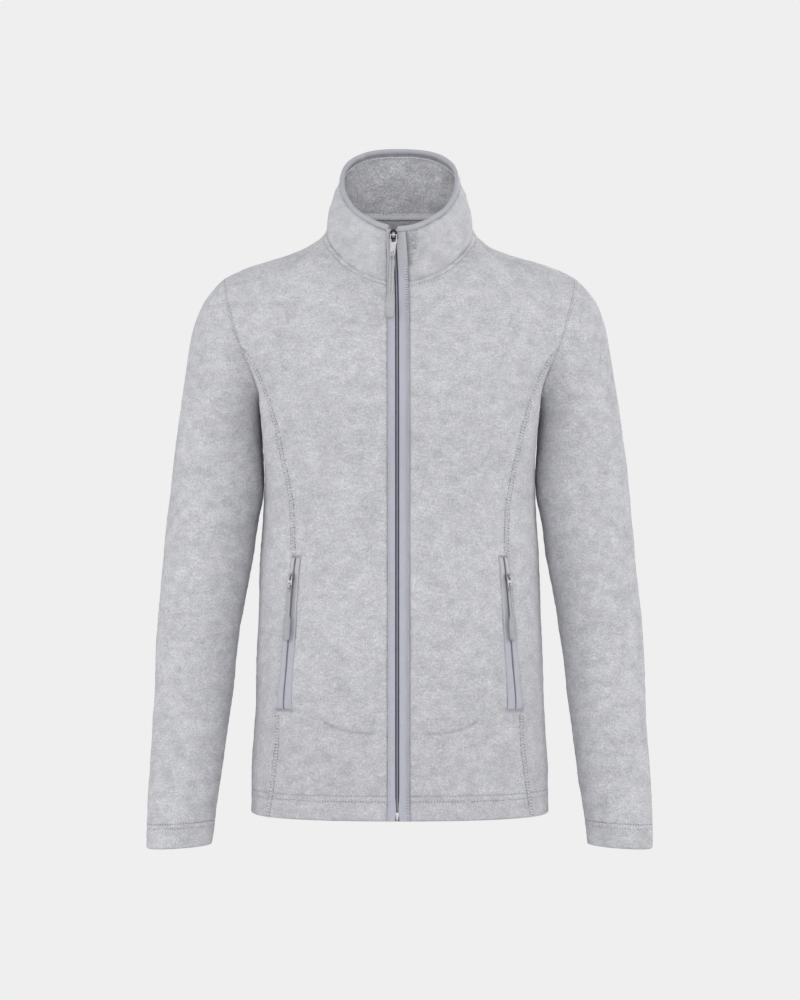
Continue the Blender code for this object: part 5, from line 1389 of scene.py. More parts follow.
def hem_stitches(line, face, seed, low_row):
    """The hem's upper row, or the short threads that cross its lower row."""
    if low_row:
        stitches(line, face, 3.2, 1.6, 0.28, seed=seed, holes=0.8, dimple_shadow_size=0.9, rungs_across=True)
    else:
        stitches(line, face, 3.0, 0.95, 0.28, seed=seed, holes=1.0, dimple_shadow_size=0.85)


# ----------------------------------------------------------- body pieces
def real(points, side):
    points = points.copy()
    points[..., 0] *= side
    return points


hole_edge = armhole(np.linspace(0, 1, 361))
hem_up = lambda p: p[..., 2] - HEM_Z


def body_height(points, seams, hem=True):
    """Height of the cloth over the form, where its lumps stay quiet, and the painted shade in the grooves of its seams
    and hem. seams: (gap, run, kind, seed).
    """
    quiet = np.ones(points.shape[:-1])
    height = np.full(points.shape[:-1], RISE - SINK)
    # painted shade in the grooves of each seam and of the hem's rows
    pressed = np.zeros(points.shape[:-1])
    for gap, at, kind, seed in seams:
        rough = uneven(at, seed)
        if kind == "flat":            # two layers sewn flat, a row each side
            height -= 0.34 * bell(gap, 0, 0.8) * rough
            height -= 0.50 * bell(gap, 2.95, 0.75) * rough
            height += 0.16 * bell(gap, 1.5, 0.8)
            height += 0.30 * bell(gap, 5.1, 1.8)
            pressed += (0.14 * bell(gap, 0, 0.8) + 0.14 * bell(gap, 2.95, 0.75)) * rough + 0.12 * bell(gap, 0, 3.8)
        elif kind == "hole":          # armhole, a row on the body beside it
            height -= 0.42 * bell(gap, 0, 1.0)
            height -= 0.34 * bell(gap, 2.1, 0.7) * rough
            height += 0.16 * bell(gap, 4.0, 1.6)
            quiet *= 1 - bell(gap, 0, 3.0)
            pressed += (0.22 * bell(gap, 0, 0.8) + 0.20 * bell(gap, 2.1, 0.7)) * rough
        elif kind == "sleeve":        # armhole, the sleeve's full head
            height -= 0.42 * bell(gap, 0, 1.1)
            height += 0.20 * bell(gap, 4.5, 3.0) * rough
            quiet *= 1 - bell(gap, 0, 3.0)
            pressed += 0.22 * bell(gap, 0, 0.9)
        elif kind == "neck":          # seam turned down under a raised band
            height -= 0.20 * bell(gap, 0, 1.0)
            height += 0.85 * plateau(gap, 0.7, 5.0, 0.4)
            height -= 0.50 * bell(gap, 6.0, 0.85) * rough
            quiet *= 1 - bell(gap, 0, 3.0)
            pressed += 0.40 * bell(gap, 6.0, 0.75) * rough
        elif kind == "plain":
            height -= 0.60 * bell(gap, 0, 1.0) * rough
            height += 0.14 * bell(gap, 2.6, 1.2)
            pressed += 0.32 * bell(gap, 0, 0.8) * rough
        elif kind == "zip":           # edge sewn under the zip's binding
            height -= RISE * bell(gap, 0, 1.0)
            height += 0.26 * bell(gap, 5.0, 2.2) * rough
            pressed += 0.95 * bell(gap, 0.6, 1.2) * rough
        elif kind == "mouth":         # pocket edge turned in against the welt
            height -= 0.75 * bell(gap, 0, 0.9)
            height += 0.22 * bell(gap, 2.6, 1.7)
            pressed += 0.16 * bell(gap, 0, 0.9)
    if hem:
        up = hem_up(points)
        rough = uneven(points[..., 0] + 0.6 * points[..., 1], 71)
        height += 0.12 * plateau(up, 2.0, HEM_ROW, 1.2)
        height -= 0.42 * bell(up, HEM_ROW, 0.85) * rough
        height -= 0.16 * bell(up, HEM_ROW_LOW, 1.6) * rough
        height += 0.14 * bell(up, HEM_ROW + 3.0, 2.0)
        height -= hem_round(up, HEM_WALL)
        pressed += 0.36 * bell(up, HEM_ROW, 0.75) * rough + 0.20 * bell(up, HEM_ROW_LOW, 1.6) * rough
    return height, quiet, pressed


def body_wall(points):
    up = hem_up(points)
    return WALL + (HEM_WALL - WALL) * plateau(up, -50, HEM_TURN, 0.6)


def body_inner(points, normals, sunk):
    """The inner face: the form, one wall in, with the folds and a rounded hem."""
    wall = body_wall(points) + np.clip(sunk, 0, 3)
    return points - normals * (wall + SINK - RISE * 0.6 - hem_round(hem_up(points), HEM_WALL))[..., None]


sheets = {}
outside_of = {}
flat_seam = {}
for side, tag in ((-1, "r"), (1, "l")):
    grid, plain, u, z, corner = front_grid(side)
    p, n = real(grid, side), real(form_normal(grid), side)
    if side == -1:                      # this edge lies close under the narrower binding
        p[..., 0] += 0.8 * bell(np.abs(p[..., 0] - p[:1, :, 0]), 0, 9.0)
    rows = len(z)
    seam = real(princess(z), side)
    mouth_rows = (z > POCKET_END - 1.0) & (z < POCKET_TOP + 1.0)
    mouth_line = p[-1, :rows][mouth_rows]
    collar_at = neck(np.linspace(0, math.pi, 200))
    seams = []
    for part, seed in ((z <= POCKET_END, 21), (z >= POCKET_TOP, 22)):
        gap, at = near(p, seam[part])
        seams.append((gap, at, "flat", seed))
    gap_flat = np.minimum(seams[0][0], seams[1][0])
    gap_mouth, at = near(p, mouth_line)
    seams.append((gap_mouth, at, "mouth", 23))
    gap_hole, at = near(p, real(hole_edge, side))
    seams.append((gap_hole, at, "hole", 24))
    gap_neck, at = near(p, real(collar_at, side))
    seams.append((gap_neck, at, "neck", 25))
    gap_shoulder, at = near(p, real(shoulder(np.linspace(0, 1, 90)), side))
    seams.append((gap_shoulder, at, "plain", 26))
    gap_zip, at = near(p, p[0])
    seams.append((gap_zip, at, "zip", 27))
    height, quiet, pressed = body_height(p, seams)
    if side == 1:                       # the wider binding lies on this edge
        height -= 0.35 * bell(gap_zip, 3.4, 1.2)
        # painted shade in a line beside the binding's edge
        pressed += 0.80 * bell(gap_zip, 3.1, 1.0)
    sunk, sharp = (a * quiet for a in folds_on(p, ("front",)))
    height = height + lumps(p, quiet) - sunk
    pressed += sharp
    outer = p + n * height[..., None]
    piece = cloth("front_cloth_" + tag, outer, body_inner(p, n, sunk), [fleece, fleece_inside], pressed, replaces=("front_panel_" + tag,))
    sheets[piece] = ((0.205, 0.665), 0.0925)
    above, below = z >= POCKET_TOP + 3.0, z <= POCKET_END - 3.0
    for mask, seed in ((above, 31), (below, 32)):
        keep = np.zeros(p.shape[1], bool)
        keep[:rows] = mask
        line, face = trace(outer, n, gap_flat, 2.95, 0, True, keep)
        stitches(line, face, 3.1, 0.75, 0.24, seed=seed + 5 * side, holes=0.7, dimple_shadow_size=1.12, lift=0.16)
        line, face = trace(outer, n, gap_flat, 1.1, 0, True, keep)
        stitches(line, face, 3.4, 0.95, 0.62, seed=seed + 7 * side, holes=0, rungs_across=True, kind=2, lift=0.62)
    keep = np.zeros(p.shape[1], bool)
    keep[rows + 2:] = True
    line, face = trace(outer, n, gap_hole, 2.1, 0, True, keep)
    stitches(line, face, 3.0, 0.9, 0.26, seed=33 + side)
    keep = np.arange(p.shape[0]) <= corner
    line, face = trace(outer, n, gap_neck, 6.0, 1, True, keep)
    stitches(line, face, 3.0, seed=35 + side, holes=0.8, dimple_shadow_size=0.85)
    for level_up, seed, low_row in ((HEM_ROW, 37, False), (HEM_ROW_LOW, 39, True)):
        line, face = trace(outer, n, hem_up(p), level_up, 1, False)
        hem_stitches(line[2:], face[2:], seed + side, low_row)
    keep = np.zeros(p.shape[1], bool)
    keep[:rows] = mouth_rows & (z > POCKET_END + 3) & (z < POCKET_TOP - 3)
    line, face = trace(outer, n, gap_mouth, 1.5, 0, True, keep)
    stitches(line, face, 2.8, 0.95, 0.26, seed=41 + side, holes=0.15, dimple_shadow_size=0.7)
    # pocket bag: one thin layer behind the front, over the mouth
    columns = np.where((u > 0.1) & (u <= 1.0))[0]
    levels = np.where((z > -564.5) & (z < -327))[0]
    if len(columns) % 2 == 0:
        columns = columns[1:]
    if len(levels) % 2 == 0:
        levels = levels[:-1]
    bag, bag_n = real(plain, side), real(form_normal(plain), side)
    bag, bag_n = bag[columns][:, levels], bag_n[columns][:, levels]
    bag = bag[::2, ::2]
    bag_n = bag_n[::2, ::2]
    if bag.shape[0] % 2 == 0:
        bag, bag_n = bag[1:], bag_n[1:]
    if bag.shape[1] % 2 == 0:
        bag, bag_n = bag[:, :-1], bag_n[:, :-1]
    sway = 0.35 * waves(bag, 30.0, 61)
    bag_outer = bag - bag_n * (WALL + 0.75)
    bag_inner = bag - bag_n * (WALL + 1.75 + sway)[..., None]
    piece = cloth("pocket_bag_cloth_" + tag, bag_outer, bag_inner, bag_cloth, slot="tape", replaces=("pocket_bag_" + tag,))
    sheets[piece] = ((0.130, 0.235), 0.0260)

    # side front
    grid, z = side_grid()
    p, n = real(grid, side), real(form_normal(grid), side)
    seam = real(princess(z), side)
    seams = []
    for part, seed in ((z <= POCKET_END, 21), (z >= POCKET_TOP, 22)):
        gap, at = near(p, seam[part])
        seams.append((gap, at, "flat", seed))
    gap_flat = np.minimum(seams[0][0], seams[1][0])
    mouth_rows = (z > POCKET_END + 0.5) & (z < POCKET_TOP - 0.5)
    gap_mouth, at = near(p, seam[mouth_rows])
    seams.append((gap_mouth, at, "mouth", 28))
    gap_hole, at = near(p, real(hole_edge, side))
    seams.append((gap_hole, at, "hole", 24))
    gap_side, at = near(p, p[-1])
    seams.append((gap_side, at, "plain", 29))
    height, quiet, pressed = body_height(p, seams)
    sunk, sharp = (a * quiet for a in folds_on(p, ("front", "back")))
    height = height + lumps(p, quiet) - sunk
    pressed += sharp
    outer = p + n * height[..., None]
    piece = cloth("side_cloth_" + tag, outer, body_inner(p, n, sunk), [fleece, fleece_inside], pressed, replaces=("side_panel_" + tag,))
    sheets[piece] = ((0.088, 0.525), 0.0430)
    for mask, seed in ((z >= POCKET_TOP + 3.0, 51), (z <= POCKET_END - 3.0, 52)):
        line, face = trace(outer, n, gap_flat, 2.95, 0, False, mask)
        stitches(line, face, 3.1, 0.75, 0.24, seed=seed + side, holes=0.7, dimple_shadow_size=1.12, lift=0.16)
        line, face = trace(outer, n, gap_flat, 1.1, 0, False, mask)
        stitches(line, face, 3.4, 0.95, 0.62, seed=seed + 3 * side, holes=0, rungs_across=True, kind=2, lift=0.62)
    line, face = trace(outer, n, gap_hole, 2.1, 1, True)
    stitches(line[3:], face[3:], 3.0, 0.9, 0.26, seed=53 + side)
    for level_up, seed, low_row in ((HEM_ROW, 55, False), (HEM_ROW_LOW, 57, True)):
        line, face = trace(outer, n, hem_up(p), level_up, 1, False)
        hem_stitches(line, face, seed + side, low_row)
    keep = (z > POCKET_END + 3) & (z < POCKET_TOP - 3)
    line, face = trace(outer, n, gap_mouth, 1.5, 0, False, keep)
    stitches(line, face, 2.8, 0.95, 0.26, seed=59 + side, holes=0.15, dimple_shadow_size=0.7)

# back, one piece from side seam to side seam
grid, z, corner = back_grid()
whole = np.concatenate([real(grid, -1)[:0:-1], grid])
n = form_normal(grid)
n[0] = unit(n[0] * np.array([0.0, 1.0, 1.0]))
n = np.concatenate([real(n, -1)[:0:-1], n])
p = whole
seams = []
gap_hole = np.full(p.shape[:-1], 1e9)
for side, seed in ((-1, 81), (1, 83)):
    gap, at = near(p, real(hole_edge, side))
    seams.append((gap, at, "hole", seed))
    gap_hole = np.minimum(gap_hole, gap)
    gap, at = near(p, real(shoulder(np.linspace(0, 1, 90)), side))
    seams.append((gap, at, "plain", 26))
    gap, at = near(p, real(side_seam(z), side))
    seams.append((gap, at, "plain", 29))
    gap, at = near(p, real(neck(np.linspace(0, math.pi, 200)), side))
    seams.append((gap, at, "neck", 25))
gap_neck = np.minimum(seams[3][0], seams[7][0])
del seams[7]
seams[3] = (gap_neck, p[..., 0] * 1.2 + 300.0, "neck", 25)
height, quiet, pressed = body_height(p, seams)
sunk, sharp = (a * quiet for a in folds_on(p, ("back",)))
height = height + lumps(p, quiet) - sunk
pressed += sharp
outer = p + n * height[..., None]
piece = cloth("back_cloth", outer, body_inner(p, n, sunk), [fleece, fleece_inside], pressed, replaces=("back_panel",))
sheets[piece] = ((0.475, 0.690), 0.2840)
half = len(p) // 2
columns = np.arange(len(p))
keep = np.abs(columns - half) <= corner
line, face = trace(outer, n, gap_neck, 6.0, 1, True, keep)
stitches(line, face, 3.0, seed=91)
for end, seed in ((False, 92), (True, 93)):
    keep = np.zeros(p.shape[1], bool)
    keep[len(z) + 2:-3] = True
    line, face = trace(outer, n, gap_hole, 2.1, 0, end, keep)
    stitches(line, face, 3.0, 0.9, 0.26, seed=seed)
for level_up, seed, low_row in ((HEM_ROW, 94, False), (HEM_ROW_LOW, 95, True)):
    line, face = trace(outer, n, hem_up(p), level_up, 1, False)
    hem_stitches(line, face, seed, low_row)

# sleeves
for side, tag in ((-1, "r"), (1, "l")):
    grid = sleeve_grid()
    n = normals_of(grid)
    n = outwards(grid, n, grid.mean(axis=0, keepdims=True))
    both = unit(n[0] + n[-1])
    n[0] = n[-1] = both
    p, n = real(grid, side), real(n, side)
    # the inner side rests nearly on the body a hand's width under the arm
    resting = np.clip(-side * n[..., 0], 0, 1) ** 1.5
    resting = resting / (1 + np.exp(-(p[..., 2] + 312) / 4)) / (1 + np.exp((p[..., 2] + 222) / 9))
    p = p + n * (resting * (1.6 + 1.0 * bell(p[..., 2], -288, 24)))[..., None]
    gap_hole, at_hole = near(p, real(hole_edge, side))
    gap_under, at_under = near(p, p[0])
    gap_cuff, at_cuff = near(p, np.concatenate([p[:, -1], p[:1, -1]]))
    seams = [(gap_hole, at_hole, "sleeve", 24), (gap_under, at_under, "plain", 63)]
    height, quiet, pressed = body_height(p, seams, hem=False)
    rough = uneven(at_cuff, 65)
    height += 0.10 * plateau(gap_cuff, 2.0, CUFF_ROW, 1.2)
    height -= 0.50 * bell(gap_cuff, CUFF_ROW, 0.95) * rough
    height -= 0.22 * bell(gap_cuff, CUFF_ROW_LOW, 1.0) * rough
    height += 0.12 * bell(gap_cuff, CUFF_ROW + 3.0, 2.0)
    height -= hem_round(gap_cuff, HEM_WALL)
    # painted shade in the cuff's stitched grooves
    pressed += 0.42 * bell(gap_cuff, CUFF_ROW, 0.75) * rough + 0.12 * bell(gap_cuff, CUFF_ROW_LOW, 0.9) * rough
    sunk, sharp = (a * quiet for a in folds_on(p, ("sleeve_" + tag,)))
    height = height + lumps(p, quiet) - sunk
    pressed += sharp
    outer = p + n * height[..., None]
    wall = WALL + (HEM_WALL - WALL) * plateau(gap_cuff, -50, CUFF_TURN, 0.6)
    inner = p - n * (wall + SINK - RISE * 0.6 - hem_round(gap_cuff, HEM_WALL) + np.clip(sunk, 0, 3))[..., None]
    piece = cloth("sleeve_cloth_" + tag, outer, inner, [fleece_sleeve, fleece_inside], pressed, replaces=("sleeve_" + tag,))
    sheets[piece] = ((0.375, 0.645), 0.1690)
    for level_up, seed, holes in ((CUFF_ROW, 97, 1.0), (CUFF_ROW_LOW, 99, 0.5)):
        line, face = trace(outer, n, gap_cuff, level_up, 1, True)
        stitches(line, face, 3.0, 1.0, 0.26, seed=seed + side, holes=holes)

# ---------------------------------------------------------------- collar
COLLAR_ROWS, COLLAR_FINE = 3, 18
grid = whole_collar(COLLAR_FINE, COLLAR_ROWS, 0.8)
if grid.shape[0] % 2 == 0:
    grid = grid[:-1]
# beside the narrow band the fleece comes nearer to the zip, more so upwards
gap_right = near(grid, grid[0])[0]
grid[..., 0] += 3.1 * np.linspace(0, 1, grid.shape[1])[None] * np.exp(-(gap_right / 9.0) ** 2)
n = outwards(grid, normals_of(grid), np.array([0.0, NECK_MID, 0.0]))
gap_base, at_base = near(grid, grid[:, 0])
gap_top, at_top = near(grid, grid[:, -1])
gap_ends = np.minimum(near(grid, grid[0])[0], near(grid, grid[-1])[0])
quiet = 1 - bell(gap_base, 0, 3.0)
height = np.full(grid.shape[:-1], 0.6)
over_zip = plateau(gap_ends, -9, 4.2, 0.5) * (grid[..., 0] > 0)
# painted shade under the rim binding and beside the zip's bands at both ends
pressed = 0.35 * bell(gap_top, 2.9, 1.0) + np.where(grid[..., 0] > 0, 0.8, 0.35) * bell(gap_ends, np.where(grid[..., 0] > 0, 2.6, 0.5), 1.4)
height -= 0.25 * bell(gap_base, 0, 1.2)
height += 0.2 * bell(gap_base, 4.0, 2.6) * uneven(at_base, 103)
height -= 1.5 * over_zip
height -= 0.5 * bell(gap_top, 2.6, 1.6)
height -= 0.5 * bell(gap_ends, 0, 1.2)
height += quiet * (0.14 * waves(grid, 7.0, 14) + 0.35 * waves(grid, 26.0, 15))
# the crease that stands beside the zip, and soft bends round the neck
COLLAR_FOLDS = (
    # share from the base, turn in degrees from the front (wearer's left above 0), half width, depth
    ((0.22, 9.0), (0.60, 8.2), (1.0, 8.2), 2.9, 1.6, 6),
    ((0.45, 12.4), (0.75, 11.0), (1.0, 12.6), 2.6, 0.5, 5),
    ((0.30, 17.5), (0.45, 19.0), (0.66, 21.0), 3.4, 0.8, 6),
    ((0.0, 17.0), (0.4, 20.5), (0.8, 24.5), 4.5, -0.5, 10),
    ((0.12, -11.0), (0.45, -15.5), (0.85, -17.0), 4.0, 0.55, 12),
    ((0.25, 48.0), (0.5, 62.0), (0.42, 80.0), 6.0, 0.6, 16),
    ((0.30, -50.0), (0.52, -60.0), (0.40, -84.0), 6.0, 0.6, 16),
    ((0.35, 120.0), (0.5, 140.0), (0.38, 172.0), 6.5, 0.7, 20),
    ((0.40, -118.0), (0.52, -138.0), (0.42, -160.0), 6.5, 0.6, 20),
)
turn = np.degrees(np.arctan2(grid[:, 0, 0], -(grid[:, 0, 1] - NECK_MID)))
order = np.argsort(turn)
for a, b, c, wide, deep, fade in COLLAR_FOLDS:
    t = np.linspace(0, 1, 25)[:, None]
    path = (1 - t) ** 2 * np.array(a) + 2 * t * (1 - t) * np.array(b) + t**2 * np.array(c)
    column = np.interp(path[:, 1], turn[order], order.astype(float))
    row = path[:, 0] * (grid.shape[1] - 1)
    i, j = np.floor(column).astype(int).clip(0, grid.shape[0] - 2), np.floor(row).astype(int).clip(0, grid.shape[1] - 2)
    fi, fj = (column - i)[:, None], (row - j)[:, None]
    line = (grid[i, j] * (1 - fi) + grid[i + 1, j] * fi) * (1 - fj) + (grid[i, j + 1] * (1 - fi) + grid[i + 1, j + 1] * fi) * fj
    gap, at = near(grid, line)
    length = run_of(line)[-1]
    ends = np.clip(at / fade, 0, 1) * np.clip((length - at) / fade, 0, 1)
    soft = ends * ends * (3 - 2 * ends)
    height -= deep * soft * (np.exp(-((gap / wide) ** 2)) - 0.25 * bell(gap, 2 * wide, wide))
    # painted shade along the narrower creases
    if wide < 3.5:
        pressed += 0.40 * deep * soft * bell(gap, 0, 1.25 * wide) * uneven(at, 105)
# painted shade in a patch beside the zip's wide band, where the collar creases
patch_turn = np.degrees(np.arctan2(grid[..., 0], -(grid[..., 1] - NECK_MID)))
patch_row = np.linspace(0, 1, grid.shape[1])[None]
patch = 1.9 * np.exp(-(((patch_turn - 8.6) / 2.4) ** 2)) + 1.15 * np.exp(-(((patch_turn - 12.0) / 2.5) ** 2))
pressed += patch * np.clip((patch_row - 0.22) / 0.5, 0, 1) * np.clip(0.60 + 0.75 * waves(grid, 1.9, 131) + 0.35 * waves(grid, 5.0, 132), 0, 1)
outer = grid + n * height[..., None]
inner = grid - n * (WALL - 0.4 + 1.2 * over_zip + 0.10 * waves(grid, 9.0, 16))[..., None]
# painted shade on the collar's inner face: darker at its sides, under the rim and near the neck seam
aside = np.exp(-(((np.abs(np.degrees(np.arctan2(grid[..., 0], -(grid[..., 1] - NECK_MID)))) - 108) / 34) ** 2))
painted_inside_shade = (0.12 + 0.80 * aside) * np.exp(-(gap_top / 19.0) ** 2) + 0.25 * np.exp(-(gap_base / 10.0) ** 2) + 0.34 * aside
collar_piece = cloth("collar_cloth", outer, inner, [fleece_collar, fleece_collar_inside], pressed, painted_inside_shade, replaces=("collar",))
sheets[collar_piece] = ((0.445, 0.078), 0.0262)

# rim binding, carried over the tops of the zip's bindings at both ends
full = whole_collar(8, 5)
full_n = outwards(full, normals_of(full), np.array([0.0, NECK_MID, 0.0]))
rim_path = full[:, -1]
rim_face = unit(full_n[:, -1])
rim_up = unit(full[:, -1] - full[:, -6])


def carried(path, face, up, centre_gap):
    """The rim's line carried on towards the zip's middle."""
    step = unit(path[0] - path[1]) * np.array([1.0, 1.0, 0.75])
    ahead = abs(path[0, 0] - zip_x(path[0, 2])) - centre_gap
    extra = [path[0] + step * ahead * k for k in (1.0, 0.75, 0.5, 0.25)]
    return (
        np.concatenate([np.array(extra), path]),
        np.concatenate([np.tile(face[0], (4, 1)), face]),
        np.concatenate([np.tile(up[0], (4, 1)), up]),
    )


rim_path, rim_face, rim_up = carried(rim_path, rim_face, rim_up, 4.9)
rim_path, rim_face, rim_up = (a[::-1] for a in carried(rim_path[::-1], rim_face[::-1], rim_up[::-1], 4.6))
turns = np.linspace(0, 2 * math.pi, 17)[:-1]
ring_up = 3.45 * power(np.cos(turns), 0.82)
ring_out = -0.95 + 2.55 * power(np.sin(turns), 0.82)
rim_run = run_of(rim_path)
swell = 1 + 0.03 * waves(np.stack([rim_run, 0 * rim_run, 0 * rim_run], axis=-1), 26.0, 107)
ends = np.clip(np.minimum(rim_run, rim_run[-1] - rim_run) / 1.6, 0, 1)
size = swell * (0.72 + 0.28 * np.sqrt(ends))
sections = (
    rim_path[:, None]
    + rim_up[:, None] * (ring_up[None, :, None] * size[:, None, None])
    + rim_face[:, None] * (((ring_out + 0.95)[None, :, None]) * size[:, None, None] - 0.95)
)
# at the back its inner leg reaches lower
rim_back = np.clip((rim_path[:, 1] - NECK_MID) / 55.0 + 0.15, 0, 1)
inner_leg = np.clip(-ring_up / 3.45, 0, 1) * np.clip((-0.95 - ring_out) / 1.4 + 0.25, 0, 1)
sections = sections - rim_up[:, None] * (1.7 * inner_leg[None] * rim_back[:, None])[..., None]


def ring_faces(n, m, caps=True, closed=False):
    """Faces of a bar of n rings of m points each."""
    faces = []
    for i in range(n if closed else n - 1):
        for j in range(m):
            a, b = i * m + j, i * m + (j + 1) % m
            c, d = ((i + 1) % n) * m + (j + 1) % m, ((i + 1) % n) * m + j
            faces.append([a, b, c, d])
    if caps and not closed:
        faces.append(list(range(m))[::-1])
        faces.append([(n - 1) * m + j for j in range(m)])
    return faces


def bar(name, sections, looks, sharp=55, **rest):
    """A solid through rings of points; turned outside out if needed."""
    sections = np.asarray(sections, float)
    n, m = sections.shape[:2]
    faces = ring_faces(n, m)
    if outward(sections) < 0:
        faces = [f[::-1] for f in faces]
    return made_piece(name, sections, faces, looks, smooth=sharp, **rest)


def outward(sections):
    """Above 0 if a bar's faces look outwards."""
    a = sections[:-1]
    b = np.roll(a, -1, axis=1)
    d = sections[1:]
    normal = np.cross(b - a, d - a)
    return np.sum(normal * (a - a.mean(axis=1, keepdims=True)))


# painted shade on the rim's lower side, more on its inner leg towards the back
low_side = np.clip((-ring_up / 3.45 - 0.35) / 0.5, 0, 1)
low_inside = np.clip((-ring_up / 3.45 + 0.10) / 0.45, 0, 1)
rim_pressed = np.where(ring_out[None] < -0.95, low_inside[None] * (0.45 + 0.5 * rim_back[:, None]), low_side[None] * 0.55) * (1 + 0.25 * waves(sections, 14.0, 109))
rim_piece = bar("rim_binding", sections, rim_cloth, slot="binding", replaces=("collar_binding",), pressed=rim_pressed)
rim_thread_out = rim_path - rim_up * 2.55 + rim_face * 1.50
rim_thread_in = rim_path - rim_up * (2.55 + 1.4 * rim_back[:, None]) - rim_face * 3.38
stitches(rim_thread_out[5:-5], rim_face[5:-5], 2.7, 0.95, 0.24, seed=111, holes=0.3, lift=0.0, dimple_shadow_size=0.7)
chain_in = rim_path - rim_up * (4.9 + 1.6 * rim_back[:, None]) - rim_face * (WALL + 0.05)
stitches(chain_in[5:-5], -rim_face[5:-5], 2.2, 1.02, 0.72, seed=110, holes=0, lift=0.55, kind=2)
stitches(rim_thread_in[5:-5], -rim_face[5:-5], 2.7, 0.95, 0.24, seed=112, holes=0.3, lift=0.0, dimple_shadow_size=0.7)

# neck tape inside, from shoulder seam to shoulder seam
first = NECK_STEPS * 8
inside = full[first:len(full) - first]
inside_n = full_n[first:len(full) - first]
tape_out = unit(inside_n[:, 3])
tape_up = unit(inside[:, 6] - inside[:, 0])
tape_path = inside[:, 0] - inside_n[:, 0] * WALL - tape_out * 0.75
profile = [(0.4, 0.05), (0.9, 0.3), (3.8, 0.38), (6.6, 0.3), (7.2, 0.05), (7.2, -0.55), (6.6, -0.85), (3.8, -0.98), (0.9, -0.85), (0.4, -0.55)]
swell = 1 + 0.03 * waves(tape_path, 18.0, 113)
profile = np.array(profile)[None] * np.stack([swell, np.ones_like(swell)], axis=-1)[:, None]
tape_piece = bar("neck_tape_band", strip(tape_path, tape_up, tape_out, profile), neck_band, slot="binding", replaces=("neck_tape",))
for up_at, seed in ((1.5, 114), (6.0, 115)):
    stitches(tape_path[2:-2] + tape_up[2:-2] * up_at - tape_out[2:-2] * 0.95, -tape_out[2:-2], 2.8, 0.95, 0.24, seed=seed, holes=0.5, dimple_shadow_size=0.6)

# ------------------------------------------------------------- front zip
zip_path = front_profile(2.4)
zip_run = unit(np.gradient(zip_path, axis=0))
zip_across = np.repeat(np.array([[1.0, 0.0, 0.0]]), len(zip_path), axis=0)
zip_out = unit(np.cross(zip_run, zip_across))
if zip_out[0, 1] > 0:
    zip_out = -zip_out
zip_at = run_of(zip_path)
LEFT_OUT, RIGHT_OUT = 10.6, 13.5       # the right-hand binding is the wider one
SEWN = 3.9                             # its outer part, where two rows are sewn


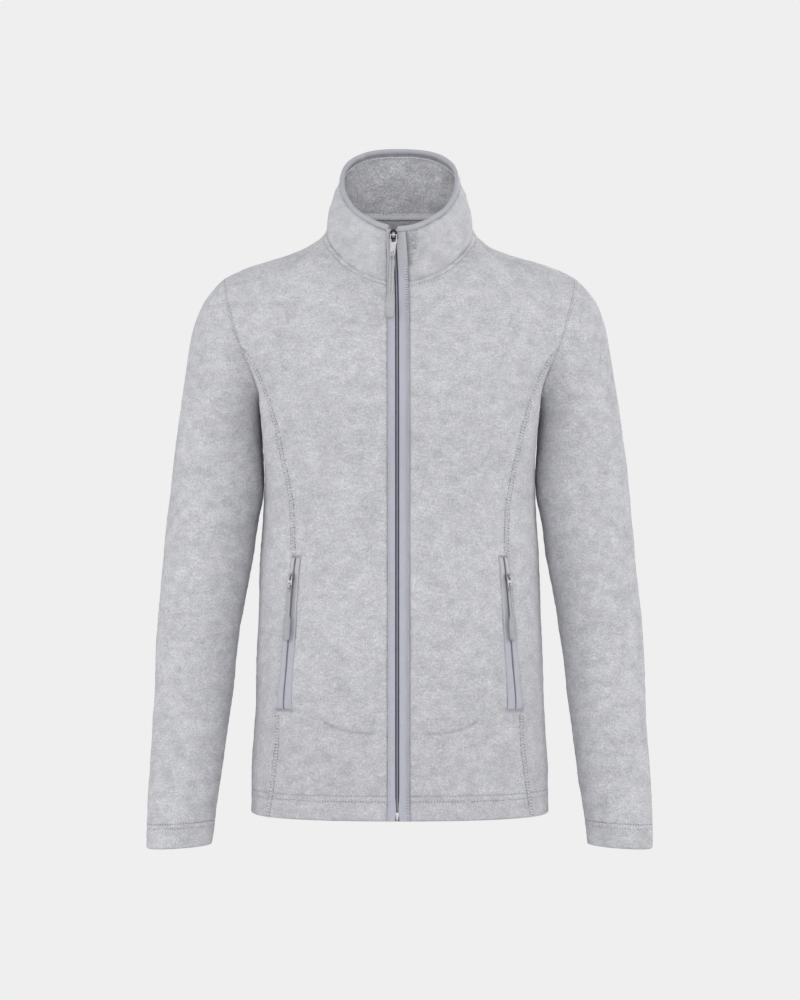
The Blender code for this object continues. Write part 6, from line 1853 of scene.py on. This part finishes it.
def zip_binding(tag, side, outer_edge):
    """Binding over the zip tape's edge and the fleece's edge: a flat rounded
    band that flares a little at the hem."""
    flare = 0.9 * np.exp(-(zip_at / 9.0) ** 2)
    wobble = 0.10 * waves(np.stack([zip_at + 500 * side, 0 * zip_at, 0 * zip_at], axis=-1), 34.0, 117)
    swell = 0.07 * waves(np.stack([zip_at + 500 * side, 0 * zip_at, 0 * zip_at], axis=-1), 15.0, 119)
    # the two bindings close towards each other just over the retainer
    closing = 0.95 * bell(zip_at, 13.0, 9.0)
    # beside the collar the binding lies over the collar's fleece
    over = 1.0 / (1.0 + np.exp(-(zip_path[:, 2] - NECK_FRONT_Z - 1.0) / 1.5))
    share = np.clip((zip_path[:, 2] - NECK_FRONT_Z) / (COLLAR_FRONT_Z - NECK_FRONT_Z), 0, 1)
    over = over * (1.0 + 1.1 * np.sin(math.pi * share))
    # beside the collar's crease the sewn rows go under
    open_rows = 1.0 / (1.0 + np.exp((share - 0.30) / 0.05))
    rows, pressed = [], []
    for k in range(len(zip_path)):
        a, b = STRIP_IN + 0.05 * wobble[k] - closing[k], outer_edge + flare[k] + wobble[k] - (3.1 * share[k] if side < 0 else 0)
        s = swell[k]
        row = [
            (a, -2.0), (a - 0.05, -0.7), (a + 0.12, 0.15), (a + 0.55, 0.72 + s), (a + 1.4, 1.02 + s),
            (a + 3.2, 1.12 + s), ((a + b) / 2 + 0.6, 1.14 + s), (b - 3.4, 1.20 + s), (b - 2.3, 0.98), (b - 1.3, 1.16 + 0.6 * s),
            (b - 0.5, 0.95), (b - 0.06, 0.45), (b, -0.25), (b - 0.4, -0.8), (b - 2.4, -1.1), (a + 1.0, -2.1),
        ]
        if side == 1:        # two sewn rows in a ribbed outer part
            d = 0.30 * open_rows[k]
            row[6:10] = [(b - SEWN - 0.3, 1.12 + s), (b - SEWN + 0.5, 1.10 - d), (b - 2.15, 1.10 + s), (b - 1.25, 1.10 - d)]
        row = [(x, y + 1.15 * over[k] * min(1, max(0, (x - a) / 4))) if y > -1.5 else (x, y) for x, y in row]
        rows.append([(side * x, y) for x, y in row])
        # painted shade: darker at the band's edges and over its sewn rows, less on the narrow band beside the collar
        depth = [0.9, 0.5, 0.15, 0, 0, 0, 0, 0, 0.20, 0.12, 0.10, 0.55, 0.9, 0.9, 0.5, 0.5]
        if side == 1:
            depth[6:12] = [0.05, 0.55 * open_rows[k], 0.14 * open_rows[k], 0.58 * open_rows[k], 0.25 + 0.1 * open_rows[k], 0.75]
        else:
            depth = [d * (1 - 0.65 * share[k]) for d in depth]
        pressed.append(depth)
    sections = strip(zip_path, zip_across, zip_out, np.array(rows))
    # both ends are folded under
    for end in (0, -1):
        middle = sections[end].mean(axis=0)
        sections[end] = middle + (sections[end] - middle) * np.array([0.93, 0.7, 1.0])
    pressed = np.array(pressed) * (1 + 0.35 * waves(sections, 6.0, 118))
    piece = bar("zip_binding_band_" + tag, sections, zip_band, slot="binding", replaces=("zip_binding_" + tag,), pressed=pressed)
    lift = 1.15 * over[:, None] * np.clip((outer_edge - STRIP_IN - 2.0) / 4, 0, 1)
    if side == 1:
        for inset, seed in ((SEWN - 0.5, 121), (1.25, 122)):
            edge = (outer_edge - inset + flare + wobble)[:, None]
            line = (zip_path + zip_across * edge + zip_out * (0.98 + lift))[open_rows > 0.5]
            stitches(line[2:], zip_out[2:len(line)], 2.9, 0.82, 0.34, seed=seed, holes=0.8, dimple_shadow_size=0.8, kind=2)
    else:
        edge = (outer_edge - 2.3 + flare + wobble - 3.1 * share)[:, None]
        line = zip_path + zip_across * (side * edge) + zip_out * (1.0 + lift)
        stitches(line[2:-2], zip_out[2:-2], 2.6, 0.85, 0.22, seed=123, holes=0)
    return piece


zip_pieces = [zip_binding("r", -1, LEFT_OUT), zip_binding("l", 1, RIGHT_OUT)]
for side, tag in ((-1, "r"), (1, "l")):
    rows = np.array([(side * 0.12, -2.25), (side * 3.2, -2.25), (side * 5.0, -2.35), (side * 8.8, -2.6), (side * 8.8, -3.3), (side * 0.12, -3.0)])
    dark = np.tile([1.0, 1.0, 0.0, 0.0, 0.0, 1.0], (len(zip_path), 1))        # slate beside the coil only
    zip_pieces.append(
        bar("zip_tape_band_" + tag, strip(zip_path, zip_across, zip_out, rows), zip_tape, slot="tape", replaces=("zip_tape_" + tag,), pressed=dark)
    )

# coil: two rows of short bars that lie between each other
PITCH = 1.36
BAR_RINGS = ((-1.0, 0.35, 0.0), (-0.86, 0.85, 0.05), (-0.3, 1.0, 0.22), (0.35, 1.0, 0.2), (0.86, 0.9, 0.0), (1.0, 0.4, -0.1))


def coil_shape(length, radius, sides=5):
    shape = [(-length / 2, 0.0, 0.0)]
    for x, size, lift in BAR_RINGS:
        for s in range(sides):
            a = 2 * math.pi * (s + 0.5) / sides
            shape.append((x * length / 2, math.cos(a) * radius * size, math.sin(a) * radius * size * 0.85 + lift))
    shape.append((length / 2, 0.0, 0.0))
    faces = [[0, 1 + (s + 1) % sides, 1 + s] for s in range(sides)]
    for r in range(len(BAR_RINGS) - 1):
        for s in range(sides):
            a, b = 1 + r * sides + s, 1 + r * sides + (s + 1) % sides
            faces.append([a, b, b + sides, a + sides])
    last = 1 + len(BAR_RINGS) * sides
    faces += [[last, last - sides + s, last - sides + (s + 1) % sides] for s in range(sides)]
    return shape, faces


def coil_rows(name, path, across, out, pitch, half, body, replaced, depth=-0.75, radius=0.5):
    """Both sides' teeth along a path; across points to one side of it."""
    run = run_of(path)
    heap = Heap()
    length = half * 1.18
    shape, faces = coil_shape(length, radius)

    def at(places, field):
        return np.stack([np.interp(places, run, field[:, c]) for c in range(3)], axis=-1)

    for side, shift in ((1, 0.25), (-1, 0.75)):
        places = np.arange(0.6 + shift * pitch, run[-1] - 0.3, pitch)
        x, o = unit(at(places, across)), unit(at(places, out))
        y = unit(np.cross(o, x))
        centre = at(places, path) + x * (side * (half - length / 2)) + o * depth
        heap.copies(shape, faces, centre, x * -side, y, o)
        # the cord each side's teeth turn round
        steps = np.arange(0.3, run[-1] - 0.2, pitch)
        a, o = unit(at(steps, across)), unit(at(steps, out))
        spine = at(steps, path) + a * (side * half * 0.62) + o * (depth - 0.35)
        ringed = []
        for k in range(6):
            turn = 2 * math.pi * k / 6
            ringed.append(spine + a * (0.42 * math.cos(turn)) + o * (0.42 * math.sin(turn)))
        ringed = np.stack(ringed, axis=1)
        heap.add(ringed, ring_faces(len(ringed), 6))
    # darker towards both sides of the chain: the dark cords, and painted shade on the teeth's outer ends
    points = np.concatenate(heap.points)
    aside = np.empty(len(points))
    for start in range(0, len(points), 20000):
        part = points[start:start + 20000]
        k = np.clip(np.searchsorted(path[:, 2], part[:, 2]), 1, len(path) - 1)
        aside[start:start + 20000] = np.abs(np.sum((part - path[k]) * across[k], axis=-1))
    return heap.piece(name, [coil], body=body, slot="coil", replaces=replaced, pressed=np.clip((aside / half - 0.30) / 0.28, 0, 1))


low = int(np.searchsorted(zip_path[:, 2], HEM_Z + 10.4))
chain_piece = coil_rows("zip_coil", zip_path[low:-1], zip_across[low:-1], zip_out[low:-1], PITCH, 1.78, "jacket", ("zip_chain",), -0.55, 0.52)


def at_zip(z, offset=0.0, out=0.0):
    y = np.interp(z, zip_path[:, 2], zip_path[:, 1])
    run = unit(np.array([np.interp(z, zip_path[:, 2], zip_run[:, i]) for i in range(3)]))
    normal = unit(np.array([np.interp(z, zip_path[:, 2], zip_out[:, i]) for i in range(3)]))
    across = np.array([1.0, 0.0, 0.0])
    return np.array([zip_x(z), y, z]) + across * offset + normal * out, (across, normal, unit(np.cross(across, normal)))


def pillow(width, thick, square=0.55, n=16):
    """A rounded oblong section."""
    a = np.linspace(0, 2 * math.pi, n + 1)[:-1]
    return np.stack([width / 2 * power(np.cos(a), square), thick / 2 * power(np.sin(a), square)], axis=-1)


def block_rows(centre, axes, rows, square=0.55, n=16):
    """Rings of a rounded block: rows of (place along up, width, thickness, shift out)."""
    across, out, up = axes
    rings = []
    for place, width, thick, lift in rows:
        section = pillow(width, thick, square, n)
        rings.append(centre + up * place + across * section[:, 0:1] + out * (section[:, 1:2] + lift))
    return np.array(rings)


centre, axes = at_zip(HEM_Z + 5.0, 0.0, 0.1)
box_rows = ((-4.7, 3.0, 1.6, 0), (-4.4, 3.9, 2.3, 0), (-3.4, 4.1, 2.5, 0.05), (-1.2, 3.5, 2.5, 0.1), (1.6, 2.3, 2.3, 0.1), (3.9, 1.5, 1.9, 0.05), (4.7, 0.8, 1.0, 0))
zip_pieces.append(bar("zip_retainer", block_rows(centre, axes, box_rows), white_plastic, slot="retainer", replaces=("zip_box",)))


def add_rings(heap, rings, which=0):
    rings = np.asarray(rings, float)
    faces = ring_faces(*rings.shape[:2])
    if outward(rings) < 0:
        faces = [f[::-1] for f in faces]
    heap.add(rings, faces, which)


def slider_piece(name, centre, axes, width, height, replaced, dark=1.0, bridge=3.0):
    """Two flanged plates with the coil between, and a bridge over the upper
    one that the pull's link hangs in."""
    across, out, up = axes
    base = centre + out * 2.5
    h, w = height, width
    heap = Heap()
    upper = [
        (-0.50, 0.50, 0.6), (-0.485, 0.60, 1.0), (-0.44, 0.68, 1.35), (-0.30, 0.76, 1.5), (-0.10, 0.83, 1.55),
        (0.12, 0.93, 1.55), (0.30, 0.99, 1.5), (0.42, 0.97, 1.4), (0.475, 0.88, 1.1), (0.50, 0.72, 0.7),
    ]
    add_rings(heap, block_rows(base, axes, [(a * h, b * w, c, 0.35) for a, b, c in upper], 0.5, 20))
    # side rails that turn down round the teeth
    for s in (-1, 1):
        rails = []
        for place, share, drop in ((-0.40, 0.70, 0.5), (-0.2, 0.80, 1.1), (0.1, 0.92, 1.2), (0.34, 0.97, 1.1), (0.44, 0.90, 0.6)):
            section = pillow(0.75, drop + 0.9, 0.6, 10)
            middle = base + up * (place * h) + across * (s * (share * w / 2 - 0.38)) - out * (drop / 2 - 0.2)
            rails.append(middle + across * section[:, 0:1] + out * section[:, 1:2])
        add_rings(heap, rails)
    # the bridge
    foot, crown = h * 0.30, 4.6
    middle = [(foot, 0.4), (foot + 0.02, 1.6)]
    for k in range(0, 13):
        a = math.pi * k / 12
        middle.append((math.cos(a) * foot, 2.4 + (crown - 2.4) * math.sin(a) ** 0.8))
    middle += [(-foot - 0.02, 1.6), (-foot, 0.4)]
    middle = np.array(middle)
    run = unit(np.gradient(middle, axis=0))
    section = pillow(bridge, 1.0, 0.6, 12)
    rings = []
    for (a, b), (ra, rb) in zip(middle, run):
        side = up * -rb + out * ra
        rings.append(base + up * a + out * b + across * section[:, 0:1] + side * section[:, 1:2])
    add_rings(heap, rings)
    # painted shade: points lower than the bridge's arch darkened by dark
    high = np.dot(np.concatenate(heap.points) - base, out)
    obj = heap.piece(name, [metal], slot="metal", replaces=replaced, smooth=40, pressed=dark * np.clip((2.4 - high) / 0.7, 0, 1))
    return obj, base + out * 2.6


slider_centre, slider_axes = at_zip(-12.5)
slider, eye = slider_piece("front_slider", slider_centre, slider_axes, 9.2, 9.4, ("zip_slider",))


def plate(name, origin, side, down, face, outline, holes, thick, body, replaced):
    """A flat metal plate with holes: outline and holes as (across, down)."""
    curve = bpy.data.curves.new(name + "_line", "CURVE")
    curve.dimensions = "2D"
    curve.fill_mode = "BOTH"
    bevel = 0.22
    for line in [outline] + holes:
        spline = curve.splines.new("POLY")
        spline.points.add(len(line) - 1)
        for point, (x, y) in zip(spline.points, line):
            point.co = (x, y, 0.0, 1.0)
        spline.use_cyclic_u = True
    curve.extrude = thick / 2 - bevel
    curve.bevel_depth = bevel
    curve.bevel_resolution = 2
    curve.offset = -bevel
    made = bpy.data.objects.new(name + "_line", curve)
    bpy.context.scene.collection.objects.link(made)
    bpy.context.view_layer.update()
    graph = bpy.context.evaluated_depsgraph_get()
    mesh = bpy.data.meshes.new_from_object(made.evaluated_get(graph))
    bpy.data.objects.remove(made, do_unlink=True)
    points = np.array([v.co[:] for v in mesh.vertices])
    faces = [list(p.vertices) for p in mesh.polygons]
    bpy.data.meshes.remove(mesh)
    placed = origin + side * points[:, 0:1] + down * points[:, 1:2] + face * points[:, 2:3]
    return made_piece(name, placed, faces, metal, body=body, slot="metal", smooth=40, replaces=replaced)


def rounded(points, radius, n=5):
    """A closed outline with its corners rounded."""
    points = np.asarray(points, float)
    out = []
    for k in range(len(points)):
        a, b, c = points[k - 1], points[k], points[(k + 1) % len(points)]
        r = min(radius, 0.48 * np.linalg.norm(a - b), 0.48 * np.linalg.norm(c - b))
        p, q = b + unit(a - b) * r, b + unit(c - b) * r
        for s in np.linspace(0, 1, n):
            out.append((1 - s) ** 2 * p + 2 * s * (1 - s) * b + s**2 * q)
    return [tuple(p) for p in out]


def rope(heap, line, radius, sides=14, pitch=5.2, ridge=0.055, which=0):
    """A round cord with a faint twist along a smooth line."""
    line = np.asarray(line, float)
    run = run_of(line)
    n = max(8, int(run[-1] / 0.7))
    places = np.linspace(0, run[-1], n)
    path = np.stack([np.interp(places, run, line[:, c]) for c in range(3)], axis=-1)
    for _ in range(3):
        path[1:-1] = (path[:-2] + 2 * path[1:-1] + path[2:]) / 4
    t = unit(np.gradient(path, axis=0))
    u = np.zeros_like(t)
    guide = np.array([1.0, 0.2, 0.1])
    for k in range(len(t)):
        guide = unit(guide - t[k] * np.dot(guide, t[k]))
        u[k] = guide
    v = np.cross(t, u)
    rings = []
    for k in range(n):
        a = 2 * math.pi * np.arange(sides) / sides
        r = radius * (1 + ridge * np.cos(4 * (a + 2 * math.pi * places[k] / pitch / 4)) + ridge * np.cos(4 * (a - 2 * math.pi * places[k] / pitch / 4)))
        rings.append(path[k] + u[k] * (np.cos(a) * r)[:, None] + v[k] * (np.sin(a) * r)[:, None])
    add_rings(heap, rings, which)


def curve_through(points, n=10):
    points = np.asarray(points, float)
    out = []
    for i in range(len(points) - 1):
        p0, p1, p2, p3 = points[max(i - 1, 0)], points[i], points[i + 1], points[min(i + 2, len(points) - 1)]
        for t in np.linspace(0, 1, n, endpoint=False):
            out.append(0.5 * (2 * p1 + (p2 - p0) * t + (2 * p0 - 5 * p1 + 4 * p2 - p3) * t**2 + (3 * p1 - p0 - 3 * p2 + p3) * t**3))
    out.append(points[-1])
    return np.array(out)


def pull(tag, body, eye, axes, slope, link_length, cord_end, tab_end, tab_width, lean, wide):
    """Link, cord loop and moulded end, on the lines of the CAD's pull."""
    across, out, _ = axes
    down = unit(-np.array([0.0, 0.0, 1.0]) + out * slope + across * lean)
    side = unit(across - down * np.dot(across, down))
    face = unit(np.cross(side, down))
    if np.dot(face, out) < 0:
        face = -face
    top = eye - down * 0.95                       # the link's upper bar hangs in the bridge
    length = link_length + 1.7
    if wide:
        outline = rounded([(-3.9, 0.0), (3.9, 0.0), (4.0, 3.0), (3.8, 9.6), (3.1, 13.0), (2.6, length), (-2.6, length), (-3.1, 13.0), (-3.8, 9.6), (-4.0, 3.0)], 1.5)
        slot = rounded([(-2.75, 1.2), (2.75, 1.2), (2.8, 6.2), (2.0, 9.0), (-2.0, 9.0), (-2.8, 6.2)], 1.3)
        low_hole = rounded([(-1.7, length - 4.6), (1.7, length - 4.6), (1.55, length - 1.4), (-1.55, length - 1.4)], 1.4)
        thick = 1.5
    else:
        outline = rounded([(-2.9, 0.0), (2.9, 0.0), (2.95, 4.0), (2.6, length), (-2.6, length), (-2.95, 4.0)], 1.3)
        slot = rounded([(-1.7, 1.5), (1.7, 1.5), (1.6, 4.9), (-1.6, 4.9)], 1.1)
        low_hole = rounded([(-1.5, length - 4.9), (1.5, length - 4.9), (1.35, length - 1.5), (-1.35, length - 1.5)], 1.2)
        thick = 1.35
    link = plate(tag + "_plate", top, side, down, face, outline, [slot[::-1], low_hole[::-1]], thick, body, (tag + "_link",))
    bar_at = top + down * (length - 0.75)
    r = 1.38 if wide else 1.1
    gap = 1.30 if wide else 1.06
    lift = r + thick / 2 + 0.15
    def place(d, s, f):
        return eye + down * d + side * s + face * f
    hang = np.dot(bar_at - eye, down)
    loop = [
        place(cord_end + 1.2, -gap, 0.0), place((hang + cord_end) / 2 + 6, -gap, -0.15), place(hang + 7.5, -gap, -0.6),
        place(hang + 2.6, -gap * 0.85, -lift * 0.86), place(hang + 0.1, -gap * 0.5, -lift), place(hang - 1.7 - r * 0.4, -gap * 0.15, -lift * 0.55),
        place(hang - 2.2 - r * 0.4, 0.0, 0.0),
        place(hang - 1.7 - r * 0.4, gap * 0.15, lift * 0.55), place(hang + 0.1, gap * 0.5, lift), place(hang + 2.6, gap * 0.85, lift * 0.86),
        place(hang + 7.5, gap, 0.6), place((hang + cord_end) / 2 + 6, gap, 0.15), place(cord_end + 1.2, gap, 0.0),
    ]
    heap = Heap()
    rope(heap, curve_through(loop), r)
    # darker in spots where it turns round the link
    spots = np.concatenate(heap.points)
    along = np.dot(spots - eye, down)
    darker_spots = bell(along, hang + 3.2, 2.4) * np.clip(0.5 + 1.2 * waves(spots, 2.2, 171), 0, 1)
    made = heap.piece(tag + "_rope", [cord_look], body=body, slot="cord", replaces=(tag + "_cord",), pressed=darker_spots)
    length = tab_end - cord_end
    w = tab_width
    rows = [
        (0.0, 0.62 * w, 2.0), (0.35, 0.74 * w, 2.6), (1.1, 0.80 * w, 2.95), (2.6, 0.84 * w, 3.0), (3.4, 0.93 * w, 3.2),
        (4.4, 0.99 * w, 3.35), (length * 0.5, 1.0 * w, 3.35), (length - 5.0, 1.0 * w, 3.3), (length - 3.4, 0.965 * w, 3.25),
        (length - 2.2, 0.88 * w, 3.1), (length - 1.2, 0.74 * w, 2.8), (length - 0.5, 0.56 * w, 2.3), (length - 0.1, 0.34 * w, 1.5),
    ]
    rings = block_rows(eye + down * cord_end, (side, face, down), [(a, b, c, 0.0) for a, b, c in rows], 0.62, 24)
    end = bar(tag + "_end", rings, tab_look if wide else pocket_tab_look, sharp=60, body=body, slot="pull_end", replaces=(tag + "_tab",))
    return [link, made, end]


CHEST_OUT = np.array([0.0, -1.0, 0.0])
UP = np.array([0.0, 0.0, 1.0])
pull("front_pull", "front_pull", eye, (np.array([1.0, 0.0, 0.0]), CHEST_OUT, UP), 0.115, 22.0, 63.6, 92.0, 9.2, -0.048, True)


# --------------------------------------------------------- pocket mouths
def mouth_frame(z, share):
    """A point between the mouth's side edge (share 0) and front edge (1)."""
    keys, values = SEAM_X
    x = np.interp(z, keys, values)
    width = MOUTH_END + (MOUTH_TOP - MOUTH_END) * (z - POCKET_END) / (POCKET_TOP - POCKET_END)
    point = front_at(x - width * share, z)
    close = front_at(x - width * share - 0.5, z)
    above = front_at(np.interp(z + 0.5, keys, values) - width * share, z + 0.5)
    across = unit(close - point)
    run = unit(above - point)
    out = unit(np.cross(across, run))
    out = np.where(out[..., 1:2] > 0, -out, out)
    across = unit(np.cross(run, out))
    across = np.where(np.sum(across * (close - point), axis=-1, keepdims=True) < 0, -across, across)
    return point, across, out


welt_z = np.linspace(POCKET_END + 0.6, POCKET_TOP - 0.6, 84)


def shares(low, high):
    t = (welt_z - POCKET_END) / (POCKET_TOP - POCKET_END)
    return low + (high - low) * t


def welt(name, side, low, high, crown, depth, looks, slot, replaced, seed):
    """A rounded folded strip between two shares of the mouth's width."""
    a, _, out = mouth_frame(welt_z, shares(low[0], low[1]))
    b, _, _ = mouth_frame(welt_z, shares(high[0], high[1]))
    wave = 0.06 * waves(a + 900.0 * side, 16.0, seed)
    low_ends = np.clip(0.25 + 0.33 * np.minimum(np.arange(len(welt_z)), np.arange(len(welt_z))[::-1]), 0, 1)[:, None]
    rings = []
    for share, lift in (
        (0.0, -0.9), (-0.01, -0.2), (0.03, 0.45), (0.12, 0.86), (0.28, 1.0), (0.5, 1.02), (0.72, 1.0), (0.88, 0.86),
        (0.97, 0.45), (1.01, -0.2), (1.0, -0.9), (0.85, -depth), (0.15, -depth),
    ):
        height = lift * crown * low_ends if lift > 0 else lift
        rings.append(a + (b - a) * share + out * (height + (wave[:, None] if lift > 0.4 else 0.0)))
    rings = real(np.stack(rings, axis=1), side)
    return bar(name, rings, looks, slot=slot, replaces=replaced)


welts = {}
for side, tag in ((-1, "r"), (1, "l")):
    one = welt("pocket_edge_side_" + tag, side, (0.0, 0.0), (0.395, 0.33), 0.95, 2.0, welt_cloth, "binding", ("pocket_welt_side_" + tag,), 131 + side)
    two = welt("pocket_edge_front_" + tag, side, (0.49, 0.53), (1.0, 1.0), 1.0, 2.0, front_welt_cloth, "binding", ("pocket_welt_front_" + tag,), 133 + side)
    welts[tag] = [one, two]
    a, _, out = mouth_frame(welt_z, shares(0.4425, 0.43))
    b, _, _ = mouth_frame(welt_z, shares(0.60, 0.60))
    path, across, out = real(a, side), unit(real(b - a, side)), real(out, side)
    across = unit(across - out * np.sum(across * out, axis=-1, keepdims=True))
    welts[tag].append(
        coil_rows("pocket_coil_" + tag, path - out * 0.35, across, out, 1.2, 0.95, "jacket", ("pocket_chain_" + tag,), -0.4, 0.38)
    )
    # stitches along the welt's own fold, and bar tacks over both ends
    for share, seed in ((0.90, 141), (0.09, 143)):
        line, _, out = mouth_frame(welt_z, np.full(len(welt_z), share))
        line, out = real(line, side), real(out, side)
        stitches(line[3:-3] + out[3:-3] * 0.86, out[3:-3], 2.7, 0.85, 0.22, seed=seed + side, holes=0)
    for z0, step in ((POCKET_TOP + 0.4, 1), (POCKET_END - 0.4, -1)):
        width = MOUTH_TOP if step > 0 else MOUTH_END
        for k in range(5):
            z_row = np.full(9, z0 + step * (0.62 * k - 0.9))
            share = np.linspace(-0.10, 1.10, 9)
            keys, values = SEAM_X
            x = np.interp(z_row, keys, values) - width * share
            line = front_at(x, z_row)
            out = form_normal(line)
            line, out = real(line, side), real(out, side)
            stitches(line + out * 1.10, out, 2.9, 1.45, 0.28, seed=150 + k + side, holes=0)

    point, across, out = mouth_frame(np.array(-388.0), 0.42)
    flip = np.array([side, 1.0, 1.0])
    out = out * flip
    level_out = unit(out * np.array([1.0, 1.0, 0.0]))
    level_across = unit(np.cross(UP, level_out))
    if level_across[0] < 0:
        level_across = -level_across
    up = unit(np.cross(level_across, out))
    if up[2] < 0:
        up = -up
    body_name = "pocket_pull_" + tag
    slide, pocket_eye = slider_piece("pocket_slide_" + tag, point * flip + out * 0.3, (level_across, out, up), 5.6, 7.6, ("pocket_slider_" + tag,), 0.45, 1.9)
    pull(body_name, body_name, pocket_eye, (level_across, level_out, UP), 0.055, 10.5, 43.5, 70.2, 8.8, 0.045 * side, False)

stitch_piece = threads.piece("stitches", [thread, hole, pale_thread], slot="binding")

# ---------------------------------------------------- the cloth pieces' sizes and what is sewn on each, gathered and not used
going = {
    "collar_cloth": [rim_piece, tape_piece],
    "front_cloth_r": [zip_pieces[0], zip_pieces[2]] + welts["r"][1:2],
    "front_cloth_l": [zip_pieces[1], zip_pieces[3]] + welts["l"][1:2],
    "side_cloth_r": welts["r"][0:1],
    "side_cloth_l": welts["l"][0:1],
}
for piece, (flat, area) in sheets.items():
    share = min(area, flat[0] * flat[1])
    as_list(going.get(piece.name, []))

# ------------------------------------------------- light, floor, camera
scene = bpy.context.scene
scene.view_settings.view_transform = "Standard"
scene.view_settings.look = "None"
scene.view_settings.exposure = 0.0
scene.view_settings.gamma = 1.0

paper = look("studio_paper", (0.02, 0.02, 0.02), 1.0, specular=0.0)
t = Tree(paper)
t.shader.inputs["Emission Color"].default_value = (0.8590, 0.8590, 0.8590, 1.0)
t.shader.inputs["Emission Strength"].default_value = 1.0
t.colour(t.ramp(t.noise(3.0), [(0.0, (0.004, 0.004, 0.004)), (1.0, (0.006, 0.006, 0.006))]))


def stage_mesh(name, make):
    bm = bmesh.new()
    make(bm)
    mesh = bpy.data.meshes.new(name)
    bm.to_mesh(mesh)
    bm.free()
    mesh.materials.append(paper)
    mesh.shade_smooth()
    obj = bpy.data.objects.new(name, mesh)
    scene.collection.objects.link(obj)
    obj.visible_diffuse = False
    obj.visible_glossy = False
    obj.visible_transmission = False
    obj.visible_shadow = False
    return obj


dome = stage_mesh("backdrop", lambda bm: bmesh.ops.create_uvsphere(bm, u_segments=64, v_segments=32, radius=12.0))
floor = stage_mesh("floor", lambda bm: bmesh.ops.create_circle(bm, cap_ends=True, segments=96, radius=11.6))
floor.location = (0.0, 0.0, -2.9)

world = bpy.data.worlds.new("studio") if scene.world is None else scene.world
scene.world = world
world.use_nodes = True
world.node_tree.nodes["Background"].inputs["Color"].default_value = (0.990, 0.993, 1.0, 1.0)
world.node_tree.nodes["Background"].inputs["Strength"].default_value = 0.58


def soft_light(name, place, aim, size, power_w, colour=(1.0, 1.0, 1.0)):
    light = bpy.data.lights.new(name, "AREA")
    light.shape = "RECTANGLE"
    light.size, light.size_y = size
    light.energy = power_w
    light.color = colour
    obj = bpy.data.objects.new(name, light)
    scene.collection.objects.link(obj)
    obj.location = place
    way = np.array(aim, float) - np.array(place, float)
    yaw = math.atan2(way[1], way[0]) - math.pi / 2
    pitch = math.atan2(way[2], math.hypot(way[0], way[1]))
    obj.rotation_euler = (math.pi / 2 + pitch, 0.0, yaw)
    return obj


soft_light("key_front", (0.0, -3.6, 0.1), (0.0, 0.0, -0.3), (2.0, 1.8), 33.5)
soft_light("side_right", (-3.2, -1.2, 0.5), (0.0, 0.0, -0.3), (2.0, 2.4), 33.0)
soft_light("side_left", (3.2, -1.2, 0.5), (0.0, 0.0, -0.3), (2.0, 2.4), 33.0)
soft_light("key_back", (1.6, 3.2, 1.4), (0.0, 0.0, -0.25), (1.8, 1.8), 46.0)

camera_data = bpy.data.cameras.new("camera")
camera_data.lens = 128.5714
camera_data.sensor_width = 36.0
camera = bpy.data.objects.new("camera", camera_data)
scene.collection.objects.link(camera)
camera.location = (0.00034, -4.0, -0.3035)
camera.rotation_euler = (math.pi / 2, 0.0, 0.0)
camera_data.clip_end = 60.0
scene.camera = camera
